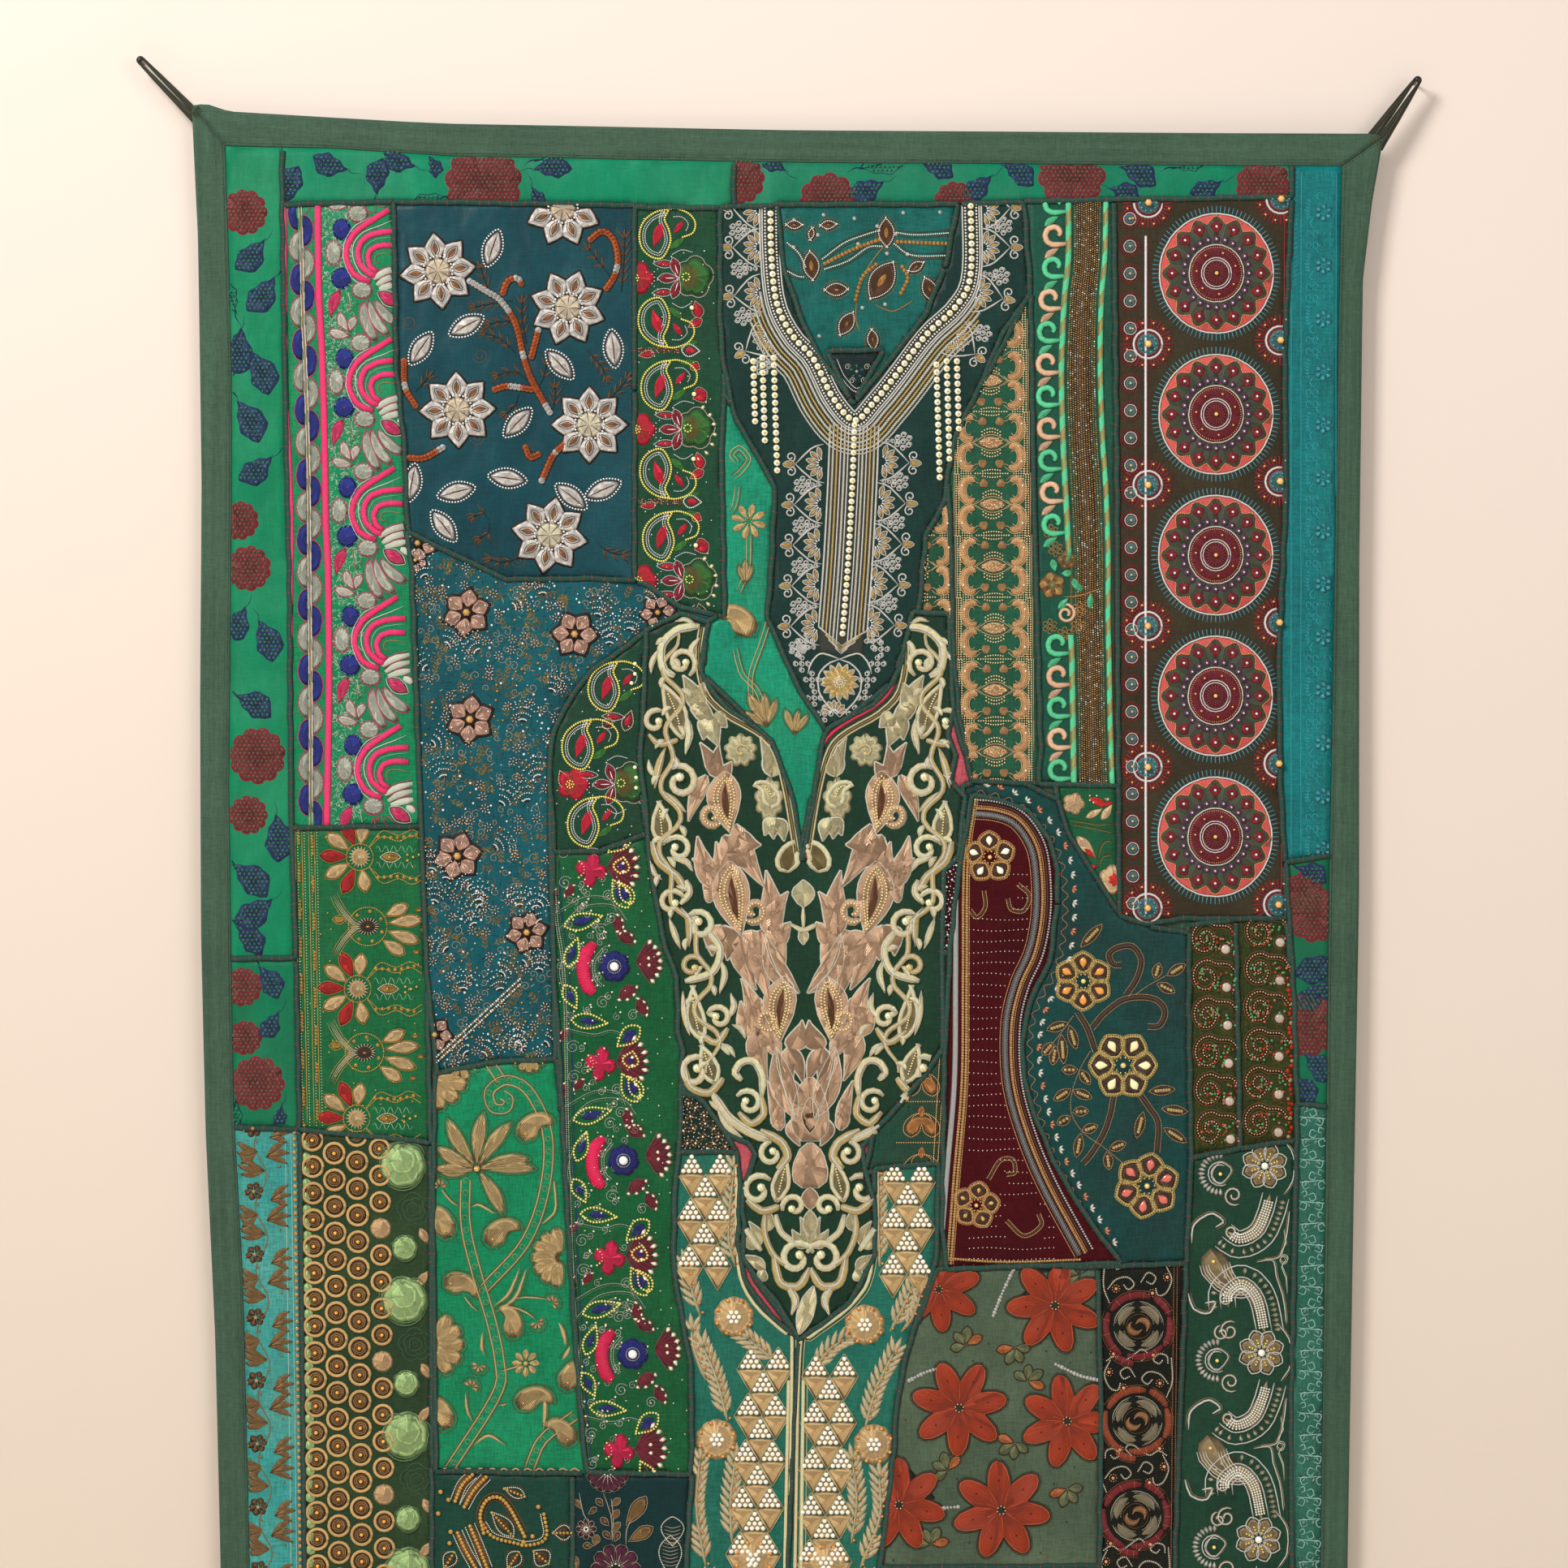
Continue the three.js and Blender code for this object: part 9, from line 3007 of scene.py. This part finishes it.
def sew_silver_paisley():
    """Silver paisleys in a chain: pearl flowers, beaded bands with a fringe, shells and curls."""
    silver, white = rgb(208, 196, 168), rgb(236, 226, 204)
    gold, dark = rgb(220, 184, 100), rgb(146, 128, 94)
    work = Work("silver_paisley")

    def cord(line, width=1.7, closed=False):
        """A bright cord with a darker one along its outer side."""
        line = curve(line, 2.0, closed)
        work.ridge(line, width, white, height=1.3, closed=closed, kind="silver")
        work.ridge(beside(line, width * 0.9), 1.1, dark, height=0.7, closed=closed, kind="gold")

    def band(line, rows, reach, turn):
        """A bent band of beads between two cords, with a fringe of looped teeth on one side."""
        line = curve(line, 2.2)
        work.ridge(line, rows * 2.7 + 2, dark, height=0.7, section="dome", taper="leaf")
        for row in range(rows):
            work.beads(beside(line, (row - (rows - 1) / 2) * 2.3)[3:-3], 1.15, white, sides=6,
                       rows=SEED_ROWS, base=0.5)
        edge = rows * 1.25 + 1.6
        for side in (edge, -edge):
            work.ridge(beside(line, side), 1.6, white, kind="silver", height=1.2)
        inner = beside(line, turn * (edge + 1.6))[1:-1:2]
        outer = beside(line, turn * (edge + reach))[1:-1:2]
        work.pad(leaf_rings(inner, outer, 4.2, "petal", count=5), silver, kind="silver", height=1.2)
        work.ridges(np.stack([inner, (inner + outer) / 2], 1), 0.9, dark, kind="gold", height=0.4, base=1.0)
        work.ridge(beside(line, turn * (edge + reach + 1.4)), 1.6, white, kind="silver", height=1.1)

    for k in range(-1, 5):
        work.home()
        work.at((2 - 2.5 * k, -164.5 * k))
        flower = (418, -1076)
        band(((389, -1037), (389, -1024), (401, -1016), (414, -1029), (421, -1060)), 4, 9, 1)
        band(((385, -1133), (396, -1140), (411, -1133), (419, -1116), (423, -1101)), 4, 9, -1)
        work.pad(petals(flower, 4, 19.5, 11.5, 8, 20), dark, height=0.8, kind="gold")
        for ring in petals(flower, 4, 20.5, 12.5, 8, 20, count=8):
            work.ridge(ring, 1.6, white, closed=True, height=1.4, kind="silver")
        for radius in (6.4, 9, 11.6):
            work.beads(around(flower, radius, 8, 20), 1.2, gold, sides=6, rows=SEED_ROWS, base=0.9)
        work.beads([flower], 3.4, white, sides=10, tall=0.8, base=1.0)
        shell = (379, -1083)
        ends = spokes(shell, 12, 20, 15, 88, 272, 2)
        work.pad(leaf_rings(ends[:, 0], ends[:, 1], 4.0, "petal", count=6), white, kind="silver",
                 height=1.3)
        for radius in (10.5, 8.0):
            work.ridge(arc(shell, radius, 60, 300, 20), 1.5, white, kind="silver", height=1.2)
        cord(((372, -1083), (379, -1073), (389, -1080), (379, -1092)), 1.4, True)
        work.beads([shell], 1.9, gold, base=0.5)
        for centre, radius, start, turns in (((390, -1057), 9, 60, 1.4), ((391, -1102), 9, -60, -1.4),
                                             ((387, -1029), 6, 60, 1.4), ((389, -1134), 6, 0, -1.4),
                                             ((383, -1059), 7, 100, 1.2)):
            work.ridge(spiral(centre, radius, 1.8, start, turns, 20), 3.4, dark, kind="gold", height=0.9)
            work.ridge(spiral(centre, radius, 1.8, start, turns, 20), 1.9, white, kind="silver", height=1.5)
        comma = comma_ring((373, -1160), 66, 26, -80, 100)
        work.pad(comma, dark, height=0.5, kind="gold")
        for inset in (0.0, 2.6, 5.2, 7.6):
            ring = drawn_in(comma, inset)
            work.ridge(ring[2:-2], 1.6, white if inset != 2.6 else silver, kind="silver", height=1.2)
        work.beads([(373, -1160)], 1.8, gold, base=0.8)
        cord(((354, -1144), (356, -1128), (371, -1118), (382, -1125), (375, -1130)), 2.4)
        cord(((351, -1188), (356, -1202), (369, -1206), (375, -1196), (366, -1197)), 2.4)
        cord(((414, -996), (428, -995), (431, -1009), (437, -1027), (440, -1051)), 1.5)
        cord(((418, -1158), (431, -1156), (437, -1140), (440, -1116)), 1.5)
        cord(((433, -1051), (443, -1066), (443, -1088), (435, -1101)), 1.5)
        for trefoil in np.array(((436, -993), (433, -1159))):
            work.ridge(np.vstack([trefoil + (2, 26), trefoil + (4, 14), trefoil + (-1, 6),
                                  trefoil + (4, 0)]), 0.9, white, height=0.8)
            work.ridge(np.vstack([trefoil + (4, 0), trefoil + (0, -6), trefoil + (4, -16),
                                  trefoil + (5, -30)]), 0.9, white, height=0.8)
            work.ridge(around(trefoil + (2, 0), 3.4, 10), 0.9, white, closed=True, height=0.8)
    work.finish()


def sew_mesh_rosette():
    """Rosettes of satin arcs and silver mesh, with beaded silver scrolls between them."""
    silver, bronze, rust = rgb(116, 108, 88), rgb(128, 90, 58), rgb(126, 50, 18)
    red, bright, bead = rgb(108, 10, 22), rgb(192, 188, 174), rgb(180, 128, 94)
    work = Work("mesh_rosette")
    for k in range(6):
        colour = rust if k % 2 else red
        centre = np.array((312, -1053)) + (-1.2 * k, -83.5 * k)
        work.at(centre, 6 * k)
        for start, end, radius in ((20, 62, 29), (68, 150, 28), (155, 238, 29), (230, 262, 33),
                                   (248, 320, 27), (322, 378, 28)):
            line = arc((0, 0), radius, start, end, 14)
            work.ridge(line, 7, colour, height=1.6, section="dome", taper="soft")
            bands = line[2::4]
            way = bands / np.linalg.norm(bands, axis=1, keepdims=True)
            work.ridges(np.stack([bands - way * 3.2, bands + way * 3.2], 1), 1.1, bead, kind="gold",
                        height=0.4, base=1.4)
            work.ridge(arc((0, 0), radius + 4, start, end, 16), 0.9, bronze, kind="gold", height=0.7)
        for start, end in ((100, 178), (190, 262), (276, 350), (4, 88)):
            line = arc((0, 0), 17, start, end, 12)
            work.ridge(line, 9.5, silver, height=1.2, section="dome", taper="leaf", kind="silver")
            for radius in (13.4, 17, 20.6):
                work.string(arc((0, 0), radius, start + 8, end - 8, 14), 0.75, silver * 1.25, **SEEDS,
                            kind="beads", base=0.9)
            work.ridge(arc((0, 0), 22, start, end, 14), 0.9, bright, kind="silver", height=0.9)
        for turn in (0, 180):
            line = arc((2.6 * math.cos(math.radians(turn)), 2.6 * math.sin(math.radians(turn))), 5.6,
                       turn - 40, turn + 150, 10)
            work.ridge(line, 6.4, bronze, kind="gold", height=1.5, section="dome", taper="leaf")
            work.string(line, 0.7, bead, **SEEDS, base=1.2)
        work.ridge(around((0, 0), 11, 22), 1.0, bronze * 0.7, kind="gold", closed=True, height=0.8)
        work.at(centre + (0, 41.5), 0, 1, flip=bool(k % 2))
        for points in (((-27, 10), (-26, 16), (-19, 18), (-14, 13), (-19, 9), (-22, 12)),
                       ((-4, 12), (-9, 18), (-4, 22), (2, 18), (12, 12), (20, 16), (27, 12)),
                       ((-27, -8), (-20, 0), (-10, 2), (-4, -4), (-9, -9), (-13, -5)),
                       ((2, -2), (8, 6), (15, 2), (12, -4), (7, -2)),
                       ((24, 12), (29, 0), (24, -12), (17, -14), (15, -8)),
                       ((-30, 14), (-31, -6), (-26, -20))):
            line = curve(points, 2.0)
            work.ridge(line, 2.8, silver * 0.8, height=0.7, kind="silver")
            work.string(line, 0.85, bright, **SEEDS, base=0.4)
        for place in ((-14, 17), (21, 18), (-20, -8), (12, -12), (25, 2)):
            work.beads(around(place, 3.2, 9), 0.8, bead, **SEEDS)
            work.beads([place], 1.9, bead, kind="sequins")
    work.home()
    edge = np.column_stack([np.linspace(343, 339, 200), np.linspace(-1000, -1450, 200)])
    for shift in (0, 3):
        work.string(edge + (shift, 0), 0.8, bronze * 1.1, **SEEDS)
    work.finish()


def sew_scrolls():
    """Beaded scrolls one under the other, each with a stone, and a column of sequins."""
    brown, bead, gold, stone = rgb(80, 54, 24), rgb(196, 158, 124), rgb(120, 88, 42), rgb(156, 142, 130)
    red, green, rose, moss = rgb(196, 62, 34), rgb(90, 170, 112), rgb(222, 120, 110), rgb(40, 66, 34)
    for patch, first, count in (("scroll_left", (370, -712), 6), ("scroll_right", (418, -706), 6)):
        work = Work(patch)
        for k in range(count):
            work.at(np.array(first) + (0.9 * k if patch == "scroll_left" else -0.3 * k, -33.4 * k))
            fill = random.normal((8, -2), (11, 9), (120, 2))
            tone = np.array([moss, gold * 0.7, brown, moss])[random.integers(0, 4, 120)]
            work.ridges(fill[:, None] + random.uniform(-2.2, 2.2, (120, 2, 2)), 1.1, tone, kind="beads",
                        height=0.6)
            hook = spiral((0, 0), 13.5, 2.0, 50, 1.7, 26) * (1, 1.15)
            line = curve(np.vstack([[(27, 3), (20, 11)], hook]), 1.7)
            work.ridge(line, 5.4, brown * 0.4, height=0.5)
            for shift in (2.3, -2.3):
                work.ridge(beside(line, shift), 1.3, gold, kind="gold", height=0.9)
            work.string(line, 0.9, bead, gap=2.8, **SEEDS, base=0.5)
            work.beads([(18, -9)], 4.6, stone, sides=10, tall=0.6)
            work.ridge(around((18, -9), 5.8, 14), 1.2, gold, kind="gold", closed=True, height=0.7)
            spots = random.uniform((-8, -12), (26, 8), (30, 2))
            tone = np.array([red, green, rose, gold, green])[random.integers(0, 5, 30)]
            work.beads(spots, 1.2, tone, **SEQUINS, base=0.8)
            column = np.column_stack([random.normal(28, 1.2, 9), np.linspace(16, -17, 9)])
            tone = np.where(np.arange(9)[:, None] % 4 == 3, bead, red)
            work.beads(column, random.uniform(1.4, 2.2, 9), tone, kind="sequins", sides=8, rows=SEQUIN_ROWS,
                       tall=0.7)
            work.ridges(column[:, None] + random.uniform(-4, 4, (9, 2, 2)), 0.9, red * 0.6, height=0.5)
        work.home()
        work.finish()


def sew_pale_trim():
    """Small sprigs with curled ends, one under the other, in thread paler than the cloth."""
    light, deep = rgb(150, 202, 188), rgb(96, 156, 144)
    work = Work("pale_trim")
    for k in range(32):
        work.at((465 - 0.1 * k, -869 - 18.6 * k), 0, 1, flip=bool(k % 2))
        for points in (((-12, -5), (-7, -7), (-5, -2), (-9, 0), (-11, -3)),
                       ((-4, 6), (1, 8), (3, 3), (-1, 1), (-3, 4)),
                       ((2, -5), (7, -7), (9, -2), (5, 0), (3, -3)), ((-12, 1), (-2, 0), (11, -1)),
                       ((-10, 8), (-6, 10), (-5, 6), (-8, 5))):
            work.ridge(curve(points, 1.6), 1.4, light, height=0.7)
        work.pad(leaf_rings(((-6, 1), (2, 0), (7, 0)), ((-9, 5), (5, 5), (11, 4)), 2.8), deep, height=0.6)
        work.pad(leaf_rings(((-4, 0), (4, 0)), ((-1, -6), (8, -6)), 2.8), light, height=0.6)
    work.home()
    for x in (449, 478):
        work.ridge(np.column_stack([np.full(140, x), np.linspace(-861, -1450, 140)]), 1.0, deep,
                   taper="even", height=0.5)
    work.finish()


def sew_low_pieces():
    """The brown paisley, the wine spray, the cream flower and the small filling pieces."""
    brown, gold, pearl = rgb(92, 60, 28), rgb(206, 156, 80), rgb(226, 210, 190)
    work = Work("brown_paisley")
    for k in range(4):
        work.at((-2 * k, -88 * k), 0, 1)
        for points in (((-289, -1206), (-283, -1192), (-274, -1183)),
                       ((-281, -1211), (-273, -1197), (-262, -1185)),
                       ((-287, -1234), (-280, -1249), (-271, -1265)),
                       ((-276, -1228), (-268, -1247), (-261, -1265))):
            line = curve(points, 2)
            work.ridge(line, 9, brown, height=0.6, section="dome")
            work.beads(evenly(line, 3.2), 1.7, gold, **SEQUINS, base=0.4)
            for shift in (4.4, -4.4):
                work.string(beside(line, shift), 0.8, pearl, **SEEDS, base=0.2)
        arch = curve(((-264, -1234), (-267, -1218), (-261, -1205), (-250, -1203), (-240, -1214),
                      (-228, -1237)), 2)
        for shift in (0, 3.2, -3.2):
            work.ridge(beside(arch, shift), 2.6, brown, height=0.6)
        work.beads(evenly(arch, 3.4), 1.8, gold, **SEQUINS, base=0.4)
        lower = curve(((-262, -1225), (-254, -1235), (-236, -1240), (-226, -1242), (-212, -1237),
                       (-214, -1218)), 2)
        work.string(lower, 0.85, pearl, **SEEDS)
        work.beads(evenly(beside(lower, -3), 3.6), 1.7, gold, **SEQUINS)
        for base, tip, width in (((-257, -1216), (-238, -1237), 13), ((-203, -1234), (-187, -1234), 13),
                                 ((-220, -1250), (-207, -1261), 16), ((-243, -1266), (-233, -1251), 13),
                                 ((-299, -1266), (-290, -1251), 12), ((-246, -1195), (-228, -1202), 9)):
            ringed_drop(work, base, tip, width, brown, pearl, size=0.85)
            work.beads(evenly((base, tip), 3.2), 1.3, gold, **SEQUINS, base=1.0)
            work.ridge(curve(leaf_rings(base, tip, width + 5, "petal")[0], 2.4, closed=True), 1.2, brown,
                       closed=True, height=0.5)
        for place in ((-302, -1198), (-295, -1205), (-304, -1217), (-293, -1233), (-294, -1243),
                      (-221, -1237), (-229, -1242), (-216, -1211)):
            work.beads([place], 2.0, gold, kind="sequins", sides=8, rows=SEQUIN_ROWS)
    work.finish()
    work = Work("maroon_spray")
    wine, line_colour, leaf = rgb(84, 14, 52), rgb(186, 168, 150), rgb(134, 104, 62)
    for k in range(3):
        work.at((-3 * k, -110 * k))
        for centre, reach, start, end, count in (((-155, -1180), 19, 200, 340, 7),
                                                 ((-148, -1266), 22, 0, 360, 10),
                                                 ((-174, -1231), 9, 0, 360, 8)):
            rays = spokes(centre, reach * 0.2, reach, count, start, end, 2)
            rings = leaf_rings(rays[:, 1], rays[:, 0], reach * 0.5, "drop")
            work.pad(rings, wine, height=1.1)
            for ring in rings:
                work.ridge(ring, 0.8, line_colour, kind="silver", closed=True, height=1.1)
            work.ridges(rays * 0.5 + rays[:, :1] * 0.5, 0.9, pearl, kind="beads", height=0.6, base=0.9)
            work.beads(around(centre, reach * 0.2, 8), 1.0, pearl, **SEEDS, base=1.0)
        for points in (((-159, -1199), (-152, -1220), (-151, -1242)),
                       ((-139, -1247), (-138, -1230), (-129, -1216)),
                       ((-180, -1199), (-177, -1216), (-172, -1225)),
                       ((-151, -1242), (-150, -1221), (-152, -1204))):
            work.ridge(curve(points, 2), 1.2, line_colour, kind="silver", height=0.8)
        for base, tip, width in (((-139, -1228), (-121, -1202), 13), ((-137, -1242), (-115, -1229), 12),
                                 ((-159, -1211), (-165, -1204), 6), ((-152, -1211), (-144, -1204), 6),
                                 ((-152, -1223), (-145, -1214), 6), ((-152, -1234), (-144, -1225), 6),
                                 ((-154, -1228), (-161, -1221), 6), ((-152, -1240), (-159, -1233), 6),
                                 ((-149, -1242), (-145, -1233), 6), ((-177, -1214), (-184, -1205), 5),
                                 ((-172, -1218), (-165, -1212), 5), ((-167, -1246), (-164, -1236), 7),
                                 ((-168, -1246), (-177, -1245), 6), ((-181, -1266), (-186, -1254), 7)):
            ring = leaf_rings(base, tip, width, "petal")[0]
            work.pad(ring, leaf, height=0.8, kind="gold")
            work.ridge(ring, 0.8, line_colour, kind="silver", closed=True, height=1.0)
        for centre, low in (((-98, -1234), 12), ((-100, -1256), 17)):
            ring = leaf_rings(np.array(centre) - (0, low), np.array(centre) + (0, low + 2), 20, "petal")[0]
            work.string(curve(ring, 2, closed=True), 0.8, pearl, **SEEDS)
            for rise in np.arange(-low + 5, low - 3, 3.2):
                work.ridge(curve(((centre[0] - 7, centre[1] + rise), (centre[0], centre[1] + rise - 2),
                                  (centre[0] + 7, centre[1] + rise))), 1.1, line_colour * 0.8,
                           kind="silver", height=0.7)
    work.finish()
    work = Work("cream_flower")
    cream, scarlet, stem = rgb(228, 192, 146), rgb(214, 40, 30), rgb(132, 122, 52)
    work.pad(lobed((255, -593), 10.5, 5, 0.22, 70), cream, height=1.0)
    work.ridges(spokes((255, -593), 3, 8.6, 15, 0, 360, 3), 0.5, cream * 0.7, height=0.3, base=0.9)
    work.ridge(around((255, -593), 2.0, 10), 1.0, scarlet, closed=True, height=1.2)
    for base, tip, width, colour in (((267, -587), (284, -595), 8, scarlet),
                                     ((277, -596), (290, -591), 4, scarlet),
                                     ((281, -597), (265, -606), 7, cream),
                                     ((289, -593), (279, -608), 8, cream),
                                     ((275, -642), (257, -621), 11, cream),
                                     ((277, -649), (267, -648), 6, scarlet),
                                     ((274, -654), (268, -649), 5, scarlet),
                                     ((281, -588), (287, -590), 4, cream)):
        work.pad(leaf_rings(base, tip, width, "petal"), colour, height=0.9)
    work.pad(leaf_rings((274, -641), (263, -631), 6), scarlet, height=1.2)
    work.pad(lobed((290, -660), 14, 7, 0.15, 100), cream, height=0.9)
    work.pad(lobed((291, -660), 8, 7, 0.3, 100), scarlet, height=1.3)
    for points in (((251, -608), (264, -610), (277, -612), (290, -611)),
                   ((253, -612), (266, -614), (281, -617), (289, -619)),
                   ((276, -642), (280, -630), (285, -626), (289, -628)),
                   ((277, -649), (281, -640), (289, -639))):
        work.ridge(curve(points, 2), 1.1, stem, height=0.7)
        work.string(beside(curve(points, 2), 1.4), 0.5, brown, **SEEDS)
    work.beads(((269, -586), (275, -586), (269, -590), (272, -592), (285, -589), (274, -601),
                (283, -599)), 1.0, pearl, base=0.9)
    work.finish()
    copper, bead = rgb(186, 126, 76), rgb(208, 162, 108)
    work = Work("copper_corner")
    for k in range(3):
        for side in (1, -1):
            work.at((121, -836 - 36 * k), 0, 1, flip=side < 0)
            work.pad(comma_ring((9, -8), 26, 12, 90, 150), copper, height=1.0, kind="gold")
            work.string(curve(comma_ring((9, -8), 31, 15, 90, 150), 1.7, closed=True), 0.7, bead, **SEEDS)
        work.pad(leaf_rings((0, 2), (0, 14), 7), copper, height=1.0, kind="gold")
        work.string([(-22, -19), (22, -19)], 0.8, bead, gap=2.6, **SEEDS)
    work.home()
    work.string([(141, -814), (135, -914)], 0.8, bead, **SEEDS)
    work.string([(137, -814), (131, -914)], 0.8, bead, **SEEDS)
    work.finish()
    for patch, colour in (("dark_sliver", leaf), ("dark_lace", wine * 1.3)):
        work = Work(patch)
        for place in work.scattered(18, 7, 2):
            work.pad(petals(place, 0.6, 5, 2.6, 6, place[0] * 9), colour, height=0.7, kind="gold")
            work.beads([place], 1.3, pearl, **SEEDS, base=0.6)
        work.beads(work.scattered(90, 2.8, 1), 0.8, pearl * 0.9, **SEEDS)
        work.finish()
    work = Work("sage_low")
    for k in range(4):
        for side in (-1, 1):
            work.at((174 + 42 * side, -1296 - 46 * k), 8 * side * k)
            work.sprig(curve(((0, -18), (3, 0), (0, 18))), gold, leaf=11, pitch=7, width=4, stem=1.6,
                       kind="gold")
            work.pad(petals((0, 26), 1, 9, 5, 7, 90), pearl, height=1.0)
            work.beads([(0, 26)], 1.8, gold, kind="gold", base=0.8)
    work.home()
    work.beads(work.scattered(50, 14, 5), 1.0, gold, **SEQUINS)
    work.finish()


class HANGING_OT_left_side(bpy.types.Operator):
    """Sews the pieces on the left"""

    bl_idname = "hanging.left_side"
    bl_label = "Embroidery on the left"

    def execute(self, context):
        sew_daisy_satin()
        sew_beaded_turquoise()
        sew_border_scallop()
        sew_border_lotus()
        sew_border_rings()
        sew_trim_vine()
        return {"FINISHED"}


class HANGING_OT_yokes(bpy.types.Operator):
    """Sews the three yokes and the neck inset"""

    bl_idname = "hanging.yokes"
    bl_label = "Yokes"

    def execute(self, context):
        sew_yoke_pearl()
        sew_neck()
        sew_yoke_gold()
        sew_diamonds()
        return {"FINISHED"}


class HANGING_OT_middle(bpy.types.Operator):
    """Sews the strips between the yokes and the two sides"""

    bl_idname = "hanging.middle"
    bl_label = "Embroidery in the middle"

    def execute(self, context):
        sew_paisleys()
        sew_navy_flower()
        sew_gold_vine()
        sew_blocks()
        sew_ribbon_border()
        return {"FINISHED"}


class HANGING_OT_right_side(bpy.types.Operator):
    """Sews the pieces on the right"""

    bl_idname = "hanging.right_side"
    bl_label = "Embroidery on the right"

    def execute(self, context):
        sew_mandala_border()
        sew_maroon_panel()
        sew_teal_panel()
        sew_rust_star()
        sew_turquoise_trim()
        sew_silver_paisley()
        sew_mesh_rosette()
        sew_scrolls()
        sew_pale_trim()
        return {"FINISHED"}


class HANGING_OT_low_pieces(bpy.types.Operator):
    """Sews the low and the small pieces, and prints the cotton strips"""

    bl_idname = "hanging.low_pieces"
    bl_label = "Low and small pieces"

    def execute(self, context):
        sew_low_pieces()
        sew_prints()
        return {"FINISHED"}


SEWN = (HANGING_OT_left_side, HANGING_OT_yokes, HANGING_OT_middle, HANGING_OT_right_side,
        HANGING_OT_low_pieces)

OPERATORS = (
    HANGING_OT_ground,
    HANGING_OT_cut_pieces,
    HANGING_OT_binding,
    HANGING_OT_loops,
    HANGING_OT_nails,
    HANGING_OT_joins,
    *SEWN,
    HANGING_OT_stage,
)


class HANGING_PT_panel(bpy.types.Panel):
    """Lists the pieces of the hanging and what can be changed on them."""

    bl_label = "Wall hanging"
    bl_idname = "HANGING_PT_panel"
    bl_space_type = "VIEW_3D"
    bl_region_type = "UI"
    bl_category = "Hanging"

    def draw(self, context):
        column = self.layout.column()
        for group in (context.scene.hanging_sizes, context.scene.hanging_colours):
            for name in group.__annotations__:
                column.prop(group, name)
        for operator in OPERATORS:
            column.operator(operator.bl_idname)


CLASSES = (HANGING_PG_sizes, HANGING_PG_colours, *OPERATORS, HANGING_PT_panel)


def register():
    for item in CLASSES:
        bpy.utils.register_class(item)
    bpy.types.Scene.hanging_sizes = bpy.props.PointerProperty(type=HANGING_PG_sizes)
    bpy.types.Scene.hanging_colours = bpy.props.PointerProperty(type=HANGING_PG_colours)


def unregister():
    del bpy.types.Scene.hanging_colours
    del bpy.types.Scene.hanging_sizes
    for item in reversed(CLASSES):
        bpy.utils.unregister_class(item)


def main():
    """Sews the hanging."""
    register()
    for operator in OPERATORS:
        group, name = operator.bl_idname.split(".")
        getattr(getattr(bpy.ops, group), name)()
    boxes = {"cad": CAD_BOX, "visual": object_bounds()}
    {name: [list(corner) for corner in box] for name, box in boxes.items()}


if __name__ == "__main__":
    main()
